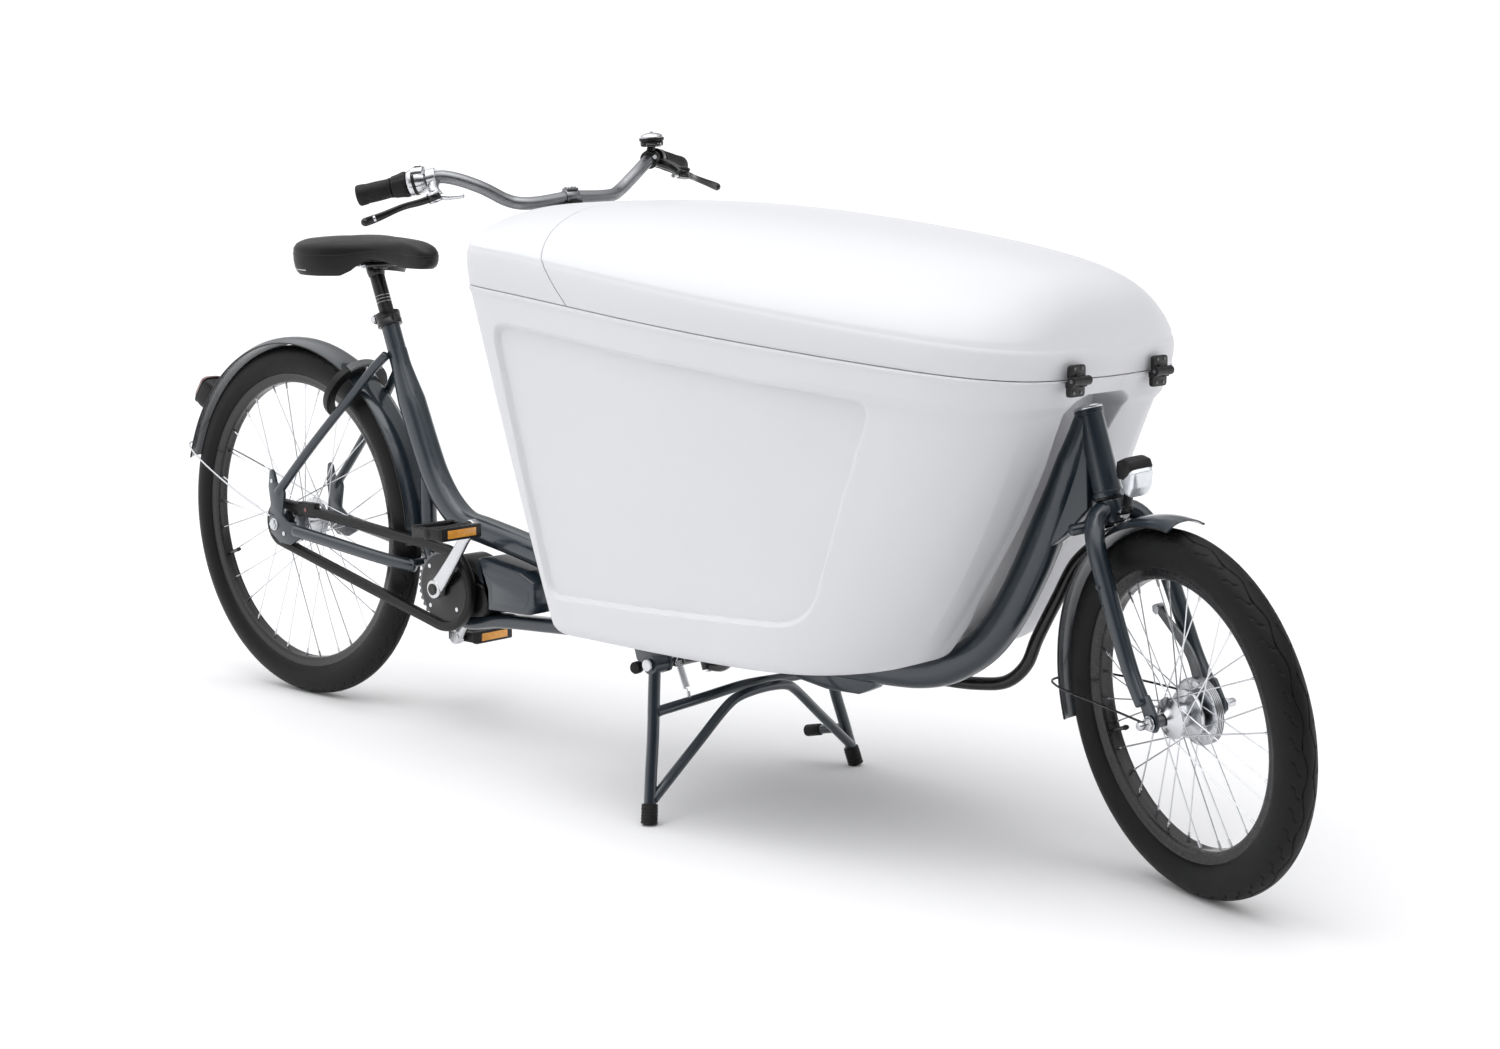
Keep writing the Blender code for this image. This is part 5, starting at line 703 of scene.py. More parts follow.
drop = [(-0.0145, 0.404), (-0.0095, 0.433), (-0.0030, 0.438), (0.0035, 0.431), (0.0085, 0.412), (0.0300, 0.404), (0.0330, 0.392), (0.0250, 0.352), (0.0400, 0.342),
        (0.0780, 0.334), (0.0800, 0.314), (0.0460, 0.298), (0.0150, 0.299), (-0.0120, 0.316), (-0.0160, 0.340), (-0.0100, 0.372)]
tp = []
for s in (-1, 1):
    tp.append((plate(drop, 0.0650 * s, 0.0710 * s, 0.0012, 0.006), "slate"))
    tp.append((tube(cr([(0.012, 0.0680 * s, 0.394), (0.100, 0.0600 * s, 0.480), (0.190, 0.0450 * s, 0.568), (0.262, 0.0285 * s, 0.640), (0.284, 0.0210 * s, 0.661)], 50), 0.0085, 24, dome=0.004), "slate"))
    tp.append((tube(cr([(0.062, 0.0680 * s, 0.326), (0.170, 0.0620 * s, 0.313), (0.290, 0.0480 * s, 0.296), (0.345, 0.0330 * s, 0.288), (0.356, 0.0270 * s, 0.286)], 50), (0.0105, 0.0115), 24, dome=0.004), "slate"))
tp.append((rod((0.3565, -0.036, 0.2915), (0.3565, 0.036, 0.2915), 0.0075, 20), "slate"))
for s in (-1, 1):
    tp.append((rod((0.0300, 0.0712 * s, 0.3180), (0.0300, 0.0728 * s, 0.3180), 0.0045, 6), "silver"))
    tp.append((rod((-0.0020, 0.0712 * s, 0.4150), (-0.0020, 0.0728 * s, 0.4150), 0.0042, 6), "silver"))
piece("rear_triangle_skin", "frame", tp, T_FRAME, ("rear_triangle",))

# ---------------------------------------------------------------- drive
MC = Vector((BB.x + 0.008, 0, BB.z - 0.002))
mot = [(lathe([(0.018, -0.0372), (0.030, -0.0372), (0.0315, -0.0385), (0.0335, -0.0372), (0.0400, -0.0368), (0.0415, -0.0380), (0.0435, -0.0368), (0.0500, -0.0352), (0.0540, -0.0325), (0.056, -0.0280), (0.0565, 0.0), (0.056, 0.0400), (0.052, 0.0480), (0.048, 0.0520), (0.040, 0.0530),
                (0.038, 0.0545), (0.030, 0.0560), (0.018, 0.0560)], 72, MC), "plastic"),
       (lathe([(0.0170, -0.0330), (0.022, -0.0330), (0.028, -0.0305), (0.030, -0.0270), (0.030, 0.0330), (0.027, 0.0375), (0.022, 0.0400)], 48, (0.526, 0, 0.243)), "plastic"),
       (plate([(0.478, 0.308), (0.505, 0.300), (0.552, 0.268), (0.552, 0.222), (0.520, 0.2120), (0.475, 0.206)], -0.0250, 0.0300, 0.003, 0.012), "plastic")]
for k in range(6):
    a = math.radians(15 + 60 * k)
    at = MC + Vector((0.0475 * math.cos(a), -0.0362, 0.0475 * math.sin(a)))
    mot.append((rod(at, at + Vector((0, 0.003, 0)) - Vector((0, 0.0045, 0)), 0.0028, 6), "dark_steel"))
piece("motor_skin", "frame", mot, T_FRAME, ("mid_motor",), sharp=30)
case = [(0.5620, 0.3200), (0.5440, 0.3230), (0.5440, 0.2820), (0.5660, 0.2700), (0.5660, 0.2320), (0.6720, 0.2350), (0.6870, 0.2540), (0.6870, 0.2920), (0.6500, 0.3070)]
bp_ = [(plate(case, -0.0420, 0.0420, 0.005, 0.006), "slate")]
for s in (-1, 1):
    bp_.append((plate([(0.578, 0.292), (0.560, 0.300), (0.560, 0.290), (0.580, 0.278), (0.580, 0.246), (0.664, 0.2480), (0.674, 0.260), (0.674, 0.279), (0.645, 0.288)], 0.0400 * s, 0.0428 * s, 0.0012, 0.005), "slate"))
piece("battery_skin", "frame", bp_, T_FRAME, ("battery_housing",), sharp=30)

teeth = []
for k in range(136):
    t = 2 * math.pi * k / 136
    r = RING_R - 0.0008 + (0.0 if k % 4 in (0, 1) else -0.0042)
    teeth.append((BB.x + r * math.cos(t), BB.z + r * math.sin(t)))
cw = [(plate(teeth, CHAIN_Y - 0.0011, CHAIN_Y + 0.0011, 0.0003), "dark_steel"),
      (lathe([(0.0125, -0.0060), (0.0290, -0.0044), (0.0300, -0.0040), (0.0480, -0.0026), (0.0570, -0.0014), (0.0600, -0.0012), (0.0600, 0.0008), (0.0300, 0.0016), (0.0125, 0.0030)], 64, (BB.x, CHAIN_Y, BB.z)), "black_metal")]
for k in range(4):
    a = math.radians(45 + 90 * k)
    at = Vector((BB.x + 0.050 * math.cos(a), CHAIN_Y - 0.0030, BB.z + 0.050 * math.sin(a)))
    cw.append((rod(at, at + Vector((0, 0.002, 0)), 0.0042, 6), "silver"))
piece("chainring_skin", "crank", cw, T_FRAME, ("chainring",), sharp=30)
cog = []
for k in range(72):
    t = 2 * math.pi * k / 72
    r = SPROCKET_R - 0.0004 + (0.0 if k % 4 in (0, 1) else -0.0040)
    cog.append((r * math.cos(t), REAR_R + r * math.sin(t)))
piece("sprocket_skin", "sprocket", [(plate(cog, CHAIN_Y - 0.0011, CHAIN_Y + 0.0011, 0.0003), "dark_steel"),
      (lathe([(0.0124, 0.0030), (0.0160, 0.0030), (0.0270, 0.0012), (0.0270, -0.0012), (0.0170, -0.0040), (0.0124, -0.0050)], 48, (0, CHAIN_Y, REAR_R)), "silver")], T_FRAME, ("rear_sprocket",), sharp=30)

A2, B2 = Vector((0, 0, REAR_R)), Vector((BB.x, 0, BB.z))
chain_base = math.atan2(B2.z - A2.z, B2.x - A2.x)
lean_a = math.asin((RING_R - SPROCKET_R) / (B2 - A2).length)


def belt(offset, front=44, rear=26, run=30):
    up, down = chain_base + math.pi / 2 + lean_a, chain_base - math.pi / 2 - lean_a
    pts = []
    for i in range(front + 1):
        t = down + (up - down) * i / front
        pts.append((B2.x + (RING_R + offset) * math.cos(t), B2.z + (RING_R + offset) * math.sin(t)))
    p = np.array(pts[-1])
    q = np.array((A2.x + (SPROCKET_R + offset) * math.cos(up), A2.z + (SPROCKET_R + offset) * math.sin(up)))
    pts += [tuple(p + (q - p) * k / run) for k in range(1, run)]
    for i in range(rear + 1):
        t = up + (2 * math.pi - (up - down)) * i / rear
        pts.append((A2.x + (SPROCKET_R + offset) * math.cos(t), A2.z + (SPROCKET_R + offset) * math.sin(t)))
    p, q = np.array(pts[-1]), np.array(pts[0])
    pts += [tuple(p + (q - p) * k / run) for k in range(1, run)]
    return pts


loop = [(x, CHAIN_Y, z) for x, z in belt(0.0006)]
gd = [(tube(loop, (0.0087, 0.0090), 24, (0, 1, 0), 3.6, closed=True), "plastic")]
gd.append((tube([(x, CHAIN_Y - 0.0089, z) for x, z in belt(0.0006)], (0.0012, 0.0010), 10, (0, 1, 0), closed=True), "plastic"))
gd.append((block((0.052, CHAIN_Y - 0.0085, 0.3510), (0.104, CHAIN_Y + 0.0060, 0.3790), 0.003), "plastic"))
gd.append((rod((0.078, CHAIN_Y - 0.0100, 0.3655), (0.078, CHAIN_Y - 0.0060, 0.3655), 0.0040, 20), "red"))
piece("chain_guard_skin", "frame", gd, T_FRAME, ("chain_guard",), sharp=40)
paint_node("chain", "dark_steel")


def crank_arm(sign):
    c, s = math.cos(CRANK_ANGLE), math.sin(CRANK_ANGLE)
    d = Vector((c, 0, s)) * (1 if sign < 0 else -1)
    pts = [BB + Vector((0, 0.0665 * sign, 0)), BB + d * 0.030 + Vector((0, 0.0665 * sign, 0)), BB + d * 0.085 + Vector((0, 0.0715 * sign, 0)), BB + d * 0.135 + Vector((0, 0.0775 * sign, 0)), BB + d * CRANK_L + Vector((0, 0.0790 * sign, 0))]
    arm = tube(cr(pts, 40), lambda t: (0.0150 - 0.0050 * min(1, t * 1.25) + 0.0018 * max(0, (t - 0.85) / 0.15), 0.0060), 28, (0, 1, 0), 3.2, dome=0.006)
    end = BB + d * CRANK_L
    y = 0.0590 * sign
    parts = [(arm, "silver"), (lathe([(0.0150, y), (0.0170, y + 0.0010 * sign), (0.0172, 0.0700 * sign), (0.0160, 0.0725 * sign), (0.0120, 0.0735 * sign)], 40, BB), "silver"),
             (lathe([(0.0100, 0.0730 * sign), (0.0105, 0.0752 * sign), (0.0080, 0.0764 * sign), (0.0040, 0.0760 * sign)], 32, BB), "black_metal"),
             (lathe([(0.0118, 0.0715 * sign), (0.0128, 0.0728 * sign), (0.0128, 0.0850 * sign), (0.0115, 0.0862 * sign)], 36, end), "silver"),
             (rod(end + Vector((0, 0.0850 * sign, 0)), end + Vector((0, 0.176 * sign, 0)), 0.0044, 20), "dark_steel"),
             (lathe([(0.0080, 0.0862 * sign), (0.0080, 0.0884 * sign)], 6, end), "dark_steel")]
    if sign < 0:
        parts.append((rod(BB - Vector((0, 0.0600, 0)), BB + Vector((0, 0.0585, 0)), 0.0105, 32), "dark_steel"))
    return parts, end


rp, pin_r = crank_arm(-1)
lp, pin_l = crank_arm(1)
piece("crank_right_skin", "crank", rp, T_FRAME, ("crank_right",))
piece("crank_left_skin", "crank", lp, T_FRAME, ("crank_left",))


def pedal(name, at, sign):
    x, z = at.x, at.z
    y0, y1 = 0.0885 * sign, 0.1840 * sign
    lo, hi = min(y0, y1), max(y0, y1)
    parts = [(lathe([(0.0075, lo), (0.0105, lo + 0.002), (0.0100, lo + 0.018), (0.0086, (lo + hi) / 2), (0.0100, hi - 0.016), (0.0104, hi - 0.003), (0.0085, hi)], 32, (x, 0, z)), "plastic"),
             (block((x - 0.036, y0 + 0.001 * sign if sign > 0 else y0 - 0.011, z - 0.0095), (x + 0.036, y0 + 0.011 if sign > 0 else y0 - 0.001, z + 0.0095), 0.002), "plastic"),
             (block((x - 0.036, y1 - 0.014 if sign > 0 else y1 + 0.002, z - 0.0095), (x + 0.036, y1 - 0.002 if sign > 0 else y1 + 0.014, z + 0.0095), 0.002), "plastic")]
    for f in (1, -1):
        xa, xb = sorted((x + 0.0275 * f, x + 0.0400 * f))
        parts.append((block((xa, lo + 0.003, z - 0.0115), (xb, hi - 0.004, z + 0.0115), 0.0025), "plastic"))
        xr = x + 0.0402 * f
        parts.append((block((min(xr - 0.0016 * f, xr + 0.0004 * f), lo + 0.016, z - 0.0070), (max(xr - 0.0016 * f, xr + 0.0004 * f), hi - 0.017, z + 0.0070), 0.0006), "amber"))
        for k in range(7):
            yy = lo + 0.012 + (hi - lo - 0.025) * k / 6
            for zz in (z + 0.0113, z - 0.0113):
                parts.append((ball((x + 0.0335 * f, yy, zz), 0.0018, (1, 1, 0.45), 10, 6), "plastic"))
    return piece(name + "_skin", name, parts, T_FRAME, (name,))


pedal("pedal_right", pin_r, -1)
pedal("pedal_left", pin_l, 1)

# ---------------------------------------------------------------- rear guard, stay, lamp and ring lock
gp = [(sheet_arc(AXLE_R, 0.3485, 0.0300, -2, 163, 160, 0.0105, 0.0018, 18), "slate")]
for s in (-1, 1):
    edge = [AXLE_R + Vector((0.3377 * math.cos(math.radians(a)), 0.0299 * s, 0.3377 * math.sin(math.radians(a)))) for a in np.linspace(-2, 163, 90)]
    gp.append((tube(edge, 0.0014, 10, (0, 1, 0), dome=0.001), "black_metal"))
tt = math.radians(163)
gp.append((tube([AXLE_R + Vector(((0.3483 - 0.0105 * abs(q) ** 2.6) * math.cos(tt), 0.0299 * q, (0.3483 - 0.0105 * abs(q) ** 2.6) * math.sin(tt))) for q in np.linspace(-1, 1, 19)], 0.0015, 10, (0, 0, 1)), "black_metal"))
piece("rear_mudguard_skin", "frame", gp, T_FRAME, ("rear_mudguard",))
tt = math.radians(159)
tail = AXLE_R + Vector((0.3527 * math.cos(tt), 0, 0.3527 * math.sin(tt)))
stay_pts = [(-0.008, -0.0740, 0.3480), (-0.150, -0.0660, 0.3950), (tail.x + 0.025, -0.0400, tail.z - 0.010), (tail.x - 0.0015, -0.0240, tail.z), (tail.x - 0.0020, 0.0, tail.z + 0.0005),
            (tail.x - 0.0015, 0.0240, tail.z), (tail.x + 0.025, 0.0400, tail.z - 0.010), (-0.150, 0.0660, 0.3950), (-0.008, 0.0740, 0.3480)]
piece("rear_stay_wire", "frame", [(tube(cr(stay_pts, 100), 0.0017, 12), "silver")], T_FRAME, ("rear_mudguard_stay",))

tt = math.radians(141.5)
out_dir = np.array((math.cos(tt), 0, math.sin(tt)))
down_dir = np.array((-math.sin(tt), 0, math.cos(tt)))
lamp_c = np.array(tuple(AXLE_R)) + out_dir * 0.3700


def lamp_loft(rows, key, power=4.5, seg=40):
    """Rounded-rectangle rings (depth, half length, half width) out from the guard."""
    verts, faces = [], []
    for u, a, b in rows:
        for k in range(seg):
            t = 2 * math.pi * k / seg
            c, s = math.cos(t), math.sin(t)
            verts.append(lamp_c + out_dir * u + down_dir * (a * math.copysign(abs(c) ** (2 / power), c)) + np.array((0, b * math.copysign(abs(s) ** (2 / power), s), 0)))
    for i in range(len(rows) - 1):
        for k in range(seg):
            q = (k + 1) % seg
            faces.append((i * seg + k, i * seg + q, (i + 1) * seg + q, (i + 1) * seg + k))
    faces.append(tuple(range(seg))[::-1])
    faces.append(tuple((len(rows) - 1) * seg + k for k in range(seg)))
    return (np.array(verts), faces), key


piece("rear_light_skin", "frame", [lamp_loft([(-0.0195, 0.0310, 0.0205), (-0.0100, 0.0318, 0.0235), (0.0020, 0.0305, 0.0258), (0.0060, 0.0290, 0.0250)], "plastic"),
      lamp_loft([(0.0058, 0.0285, 0.0243), (0.0125, 0.0270, 0.0228), (0.0160, 0.0240, 0.0200), (0.0168, 0.0190, 0.0160)], "red"),
      lamp_loft([(0.0030, 0.0322, 0.0262), (0.0050, 0.0322, 0.0262)], "plastic")], T_FRAME, ("rear_light",), sharp=40)

LOCK_T = math.radians(57.0)
LOCK_C = AXLE_R + Vector((math.cos(LOCK_T), 0, math.sin(LOCK_T))) * 0.3060
lock_up = np.array((math.cos(LOCK_T), 0, math.sin(LOCK_T)))
lock_n = np.array((-math.sin(LOCK_T), 0, math.cos(LOCK_T)))


def lock_arc(prof, a0, a1, steps, matrix=None):
    verts, faces = [], []
    m = len(prof)
    c = np.array(tuple(LOCK_C))
    for i in range(steps + 1):
        t = math.radians(a0 + (a1 - a0) * i / steps)
        radial = np.array((0, 1, 0)) * math.cos(t) + lock_up * math.sin(t)
        for r, d in prof:
            verts.append(c + radial * r + lock_n * d)
    for i in range(steps):
        for j in range(m):
            nj = (j + 1) % m
            faces.append((i * m + j, (i + 1) * m + j, (i + 1) * m + nj, i * m + nj))
    faces.append(tuple(range(m)))
    faces.append(tuple(steps * m + j for j in range(m))[::-1])
    return np.array(verts), faces


shell_prof = rounded([(0.0475, 0.0070), (0.0475, -0.0070), (0.0655, -0.0070), (0.0655, 0.0070), (0.0618, 0.0070), (0.0618, -0.0035), (0.0512, -0.0035), (0.0512, 0.0070)], 0.0012, 3)
cap_prof = rounded([(0.0600, -0.0078), (0.0662, -0.0078), (0.0662, 0.0076), (0.0600, 0.0076)], 0.0020, 4)
piece("ring_lock_skin", "frame", [(lock_arc(shell_prof, -52, 232, 90), "plastic"), (lock_arc(cap_prof, 55, 125, 36), "grey_plastic"),
      (rod(LOCK_C + Vector(tuple(lock_up * 0.0565 + lock_n * -0.0070)), LOCK_C + Vector(tuple(lock_up * 0.0565 + lock_n * -0.0125)), 0.0075, 28), "silver")], T_FRAME, ("ring_lock",), sharp=35)
bolt_prof = rounded([(0.0524, 0.0058), (0.0524, -0.0024), (0.0606, -0.0024), (0.0606, 0.0058)], 0.0022, 4)
knob_prof = rounded([(0.0535, 0.0050), (0.0535, 0.0200), (0.0595, 0.0200), (0.0595, 0.0050)], 0.0015, 3)
piece("ring_lock_bolt_skin", "ring_lock_bolt", [(lock_arc(bolt_prof, -48, 62, 50), "silver"), (lock_arc(knob_prof, 46, 58, 8), "plastic")], T_FRAME, ("ring_lock_bolt",), sharp=35)

# ---------------------------------------------------------------- seat
SADDLE = Vector((0.247, 0.0, 0.8380))
collar_c = SEAT_CLAMP - seat_dir * 0.002
piece("seat_clamp_skin", "frame", [
    (lathe([(0.0172, -0.0125), (0.0218, -0.0125), (0.0226, -0.0115), (0.0226, -0.0030), (0.0220, -0.0022), (0.0220, 0.0022), (0.0226, 0.0030), (0.0226, 0.0115), (0.0218, 0.0125), (0.0172, 0.0125)], 48, collar_c, seat_dir), "black_metal"),
    (block(tuple(collar_c + Vector((-0.0300, -0.0110, -0.0100))), tuple(collar_c + Vector((-0.0190, 0.0110, 0.0080))), 0.002), "black_metal"),
    (rod(collar_c + Vector((-0.0255, -0.0125, -0.001)), collar_c + Vector((-0.0255, 0.0125, -0.001)), 0.0042, 16), "silver"),
    (lathe([(0.0062, 0.0), (0.0066, 0.0006), (0.0066, 0.0042), (0.0058, 0.0050)], 24, collar_c + Vector((-0.0255, -0.0165, -0.001))), "silver")], T_FRAME, ("seat_clamp",))
post_top = SEAT_CLAMP + seat_dir * 0.092
marks = [(lathe([(0.01365, -0.0004), (0.01385, 0.0), (0.01365, 0.0004)], 40, SEAT_CLAMP + seat_dir * (0.030 + 0.006 * k), seat_dir), "silver") for k in range(3)]
piece("seatpost_skin", "seat", [(rod(SEAT_CLAMP - seat_dir * 0.062, post_top, 0.0136, 40), "black_metal"),
      (lathe([(0.0137, -0.012), (0.0150, -0.010), (0.0165, 0.0), (0.0160, 0.006)], 40, post_top, seat_dir), "black_metal")] + marks, T_FRAME, ("seatpost",))
cradle = [(block((SADDLE.x - 0.036, -0.0135, 0.8145), (SADDLE.x + 0.012, 0.0135, 0.8215), 0.003), "black_metal"),
          (block((SADDLE.x - 0.034, -0.0250, 0.8180), (SADDLE.x + 0.010, 0.0250, 0.8270), 0.003), "black_metal"),
          (rod((SADDLE.x - 0.012, -0.0300, 0.8215), (SADDLE.x - 0.012, 0.0300, 0.8215), 0.0050, 20, dome=0.002), "silver")]
for s in (-1, 1):
    rail = cr([(SADDLE.x - 0.122, 0.030 * s, 0.8345), (SADDLE.x - 0.106, 0.0262 * s, 0.8285), (SADDLE.x - 0.072, 0.0225 * s, 0.8230), (SADDLE.x + 0.03, 0.0205 * s, 0.8228), (SADDLE.x + 0.070, 0.0160 * s, 0.8262), (SADDLE.x + 0.094, 0.0100 * s, 0.8330)], 40)
    cradle.append((tube(rail, 0.0035, 16), "black_metal"))
piece("saddle_rails_skin", "seat", cradle, T_FRAME, ("saddle_rails",))

half_out = [(-0.148, 0.0), (-0.1475, 0.022), (-0.146, 0.045), (-0.141, 0.070), (-0.132, 0.090), (-0.114, 0.1045), (-0.092, 0.1090), (-0.070, 0.1065), (-0.048, 0.0980), (-0.022, 0.0800), (0.005, 0.0590),
            (0.028, 0.0440), (0.055, 0.0335), (0.090, 0.0270), (0.120, 0.0248), (0.136, 0.0210), (0.146, 0.0125), (0.150, 0.0)]
sad_loop = cr([(x, y, 0.0) for x, y in half_out] + [(x, -y, 0.0) for x, y in half_out[-2:0:-1]], 168, closed=True)[:, :2]


def saddle_top(x, y, ex, ey):
    """Height of the cover's top: crowned, dished behind the nose, with two padded wings."""
    u = x / 0.15
    q = min(1.0, math.hypot(ex, ey))
    base = 0.8745 - 0.0050 * max(0.0, u - 0.20) / 0.80 + 0.0065 * max(0.0, -u - 0.35) ** 1.3
    crown = -0.0120 * q**2.5 - 0.0120 * (1.0 - math.sqrt(max(0.0, 1.0 - (max(0.0, q - 0.76) / 0.24) ** 2)))
    channel = -0.0030 * math.exp(-((y / 0.011) ** 2)) * (1 if -0.75 < u < 0.62 else 0) * math.exp(-((u + 0.05) / 0.62) ** 6)
    return base + crown + channel


rows = []
inner_steps = 26
centre_xy = np.array((-0.030, 0.0))
for i in range(inner_steps + 1):
    k = i / inner_steps
    ring = []
    for x, y in sad_loop:
        px = centre_xy[0] + (x - centre_xy[0]) * k
        py = y * k
        ring.append((px, py, saddle_top(px, py, k, 0)))
    rows.append(ring)
# the side of the cover rolls down, tucks in, and ends in a piped lower edge
sides = [(0.30, 1.006, 0.0), (0.62, 1.004, 0.0), (0.94, 0.990, 0.0), (1.18, 0.966, 0.0), (1.34, 0.930, 0.0)]
last = rows[-1]
for depth, shrink, _ in sides:
    ring = []
    for (x, y), (px, py, pz) in zip(sad_loop, last):
        u = x / 0.15
        wing = min(1.0, max(0.0, abs(y) - 0.034) / 0.046) * min(1.0, max(0.0, 0.30 - u) * 3)
        drop = (0.0120 + 0.0230 * wing + 0.0095 * min(1.0, max(0.0, u - 0.20) / 0.50)) * depth
        pull = 1.0 - 0.030 * math.exp(-((depth - 0.75) / 0.35) ** 2) * math.exp(-((x - 0.005) / 0.035) ** 2)
        ring.append((centre_xy[0] + (x - centre_xy[0]) * shrink, y * shrink * pull, pz - drop))
    rows.append(ring)
under = rows[-1]
for k, lift in ((0.90, 0.004), (0.78, 0.009), (0.50, 0.013), (0.15, 0.014)):
    ring = []
    for (x, y), (px, py, pz) in zip(sad_loop, under):
        top = saddle_top(centre_xy[0] + (x - centre_xy[0]) * k, y * k, k, 0) - 0.012
        want = min(top, max(pz + lift, 0.8385 - 0.006 * (1 if abs(y) > 0.05 else 0)))
        ring.append((centre_xy[0] + (px - centre_xy[0]) * k, py * k, want))
    rows.append(ring)
nb = len(sad_loop)
sv = np.array([[(SADDLE.x + 0.003 + x, y, z) for x, y, z in ring] for ring in rows[1:]]).reshape(-1, 3)
sf = []
for i in range(len(rows) - 2):
    for k in range(nb):
        m = (k + 1) % nb
        sf.append((i * nb + k, i * nb + m, (i + 1) * nb + m, (i + 1) * nb + k))
centre_top = len(sv)
sv = np.vstack([sv, [(SADDLE.x + 0.003 + centre_xy[0], 0, saddle_top(centre_xy[0], 0, 0, 0))]])
for k in range(nb):
    sf.append((centre_top, (k + 1) % nb, k))
sf.append(tuple((len(rows) - 2) * nb + k for k in range(nb)))
saddle_parts = [((sv, sf), "saddle")]
# a stitched seam round the shoulder, and reflective piping across the rear lower edge
shoulder = np.array([(SADDLE.x + 0.003 + x, y, z) for x, y, z in rows[inner_steps + 1]])
saddle_parts.append((tube(shoulder, 0.0009, 8, (0, 0, 1), closed=True), "saddle"))
seam_low = np.array([(SADDLE.x + 0.003 + x, y, z) for x, y, z in rows[inner_steps + 4]])
order = sorted(range(nb), key=lambda k: math.atan2(sad_loop[k][1], -sad_loop[k][0]))
rear_idx = [k for k in order if sad_loop[k][0] < -0.078]
saddle_parts.append((tube([seam_low[k] + np.array((0, 0, 0.004)) for k in rear_idx], 0.0016, 10, (0, 0, 1), dome=0.002), "piping"))
saddle_obj = piece("saddle_skin", "seat", saddle_parts, T_FRAME, ("saddle",), sharp=55)

# ---------------------------------------------------------------- cargo box
RIM = [(0.833, 0.000), (0.833, 0.150), (0.834, 0.289), (0.841, 0.301), (0.858, 0.304), (0.960, 0.308), (1.080, 0.314), (1.180, 0.319), (1.280, 0.320),
       (1.380, 0.315), (1.470, 0.305), (1.560, 0.291), (1.640, 0.274), (1.710, 0.254), (1.764, 0.226), (1.800, 0.190), (1.818, 0.150), (1.826, 0.096), (1.829, 0.046)]
FLOOR = [(0.981, 0.000), (0.981, 0.140), (0.981, 0.252), (0.987, 0.268), (1.000, 0.273), (1.060, 0.277), (1.120, 0.281), (1.180, 0.284), (1.240, 0.286),
         (1.300, 0.286), (1.360, 0.284), (1.410, 0.279), (1.455, 0.268), (1.492, 0.250), (1.522, 0.222), (1.543, 0.186), (1.556, 0.142), (1.562, 0.094), (1.564, 0.048)]
Z_FLOOR = 0.2760
SEAM_Z, SEAM_X, SEAM_SLOPE = 0.8130, 0.853, 0.111


def fine_pair(n_out):
    """RIM and FLOOR resampled together along a smooth curve, the rear wall kept straight."""
    a = np.array(RIM)
    b = np.array(FLOOR)
    both = np.hstack([a, b])
    wall = np.array([both[0] + (both[2] - both[0]) * k for k in np.linspace(0, 0.93, 20)])
    bend = cr([wall[-2], wall[-1], both[2] + (both[3] - both[2]) * 0.35, (both[2] + both[3]) / 2 + (both[3] - both[2]) * 0.4, both[4]] + [q for q in both[5:]], n_out)
    keep = bend[[i for i in range(len(bend)) if i > 2]]
    return np.vstack([wall[:-1], keep])


FINE = fine_pair(430)


def seam_z(x):
    return SEAM_Z - SEAM_SLOPE * (x - SEAM_X)


def spine_back(z):
    table = [(0.262, 1.470), (0.285, 1.552), (0.320, 1.595), (0.380, 1.640), (0.450, 1.676), (0.520, 1.707), (0.590, 1.736), (0.640, 1.757), (0.720, 1.790)]
    return float(np.interp(z, [q[0] for q in table], [q[1] for q in table]))


def tunnel_half(z):
    table = [(0.0, 0.036), (0.340, 0.037), (0.375, 0.0475), (0.430, 0.0475), (0.500, 0.0470), (0.580, 0.052), (0.620, 0.062), (0.655, 0.069), (0.664, 0.0685), (0.672, 0.061), (0.679, 0.047), (0.684, 0.034), (0.700, 0.030)]
    return float(np.interp(z, [q[0] for q in table], [q[1] for q in table]))


# the pressed panel on each side: corners in side view (x, z) and their radii
PANEL = [(0.888, 0.764), (1.625, 0.680), (1.510, 0.350), (0.986, 0.335)]
PANEL_R = [0.034, 0.030, 0.085, 0.034]


def quad_distance(x, z):
    """Signed distance into the rounded panel outline, above zero inside."""
    pts = QUAD
    d = np.full(x.shape, 1e9)
    inside = np.ones(x.shape, bool)
    n = len(pts)
    for i in range(n):
        a, b = np.array(pts[i]), np.array(pts[(i + 1) % n])
        e = b - a
        L = np.linalg.norm(e)
        if L < 1e-9:
            continue
        px, pz = x - a[0], z - a[1]
        t = np.clip((px * e[0] + pz * e[1]) / (L * L), 0, 1)
        dist = np.hypot(px - e[0] * t, pz - e[1] * t)
        d = np.minimum(d, dist)
        inside &= (e[0] * pz - e[1] * px) <= 0
    return np.where(inside, d, -d)


QUAD = rounded(PANEL, PANEL_R, 12)


def smoothstep(v):
    v = np.clip(v, 0, 1)
    return v * v * (3 - 2 * v)


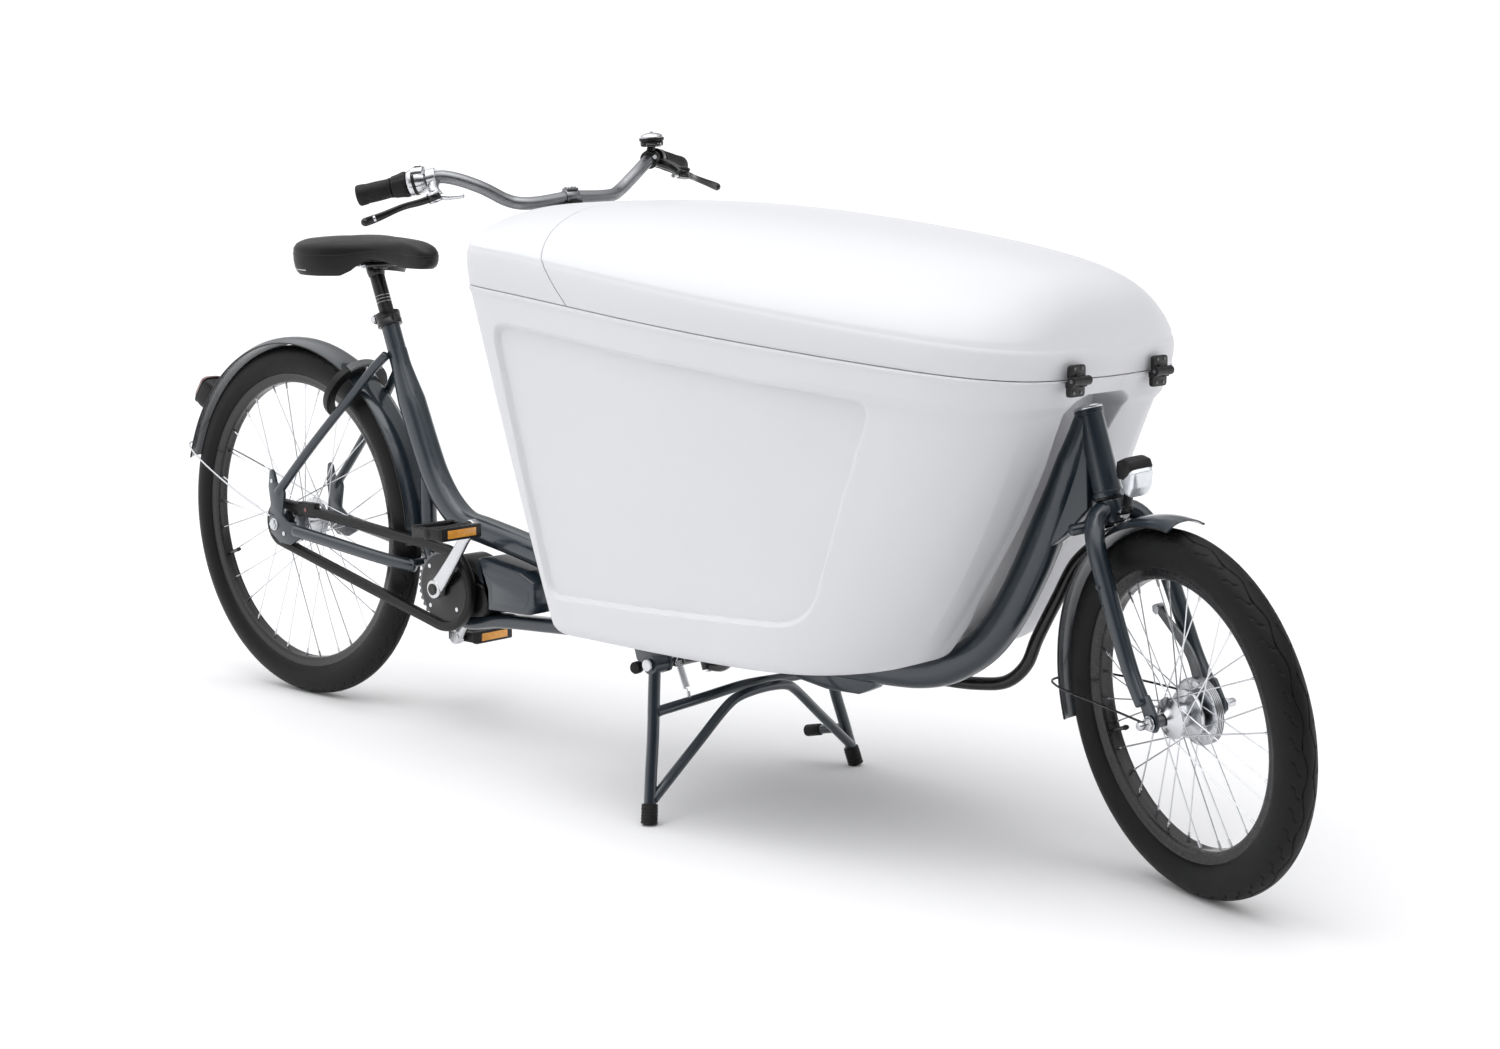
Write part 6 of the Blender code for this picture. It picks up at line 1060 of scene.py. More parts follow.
def box_ring(t, inset, groove=True, floor_z=Z_FLOOR, relief=0.0):
    """One closed ring of the tub at a share t of the height; the same rule as the part's, on finer points."""
    xr, yr, xf, yf = FINE[:, 0], FINE[:, 1], FINE[:, 2], FINE[:, 3]
    expo = np.interp(yr, [0.046, 0.070, 0.096, 0.120, 0.150], [0.86, 0.84, 0.78, 0.74, 0.68])
    u = np.where(xr > 1.40, t**expo, t)
    soft = np.clip((xr - 1.33) / 0.14, 0, 1)
    u = t * (1 - soft) + (t**expo) * soft
    x = xf + (xr - xf) * u
    y = yf + (yr - yf) * t**0.7
    z = floor_z + (SEAM_Z - SEAM_SLOPE * (xr - SEAM_X) - floor_z) * t
    dx, dy = np.gradient(x), np.gradient(y)
    L = np.maximum(1e-9, np.hypot(dx, dy))
    nx, ny = -dy / L, dx / L
    nx[0], ny[0] = -1.0, 0.0
    # panel relief on the sides only
    push = np.zeros_like(x)
    if relief:
        facing = smoothstep((np.abs(ny) - 0.55) / 0.2) * (y > 0.20)
        push = -relief * smoothstep(quad_distance(x, z) / 0.0070) * facing
    # under the rim of the nose the wall steps in, and fades out again further down
    seam = SEAM_Z - SEAM_SLOPE * (xr - SEAM_X)
    below = seam - z
    step = smoothstep((below - 0.036) / 0.016) * (1 - smoothstep((below - 0.07) / 0.16)) * smoothstep((xr - 1.42) / 0.22)
    push = push - 0.0062 * step * (1.0 if relief else 0.0)
    x = x + nx * (push - inset)
    y = y + ny * (push - inset)
    y[0] = 0.0
    zz = float(z[-1])
    nose_x = float(x[-1])
    half = tunnel_half(zz) + inset
    near = y < half + 0.004
    tail = np.arange(len(y)) > len(y) - 100
    y = np.where(tail & near, half + 0.0035, y)
    back = min(nose_x - 0.004, spine_back(zz) - 0.0145 - inset)
    if not groove:
        back = nose_x - 0.0005
    ring = [(a, b, c) for a, b, c in zip(x, y, z)]
    lip = 0.0035 if groove else 0.0
    ring.append((nose_x - lip * 0.15, half + lip * 0.35, zz))
    ring.append((nose_x - lip * 0.6, half, zz))
    for k in np.linspace(0.12, 1.0, 8):
        ring.append((nose_x - lip * 0.6 + (back - nose_x + lip * 0.6) * k, half * (1 - 0.08 * k), zz))
    for k in (0.35, 0.7, 1.0):
        ring.append((back - 0.001 * k, half * 0.92 * (1 - k), zz))
    ring[-1] = (back - 0.001, 0.0, zz)
    full = ring + [(a, -b, c) for a, b, c in ring[-2:0:-1]]
    return np.array(full)


rings = []
# lower edge rolled over about 30 mm
for k in np.linspace(0, 1, 9)[:-1]:
    a = math.pi / 2 * k
    rings.append(box_ring(0.0 + 0.040 * (1 - math.cos(a)), 0.022 * (1 - math.sin(a)), relief=0.0))
rings[0][:, 2] = Z_FLOOR
for t in np.linspace(0.040, 0.955, 190):
    rings.append(box_ring(t, 0.0, groove=t < 0.945, relief=0.0090))
for t, ins in ((0.962, 0.0), (0.975, 0.0), (0.984, -0.0004), (0.9890, -0.0019), (0.9935, -0.0024), (0.9980, -0.0013), (1.0, 0.0010)):
    rings.append(box_ring(t, ins, groove=False))
n_outer = len(rings)
for t in (1.0, 0.9965, 0.985, 0.970):
    rings.append(box_ring(t, WALL if t < 0.9995 else WALL - 0.0012, groove=False))
for t in np.linspace(0.950, 0.06, 34):
    rings.append(box_ring(t, WALL, groove=t < 0.945, relief=0.0086))
low = box_ring(0.0, 0.034)
low[:, 2] = Z_FLOOR + WALL
rings.append(low)
nb = len(rings[0])
bv = np.vstack(rings)
bf, bm_keys = [], []
for i in range(len(rings) - 1):
    for k in range(nb):
        m = (k + 1) % nb
        bf.append((i * nb + k, i * nb + m, (i + 1) * nb + m, (i + 1) * nb + k))
bf.append(tuple(range(nb))[::-1])
bf.append(tuple((len(rings) - 1) * nb + k for k in range(nb)))
box_obj = piece("cargo_box_skin", "frame", [((bv, bf), "white")], T_FRAME, ("cargo_box",), sharp=42)

# ---------------------------------------------------------------- lid and rear cowl
CROWN = [(0.80, 0.935), (0.90, 0.939), (1.00, 0.940), (1.10, 0.938), (1.22, 0.931), (1.36, 0.918), (1.50, 0.901), (1.60, 0.8865), (1.68, 0.872), (1.74, 0.857), (1.785, 0.8390), (1.812, 0.815), (1.826, 0.788), (1.8305, 0.7600)]
CROWN_FINE = cr([(x, z) for x, z in CROWN], 200)
RIM_HALF = np.vstack([FINE[FINE[:, 0] > 0.8405][:, :2], [[1.8305, 0.020], [1.8315, 0.0]]])
rh_x, rh_i = np.unique(np.round(RIM_HALF[:, 0], 5), return_index=True)
rh_y = RIM_HALF[rh_i, 1]


def rim_half(x):
    return float(max(0.001, np.interp(x, rh_x, rh_y)))


def crown_z(x):
    return float(np.interp(x, CROWN_FINE[:, 0], CROWN_FINE[:, 1]))


def crease_z(x):
    return seam_z(x) + 0.0610 - 0.0170 * min(1.0, max(0.0, (x - 0.95) / 0.85))


def dome_z(x, y):
    q = min(1.0, abs(y) / rim_half(x))
    low_z = crease_z(x)
    return low_z + max(0.0, crown_z(x) - low_z) * (1 - q**2.6) ** 0.8


half_rim = [(x, y) for x, y in FINE[:, :2]] + [(1.8300, 0.024), (1.8305, 0.0)]
lid_loop = half_rim + [(x, -y) for x, y in half_rim[-2:0:-1]]
lid_np = np.array(lid_loop)
d_np = np.roll(lid_np, -1, 0) - np.roll(lid_np, 1, 0)
d_np /= np.maximum(1e-9, np.linalg.norm(d_np, axis=1))[:, None]
n_np = np.stack([-d_np[:, 1], d_np[:, 0]], 1)


def lid_ring(rho, inset):
    p = lid_np - n_np * inset
    return np.stack([1.20 + (p[:, 0] - 1.20) * rho, p[:, 1] * rho], 1)


lid_rings = []


def add_ring(rho, inset, fn):
    p = lid_ring(rho, inset)
    lid_rings.append(np.array([(x, y, fn(x, y)) for x, y in p]))


EDGE = 0.0022
add_ring(1.0, 0.0026, lambda x, y: seam_z(x) + 0.0007)
add_ring(1.0, 0.0008, lambda x, y: seam_z(x) + 0.0010)
add_ring(1.0, 0.0, lambda x, y: seam_z(x) + 0.0020)
for k in np.linspace(0.10, 0.86, 9):
    add_ring(1.0, -0.0030 * math.sin(math.pi * min(1, k * 0.9)), lambda x, y, k=k: seam_z(x) + 0.0040 + (crease_z(x) - seam_z(x) - 0.0040) * k)
add_ring(1.0, -0.0006, lambda x, y: crease_z(x) - 0.0040)
add_ring(1.0, 0.0004, lambda x, y: crease_z(x) - 0.0014)
for rho in (0.9975, 0.994, 0.988, 0.98, 0.97, 0.955, 0.94, 0.92, 0.90, 0.87, 0.84, 0.80, 0.76, 0.71, 0.66, 0.60, 0.54, 0.47, 0.40, 0.32, 0.24, 0.16, 0.08):
    add_ring(rho, 0.0, dome_z)
n_top = len(lid_rings)
TH = WALL
for rho in (0.08, 0.24, 0.40, 0.54, 0.66, 0.76, 0.84, 0.90, 0.94, 0.97, 0.985):
    add_ring(rho, 0.0, lambda x, y: dome_z(x, y) - TH)
add_ring(0.993, TH * 0.7, lambda x, y: min(dome_z(x, y), crease_z(x) + 0.004) - TH)
for k in (0.85, 0.55, 0.25):
    add_ring(1.0, TH - 0.002, lambda x, y, k=k: seam_z(x) + (crease_z(x) - seam_z(x)) * k)
add_ring(1.0, TH - 0.001, lambda x, y: seam_z(x) + 0.0007)
lb = len(lid_rings[0])
lv = np.vstack(lid_rings)
lf = []
for i in range(len(lid_rings) - 1):
    if i == n_top - 1:
        continue
    for k in range(lb):
        m = (k + 1) % lb
        lf.append((i * lb + k, i * lb + m, (i + 1) * lb + m, (i + 1) * lb + k))
for k in range(lb):
    m = (k + 1) % lb
    lf.append(((len(lid_rings) - 1) * lb + k, (len(lid_rings) - 1) * lb + m, m, k))
c_out = len(lv)
lv = np.vstack([lv, [(1.20, 0, dome_z(1.20, 0)), (1.20, 0, dome_z(1.20, 0) - TH)]])
for k in range(lb):
    m = (k + 1) % lb
    lf.append(((n_top - 1) * lb + k, (n_top - 1) * lb + m, c_out))
    lf.append((n_top * lb + m, n_top * lb + k, c_out + 1))
JOINT_AT, JOINT_DIR = Vector((1.071, 0, 0.791)), Vector((-0.642, 0, 0.766))
joint_n = Vector((JOINT_DIR.z, 0, -JOINT_DIR.x))


def half_shell(name, body, side, node):
    """One side of the slanting joint, closed where it is cut."""
    mesh = bpy.data.meshes.new(name)
    mesh.from_pydata(lv.tolist(), [], lf)
    bm = bmesh.new()
    bm.from_mesh(mesh)
    bmesh.ops.remove_doubles(bm, verts=bm.verts, dist=1e-6)
    bmesh.ops.recalc_face_normals(bm, faces=bm.faces)
    res = bmesh.ops.bisect_plane(bm, geom=list(bm.verts) + list(bm.edges) + list(bm.faces), dist=1e-6, plane_co=JOINT_AT + joint_n * 0.0010 * side, plane_no=joint_n * side, clear_inner=True)
    bmesh.ops.holes_fill(bm, edges=[e for e in bm.edges if e.is_boundary], sides=0)
    bmesh.ops.recalc_face_normals(bm, faces=bm.faces)
    bm.to_mesh(mesh)
    bm.free()
    mesh.transform(T_FRAME)
    mesh.materials.append(M["white"])
    mesh.shade_smooth()
    mesh.set_sharp_from_angle(angle=math.radians(32))
    obj = bpy.data.objects.new(name, mesh)
    bpy.context.scene.collection.objects.link(obj)
    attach(obj, body)
    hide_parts(node)
    return obj


lid_obj = half_shell("cargo_lid_skin", "lid", 1, "cargo_lid")
cowl_obj = half_shell("box_cowl_skin", "frame", -1, "box_rear_cowl")

def YZ(x0):
    """Stands a plate up square to X: its outline is (y, z) and its thickness runs forward from x0."""
    return Matrix(((0, 1, 0, x0), (1, 0, 0, 0), (0, 0, 1, 0), (0, 0, 0, 1)))


for s, word in ((-1, "right"), (1, "left")):
    y = 0.100 * s
    x, z = LID_HINGE.x - 0.0105, LID_HINGE.z
    base = [(plate([(y - 0.0185, z - 0.0222), (y + 0.0185, z - 0.0222), (y + 0.0185, z - 0.0004), (y - 0.0185, z - 0.0004)], 0, 0.0066, 0.0016, 0.0062, YZ(x - 0.0012)), "plastic"),
            (rod((LID_HINGE.x - 0.001, y - 0.0200, z), (LID_HINGE.x - 0.001, y - 0.0075, z), 0.0066, 28, dome=0.0008), "plastic"),
            (rod((LID_HINGE.x - 0.001, y + 0.0075, z), (LID_HINGE.x - 0.001, y + 0.0200, z), 0.0066, 28, dome=0.0008), "plastic"),
            (block((x - 0.0010, y - 0.0200, z - 0.0090), (x + 0.0080, y - 0.0075, z - 0.0010), 0.001), "plastic"),
            (block((x - 0.0010, y + 0.0075, z - 0.0090), (x + 0.0080, y + 0.0200, z - 0.0010), 0.001), "plastic"),
            (rod((LID_HINGE.x - 0.001, y - 0.0208, z), (LID_HINGE.x - 0.001, y + 0.0208, z), 0.0026, 16), "dark_steel")]
    leaf = [(plate([(y - 0.0180, z + 0.0010), (y + 0.0180, z + 0.0010), (y + 0.0180, z + 0.0215), (y - 0.0180, z + 0.0215)], 0, 0.0066, 0.0016, 0.0062, YZ(x + 0.0002)), "plastic"),
            (rod((LID_HINGE.x - 0.001, y - 0.0070, z), (LID_HINGE.x - 0.001, y + 0.0070, z), 0.0066, 28), "plastic"),
            (block((x + 0.0010, y - 0.0070, z + 0.0015), (x + 0.0085, y + 0.0070, z + 0.0095), 0.001), "plastic")]
    for k in (-0.0085, 0.0085):
        base.append((lathe([(0.0024, 0.0), (0.0024, 0.0006), (0.0016, 0.0010)], 16, (x + 0.0054, y + k, z - 0.0165), (1, 0, 0)), "dark_steel"))
        leaf.append((lathe([(0.0024, 0.0), (0.0024, 0.0006), (0.0016, 0.0010)], 16, (x + 0.0068, y + k, z + 0.0165), (1, 0, 0)), "dark_steel"))
    piece("hinge_base_" + word + "_skin", "frame", base, T_FRAME, ("hinge_base_" + word,))
    piece("hinge_leaf_" + word + "_skin", "lid", leaf, T_FRAME, ("hinge_leaf_" + word,))

# ---------------------------------------------------------------- kickstand
ARCH = [(1.1590, -0.2330, 0.0370), (1.1660, -0.1450, 0.1070), (1.1722, -0.0760, 0.1610), (1.1745, -0.0560, 0.1700), (1.1765, 0.0000, 0.1755), (1.1745, 0.0560, 0.1700), (1.1722, 0.0760, 0.1610), (1.1660, 0.1450, 0.1070), (1.1590, 0.2330, 0.0370)]
st = []
for s in (-1, 1):
    st.append((rod((STAND_PIVOT.x, 0.1812 * s, STAND_PIVOT.z), (STAND_PIVOT.x, 0.2093 * s, STAND_PIVOT.z), 0.0150, 36), "slate"))
    leg_pts = cr([(1.1318, 0.1985 * s, 0.2300), (1.1355, 0.2050 * s, 0.1850), (1.1415, 0.2140 * s, 0.1300), (1.1505, 0.2290 * s, 0.0700), (1.1592, 0.2420 * s, 0.0120)], 40)
    st.append((tube(leg_pts, 0.0095, 28, (1, 0, 0)), "slate"))
st.append((tube(cr([(1.1400, -0.2080, 0.1660), (1.1375, -0.1000, 0.1700), (1.1365, 0, 0.1745), (1.1375, 0.1000, 0.1700), (1.1400, 0.2080, 0.1660)], 40), 0.0082, 24), "slate"))
st.append((tube(cr(ARCH, 90), 0.0080, 24), "slate"))
st.append((rod((1.1500, 0.2290, 0.0650), (1.0790, 0.2219, 0.0503), 0.0078, 24), "slate"))
st.append((rod((1.1010, 0.2241, 0.0549), (1.0750, 0.2215, 0.0495), 0.0100, 28, dome=0.005), "rubber"))
st.append((rod((1.1385, -0.1300, 0.1730), (1.1365, -0.1300, 0.1850), 0.0028, 14), "silver"))
for s in (-1, 1):
    for a, b in (((1.1400, 0.2080 * s, 0.1660), (1.1395, 0.2000 * s, 0.1668)),):
        st.append((rod(a, b, 0.0095, 24), "slate"))
piece("kickstand_skin", "stand", st, T_FRAME, ("kickstand",))
for s, word in ((-1, "right"), (1, "left")):
    top, foot = Vector((1.1562, 0.2378 * s, 0.0310)), Vector((1.1613, 0.2450 * s, 0.0008))
    axis_d = (foot - top).normalized()
    length = (foot - top).length
    prof = [(0.0096, 0.0), (0.0122, 0.0004), (0.0126, 0.0030)]
    for k in range(4):
        y = 0.0060 + 0.0050 * k
        prof += [(0.0124, y), (0.0130, y + 0.0010), (0.0130, y + 0.0028), (0.0122, y + 0.0036)]
    prof += [(0.0132, length - 0.003), (0.0126, length - 0.0012), (0.0100, length - 0.0008)]
    shape = lathe(prof, 40, top, axis_d)
    v = shape[0]
    v[:, 2] = np.maximum(v[:, 2], 0.0002)
    piece("stand_foot_" + word + "_skin", "stand", [((v, shape[1]), "rubber")], T_FRAME, ("stand_foot_" + word,), sharp=45)
# the return spring, a real coil with a short straight end at each side
p0, p1 = np.array((1.1360, -0.1303, 0.1845)), np.array((1.1155, -0.1330, 0.2385))
sd = unit(p1 - p0)
su = unit(np.cross(sd, (0, 1, 0)))
sw = np.cross(sd, su)
helix = []
turns, L = 15, np.linalg.norm(p1 - p0)
for k in range(turns * 18 + 1):
    a = 2 * math.pi * k / 18
    t = k / (turns * 18)
    helix.append(p0 + sd * (0.007 + (L - 0.014) * t) + su * (0.0050 * math.cos(a)) + sw * (0.0050 * math.sin(a)))
coil = np.array([p0 + sw * 0.0, p0 + sd * 0.004] + helix + [p1 - sd * 0.004, p1])
spring_obj = piece("stand_spring_coil", "frame", [(tube(coil, 0.00085, 8, tuple(su)), "silver")], T_FRAME, ("stand_spring",), sharp=60)
# the rubber buffer on the frame side
piece("stand_stop", "frame", [(lathe([(0.0050, 0.0), (0.0092, 0.0005), (0.0096, 0.0030), (0.0096, 0.0110), (0.0084, 0.0130), (0.0040, 0.0134)], 28, (1.0937, -0.194, 0.2287), (0.15, -1.0, 0.0)), "rubber")], T_FRAME, ())

# ---------------------------------------------------------------- steering column and rod
fwd_c = Vector((math.cos(HEAD_TILT), 0, math.sin(HEAD_TILT)))
ARM_C = Vector((column_x(0.1915), 0, 0.1915))
column_end = ARM_C + fwd_c * (-0.038 * 22.0 / 14.1) + Vector((0, 0.060 * 22.0 / 14.1, 0))


def on_column(z):
    return Vector((column_x(z), 0, z))


colp = [(rod(on_column(0.185), on_column(0.925), 0.0146, 40), "black_metal"),
        (rod(ARM_C, column_end, 0.0090, 28), "black_metal"),
        (lathe([(0.0070, -0.0080), (0.0112, -0.0080), (0.0120, -0.0068), (0.0120, 0.0068), (0.0112, 0.0080), (0.0070, 0.0080)], 36, column_end, AXIS), "black_metal"),
        (lathe([(0.0062, 0.0078), (0.0066, 0.0100), (0.0040, 0.0112)], 6, column_end, AXIS), "silver"),
        (lathe([(0.0150, -0.008), (0.0186, -0.008), (0.0192, -0.0068), (0.0192, 0.0050), (0.0180, 0.0070), (0.0150, 0.0085)], 44, on_column(0.384), AXIS), "black_metal")]
piece("steering_column_skin", "bars", colp, T_BARS, ("steering_column",))

inv_frame = T_FRAME.inverted()
rear_joint = (inv_frame @ T_BARS) @ (column_end - AXIS * 0.0088)
front_joint = (inv_frame @ T_FORK) @ (off_head(-0.038, 0.060, -0.0083))
rod_pts = [rear_joint - AXIS * 0.0098, rear_joint + Vector((0.035, 0.0, -0.0065)), Vector((1.050, 0.0830, 0.2064)), Vector((1.085, 0.0828, 0.2136)), Vector((1.120, 0.0823, 0.2190)), Vector((1.165, 0.0815, 0.2190)), Vector((1.250, 0.0800, 0.2150)), Vector((1.430, 0.0760, 0.2170)), Vector((1.545, 0.0740, 0.2215)),
           Vector((1.600, 0.0730, 0.2330)), Vector((1.634, 0.0725, 0.2620)), Vector((1.654, 0.0720, 0.3050)), Vector((1.690, 0.0715, 0.3700)), Vector((1.722, 0.0715, 0.4250)),
           Vector((1.762, 0.0710, 0.4600)), front_joint + Vector((-0.030, 0.0, -0.0130)), front_joint - AXIS * 0.0098]
piece("steering_rod_skin", "steering_rod", [(tube(cr(rod_pts, 150), lambda t: 0.0080 + 0.0020 * min(1, 8 * t, 8 * (1 - t)), 24), "black_metal"),
      (rod(rear_joint, rear_joint - AXIS * 0.0150, 0.0115, 32, dome=0.001), "black_metal"), (rod(front_joint, front_joint - AXIS * 0.0140, 0.0105, 32, dome=0.001), "black_metal"),
      (lathe([(0.0064, 0.0), (0.0066, 0.0040), (0.0040, 0.0050)], 6, rear_joint - AXIS * 0.0155, -AXIS), "silver")], T_FRAME, ("steering_rod",))

# ---------------------------------------------------------------- handlebar
bar_half = [(0.0000, 0.0000, 0.0000), (0.0000, 0.0300, -0.0020), (-0.0010, 0.0600, -0.0040), (-0.0060, 0.0850, -0.0035), (-0.0150, 0.1000, 0.0000), (-0.0205, 0.1150, 0.0070), (-0.0240, 0.1300, 0.0165),
            (-0.0282, 0.1450, 0.0257), (-0.0351, 0.1600, 0.0337), (-0.0436, 0.1750, 0.0409), (-0.0532, 0.1900, 0.0465), (-0.0610, 0.2030, 0.0492), (-0.0700, 0.2150, 0.0480), (-0.0781, 0.2247, 0.0458),
            (-0.1105, 0.2635, 0.0370), (-0.1510, 0.3120, 0.0260)]
RUN_A, RUN_B = Vector(bar_half[12]), Vector(bar_half[15])
bar_pts = [(x, -y, z) for x, y, z in bar_half[::-1]] + bar_half[1:]
piece("handlebar_skin", "bars", [(tube(cr([COLUMN + Vector(p) for p in bar_pts], 200), 0.0106, 28), "alloy")], T_BARS, ("handlebar",))
clampp = [(lathe([(0.0108, -0.0120), (0.0126, -0.0120), (0.0134, -0.0108), (0.0134, 0.0108), (0.0126, 0.0120), (0.0108, 0.0120)], 44, COLUMN), "alloy"),
          (rod(on_column(0.934), on_column(0.902), 0.0180, 40, 0.0172), "black_metal"),
          (lathe([(0.0172, 0.0), (0.0180, 0.0012), (0.0180, 0.0050), (0.0172, 0.0062)], 40, on_column(0.9045), AXIS), "black_metal"),
          (block((COLUMN.x - 0.0085, -0.0105, COLUMN.z + 0.0110), (COLUMN.x + 0.0105, 0.0105, COLUMN.z + 0.0148), 0.0012), "dark_steel")]
for s in (-1, 1):
    clampp.append((rod((COLUMN.x + 0.0060, 0.0062 * s, COLUMN.z + 0.0140), (COLUMN.x + 0.0060, 0.0062 * s, COLUMN.z + 0.0168), 0.0026, 20), "silver"))
    clampp.append((rod((COLUMN.x - 0.0045, 0.0062 * s, COLUMN.z + 0.0140), (COLUMN.x - 0.0045, 0.0062 * s, COLUMN.z + 0.0168), 0.0026, 20), "silver"))
piece("bar_clamp_skin", "bars", clampp, T_BARS, ("bar_clamp",))


def on_bar(s, dist):
    a, b = Vector((RUN_A.x, RUN_A.y * s, RUN_A.z)), Vector((RUN_B.x, RUN_B.y * s, RUN_B.z))
    d = (b - a).normalized()
    return COLUMN + a + d * dist, d


for s, word in ((-1, "right"), (1, "left")):
    start = 0.0680 if s < 0 else 0.0120
    p, d = on_bar(s, start)
    q, _ = on_bar(s, 0.1262)
    L = (q - p).length
    flat = [(0.0112, 0.0), (0.0150, 0.0), (0.0163, 0.0012), (0.0164, 0.0036), (0.0150, 0.0052)]
    y = 0.0058
    k = 0
    while y < L - 0.016:
        swell = 0.0149 + 0.0009 * math.sin(math.pi * (y / L)) + 0.0016 * smoothstep((y / L - 0.62) / 0.4)
        flat += [(swell, y), (swell + 0.0005, y + 0.0008), (swell + 0.0005, y + 0.0017), (swell, y + 0.0024)]
        y += 0.0031
    flat += [(0.0168, L - 0.0120), (0.0172, L - 0.0050), (0.0172, L - 0.0012), (0.0164, L + 0.0008), (0.0112, L + 0.0014)]
    gparts = [(lathe(flat, 56, p, d, ripple=lambda t, j: 1.0 + 0.018 * max(0.0, math.cos(t + 1.2)) ** 2), "rubber")]
    gparts.append((rod(q - d * 0.002, q + d * 0.0014, 0.0108, 32), "plastic"))
    piece("grip_" + word + "_skin", "bars", gparts, T_BARS, ("grip_" + word,), sharp=50)

    at = COLUMN + Vector((RUN_A.x, RUN_A.y * s, RUN_A.z))
    tangent = Vector((RUN_B.x - RUN_A.x, (RUN_B.y - RUN_A.y) * s, RUN_B.z - RUN_A.z)).normalized()
    pivot = COLUMN + Vector((-0.0224, 0.2374 * s, 0.0200))
    tip = COLUMN + Vector((-0.0750, 0.3387 * s, -0.0123))
    key = "silver" if s < 0 else "black_metal"
    nose = tube(cr([at + Vector((0.008, 0.002 * s, -0.008)), at.lerp(pivot, 0.6), pivot + Vector((0.003, -0.006 * s, 0.001))], 20), lambda t: (0.0095 - 0.0012 * t, 0.0088 - 0.0012 * t), 24, dome=0.004)
    lever_dir = (tip - pivot).normalized()
    side = lever_dir.cross(Vector((0, 0, 1))).normalized()
    up = side.cross(lever_dir).normalized()
    bparts = [(lathe([(0.0112, -0.008), (0.0148, -0.008), (0.0158, -0.0068), (0.0158, 0.0068), (0.0148, 0.008), (0.0112, 0.008)], 40, at, tangent), key), (nose, key),
              (lathe([(0.0040, 0.0052), (0.0112, 0.0052), (0.0118, 0.0062), (0.0118, 0.0078), (0.0108, 0.0088), (0.0040, 0.0090)], 32, pivot, up), key),
              (lathe([(0.0040, -0.0052), (0.0112, -0.0052), (0.0118, -0.0062), (0.0118, -0.0078), (0.0108, -0.0088), (0.0040, -0.0090)], 32, pivot, up), key),
              (lathe([(0.0042, 0.0090), (0.0044, 0.0104), (0.0030, 0.0108)], 24, pivot, up), "silver")]
    # the cable's barrel adjuster and its first length of cable, pointing forward and inward
    b0 = pivot + Vector((0.012, -0.020 * s, -0.002))
    b1 = b0 + Vector((0.016, -0.018 * s, 0.001))
    bparts += [(rod(pivot + Vector((0.004, -0.010 * s, 0.0)), b0, 0.0052, 20), key), (rod(b0, b1, 0.0042, 20, 0.0036), "silver")]
    piece("brake_bracket_" + word + "_skin", "bars", bparts, T_BARS, ("brake_bracket_" + word,))
    bend = pivot.lerp(tip, 0.45) + side * (0.006 if s < 0 else -0.006) + up * 0.002
    lev = tube(cr([pivot + lever_dir * 0.002, pivot.lerp(tip, 0.2), bend, pivot.lerp(tip, 0.8), tip], 50), lambda t: (0.0040 - 0.0006 * t, 0.0064 - 0.0014 * math.sin(math.pi * min(1, t * 1.1)) + 0.0006 * t), 24, tuple(up), 2.6, dome=0.003)
    lparts = [(lev, "black_metal"), (lathe([(0.0030, -0.0043), (0.0100, -0.0043), (0.0106, -0.0034), (0.0106, 0.0034), (0.0100, 0.0043), (0.0030, 0.0043)], 36, pivot, up), "black_metal"),
              (ball(tip, 0.0066, (1, 1, 1), 24, 14), "black_metal")]
    band_c = pivot.lerp(tip, 0.86)
    if s < 0:
        lparts.append((lathe([(0.0050, -0.0022), (0.0058, -0.0014), (0.0058, 0.0014), (0.0050, 0.0022)], 28, band_c, lever_dir), "silver"))
    piece("brake_lever_" + word + "_skin", "brake_lever_" + word, lparts, T_BARS, ("brake_lever_" + word,))

p, d = on_bar(-1, 0.0405)
q, _ = on_bar(-1, 0.0672)
L = (q - p).length
piece("twist_shifter_skin", "twist_shifter", [(lathe([(0.0112, 0.0), (0.0190, 0.0), (0.0206, 0.0014), (0.0212, 0.0050), (0.0204, 0.0090), (0.0190, 0.0150), (0.0180, L - 0.003), (0.0174, L - 0.0006), (0.0112, L - 0.0002)], 144, p, d,
      ripple=lambda t, j: 1.0 + (0.026 * (0.5 + 0.5 * math.copysign(abs(math.cos(12 * t)) ** 0.5, math.cos(12 * t))) - 0.013 if 2 <= j <= 6 else 0.0)), "rubber")], T_BARS, ("twist_shifter",), sharp=50)
hp, hd = on_bar(-1, 0.0100)
hs = [(lathe([(0.0112, 0.0), (0.0178, 0.0), (0.0190, 0.0020), (0.0212, 0.0085), (0.0214, 0.0130), (0.0214, 0.0235), (0.0206, 0.0275), (0.0190, 0.0298), (0.0112, 0.0300)], 60, hp, hd), "silver"),
      (lathe([(0.0213, 0.0150), (0.02185, 0.0155), (0.02185, 0.0205), (0.0213, 0.0210)], 60, hp, hd), "plastic"),
      (tube(cr([hp + hd * 0.006 + Vector((0.004, 0.0, 0.012)), hp + hd * 0.015 + Vector((0.004, 0.0, 0.0132)), hp + hd * 0.024 + Vector((0.004, 0.0, 0.014))], 12), (0.0148, 0.0108), 28, (0, 0, 1), 2.6, dome=0.003), "silver"),
      (tube([hp + hd * 0.010 + Vector((0.004, 0.0, 0.0185)), hp + hd * 0.020 + Vector((0.004, 0.0, 0.0200))], (0.0052, 0.0062), 24, (0, 0, 1), 3.2, dome=0.001), "plastic")]
piece("shifter_housing_skin", "bars", hs, T_BARS, ("shifter_housing",))

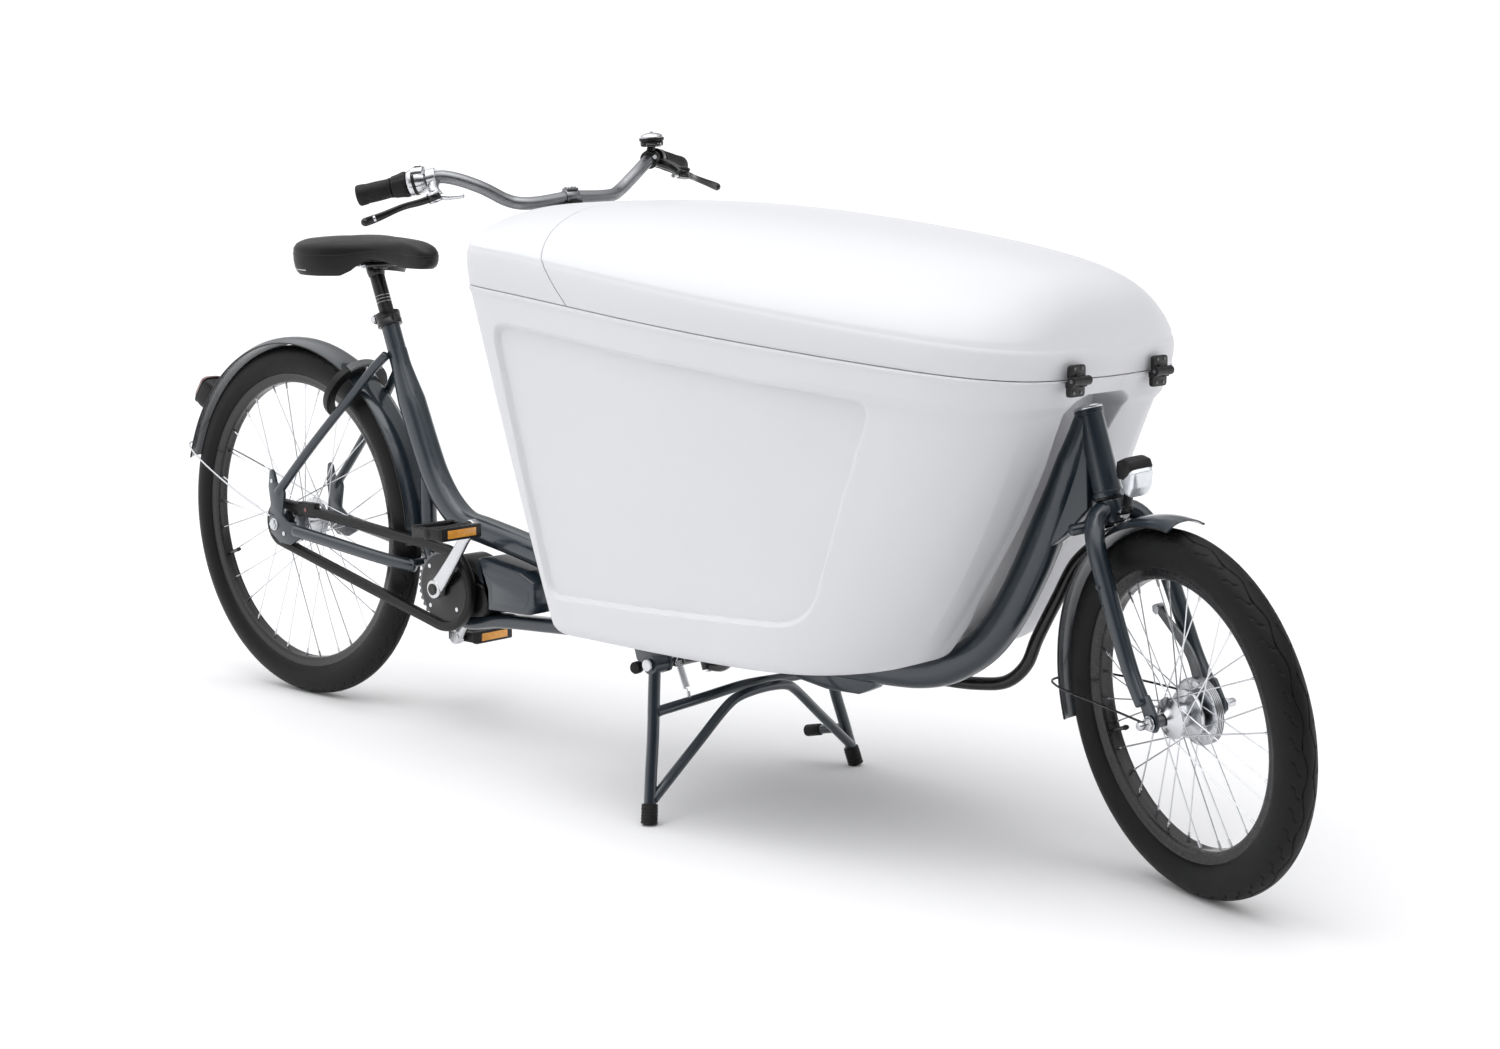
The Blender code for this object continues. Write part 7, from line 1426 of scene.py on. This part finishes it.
bell_at = COLUMN + Vector((-0.0545, 0.1920, 0.0470))
bell_c = COLUMN + Vector((-0.0530, 0.1975, 0.0790))
bl = [(lathe([(0.0060, -0.0105), (0.0175, -0.0105), (0.0190, -0.0095), (0.0196, -0.0070), (0.0196, -0.0035), (0.0188, -0.0022), (0.0206, -0.0012), (0.0214, 0.0008), (0.0214, 0.0030), (0.0206, 0.0042), (0.0150, 0.0044)], 56, bell_c, (0, 0, 1)), "plastic"),
      (lathe([(0.0196, 0.0040), (0.0196, 0.0052), (0.0182, 0.0080), (0.0150, 0.0102), (0.0105, 0.0117), (0.0060, 0.0124), (0.0036, 0.0125), (0.0032, 0.0142), (0.0014, 0.0146)], 56, bell_c, (0, 0, 1)), "silver"),
      (rod(bell_at + Vector((0, 0.001, 0.0110)), bell_c + Vector((0, 0, -0.008)), 0.0068, 24), "plastic"),
      (lathe([(0.0110, -0.006), (0.0150, -0.006), (0.0158, -0.005), (0.0158, 0.005), (0.0150, 0.006), (0.0110, 0.006)], 36, bell_at, Vector((-0.0080, 0.0130, 0.0040))), "plastic"),
      (rod(bell_at + Vector((0.0140, 0.000, 0.004)), bell_at + Vector((0.0175, 0.000, 0.004)), 0.0036, 20), "silver")]
piece("bell_skin", "bars", bl, T_BARS, ("bell",))
bl_pivot = bell_c + Vector((0.0240, 0.000, -0.0080))
piece("bell_lever_skin", "bell_lever", [(lathe([(0.0012, -0.0035), (0.0032, -0.0032), (0.0034, 0.0), (0.0032, 0.0032), (0.0012, 0.0035)], 24, bl_pivot, (0, 0, 1)), "silver"),
      (tube(cr([bl_pivot, bl_pivot + Vector((0.006, -0.011, 0.0)), bl_pivot + Vector((0.002, -0.026, 0.001))], 20), lambda t: (0.0035, 0.0020 + 0.001 * t), 20, dome=0.001), "black_metal")], T_BARS, ("bell_lever",))

# ---------------------------------------------------------------- camera
cp, yaw, pitch, roll = Vector((2.7417, -2.7532 - Y_MID, 0.9959)), 2.3141, -0.1492, -0.0084
d = Vector((math.cos(pitch) * math.cos(yaw), math.cos(pitch) * math.sin(yaw), math.sin(pitch)))
r = d.cross(Vector((0, 0, 1))).normalized()
u = r.cross(d)
r2, u2 = r * math.cos(roll) + u * math.sin(roll), u * math.cos(roll) - r * math.sin(roll)
cam = bpy.data.objects.new("camera", bpy.data.cameras.new("camera"))
bpy.context.scene.collection.objects.link(cam)
cam.data.lens, cam.data.sensor_width, cam.data.sensor_fit = 57.594, 36.0, "HORIZONTAL"
cam.data.clip_start, cam.data.clip_end = 0.05, 60.0
cam.data.dof.use_dof = False
cam.matrix_world = Matrix(((r2.x, u2.x, -d.x, cp.x), (r2.y, u2.y, -d.y, cp.y), (r2.z, u2.z, -d.z, cp.z), (0, 0, 0, 1)))
bpy.context.scene.camera = cam
bpy.context.scene.view_settings.view_transform = "Standard"

# ---------------------------------------------------------------- floor and light
pale = bpy.data.materials.new("pale_floor")
pale.use_nodes = True
pn = pale.node_tree
pb = pn.nodes["Principled BSDF"]
noise = pn.nodes.new("ShaderNodeTexNoise")
noise.inputs["Scale"].default_value = 2.0
pr = pn.nodes.new("ShaderNodeValToRGB")
pr.color_ramp.elements[0].color, pr.color_ramp.elements[1].color = (0.875, 0.875, 0.88, 1), (0.895, 0.895, 0.90, 1)
pn.links.new(noise.outputs["Fac"], pr.inputs["Fac"])
pn.links.new(pr.outputs["Color"], pb.inputs["Base Color"])
pb.inputs["Roughness"].default_value = 0.75
pb.inputs["Specular IOR Level"].default_value = 0.2
fm = bpy.data.meshes.new("floor")
R_FLOOR, n_ang = 7.0, 96
verts = [(0, 0, -0.0006)] + [(R_FLOOR * math.cos(2 * math.pi * k / n_ang), R_FLOOR * math.sin(2 * math.pi * k / n_ang), -0.0006) for k in range(n_ang)]
fm.from_pydata(verts, [], [(0, 1 + k, 1 + (k + 1) % n_ang) for k in range(n_ang)])
fm.materials.append(pale)
floor_obj = bpy.data.objects.new("floor", fm)
bpy.context.scene.collection.objects.link(floor_obj)

world = bpy.data.worlds.new("studio")
bpy.context.scene.world = world
world.use_nodes = True
wn = world.node_tree
bg = wn.nodes["Background"]
wcoord = wn.nodes.new("ShaderNodeTexCoord")
wsep = wn.nodes.new("ShaderNodeSeparateXYZ")
wramp = wn.nodes.new("ShaderNodeValToRGB")
wmap = wn.nodes.new("ShaderNodeMapRange")
wmap.inputs["From Min"].default_value, wmap.inputs["From Max"].default_value = -0.1, 1.0
wn.links.new(wcoord.outputs["Generated"], wsep.inputs["Vector"])
wn.links.new(wsep.outputs["Z"], wmap.inputs["Value"])
wn.links.new(wmap.outputs["Result"], wramp.inputs["Fac"])
# a white horizon, quieter walls and a bright ceiling, like a soft box overhead
stops = [(0.0, 0.53), (0.17, 0.53), (0.25, 0.42), (0.50, 0.40), (0.70, 0.78), (1.0, 0.84)]
while len(wramp.color_ramp.elements) < len(stops):
    wramp.color_ramp.elements.new(0.5)
for element, (at, level) in zip(wramp.color_ramp.elements, stops):
    element.position = at
for element, (at, level) in zip(wramp.color_ramp.elements, stops):
    element.color = (level, level, level * 1.01, 1.0)
# one corner of the studio, at the front right of the bicycle, is left dark, so that the box's nose is modelled by the light
wdot = wn.nodes.new("ShaderNodeVectorMath")
wdot.operation = "DOT_PRODUCT"
wdot.inputs[1].default_value = (0.80, -0.60, 0.0)
wn.links.new(wcoord.outputs["Generated"], wdot.inputs[0])
wdark = wn.nodes.new("ShaderNodeMapRange")
wdark.interpolation_type = "SMOOTHSTEP"
wdark.inputs["From Min"].default_value, wdark.inputs["From Max"].default_value = 0.28, 0.90
wdark.inputs["To Min"].default_value, wdark.inputs["To Max"].default_value = 1.0, 0.02
wn.links.new(wdot.outputs["Value"], wdark.inputs["Value"])
def world_math(operation, a, b):
    node = wn.nodes.new("ShaderNodeMath")
    node.operation = operation
    for slot, value in zip(node.inputs, (a, b)):
        if isinstance(value, (int, float)):
            slot.default_value = value
        else:
            wn.links.new(value, slot)
    return node.outputs["Value"]


def world_step(value, low, high, at_low, at_high):
    node = wn.nodes.new("ShaderNodeMapRange")
    node.interpolation_type = "SMOOTHSTEP"
    for name, number in (("From Min", low), ("From Max", high), ("To Min", at_low), ("To Max", at_high)):
        node.inputs[name].default_value = number
    wn.links.new(value, node.inputs["Value"])
    return node.outputs["Result"]


# the dark corner fades out with height, and the wall behind the bicycle is dim above the horizon
low_only = world_step(wsep.outputs["Z"], 0.30, 0.62, 1.0, 0.0)
corner = world_math("SUBTRACT", 1.0, world_math("MULTIPLY", world_math("SUBTRACT", 1.0, wdark.outputs["Result"]), low_only))
behind = world_math("MULTIPLY", world_step(wsep.outputs["Y"], 0.0, 0.75, 0.0, 0.62), world_step(wsep.outputs["Z"], 0.10, 0.28, 0.0, 1.0))
level_all = world_math("MULTIPLY", corner, world_math("SUBTRACT", 1.0, behind))
wmul = wn.nodes.new("ShaderNodeVectorMath")
wmul.operation = "SCALE"
wn.links.new(wramp.outputs["Color"], wmul.inputs[0])
wn.links.new(level_all, wmul.inputs["Scale"])
wn.links.new(wmul.outputs["Vector"], bg.inputs["Color"])
bg.inputs["Strength"].default_value = 2.2


def area(name, at, target, size, power, colour=(1, 1, 1)):
    data = bpy.data.lights.new(name, "AREA")
    data.shape = "RECTANGLE"
    data.size, data.size_y = size
    data.energy = power
    data.color = colour
    obj = bpy.data.objects.new(name, data)
    bpy.context.scene.collection.objects.link(obj)
    obj.location = at
    obj.rotation_euler = (Vector(target) - Vector(at)).to_track_quat("-Z", "Y").to_euler()
    return obj


area("key", (0.2, -0.9, 4.4), (0.1, 0, 0.3), (3.6, 2.4), 34.0)
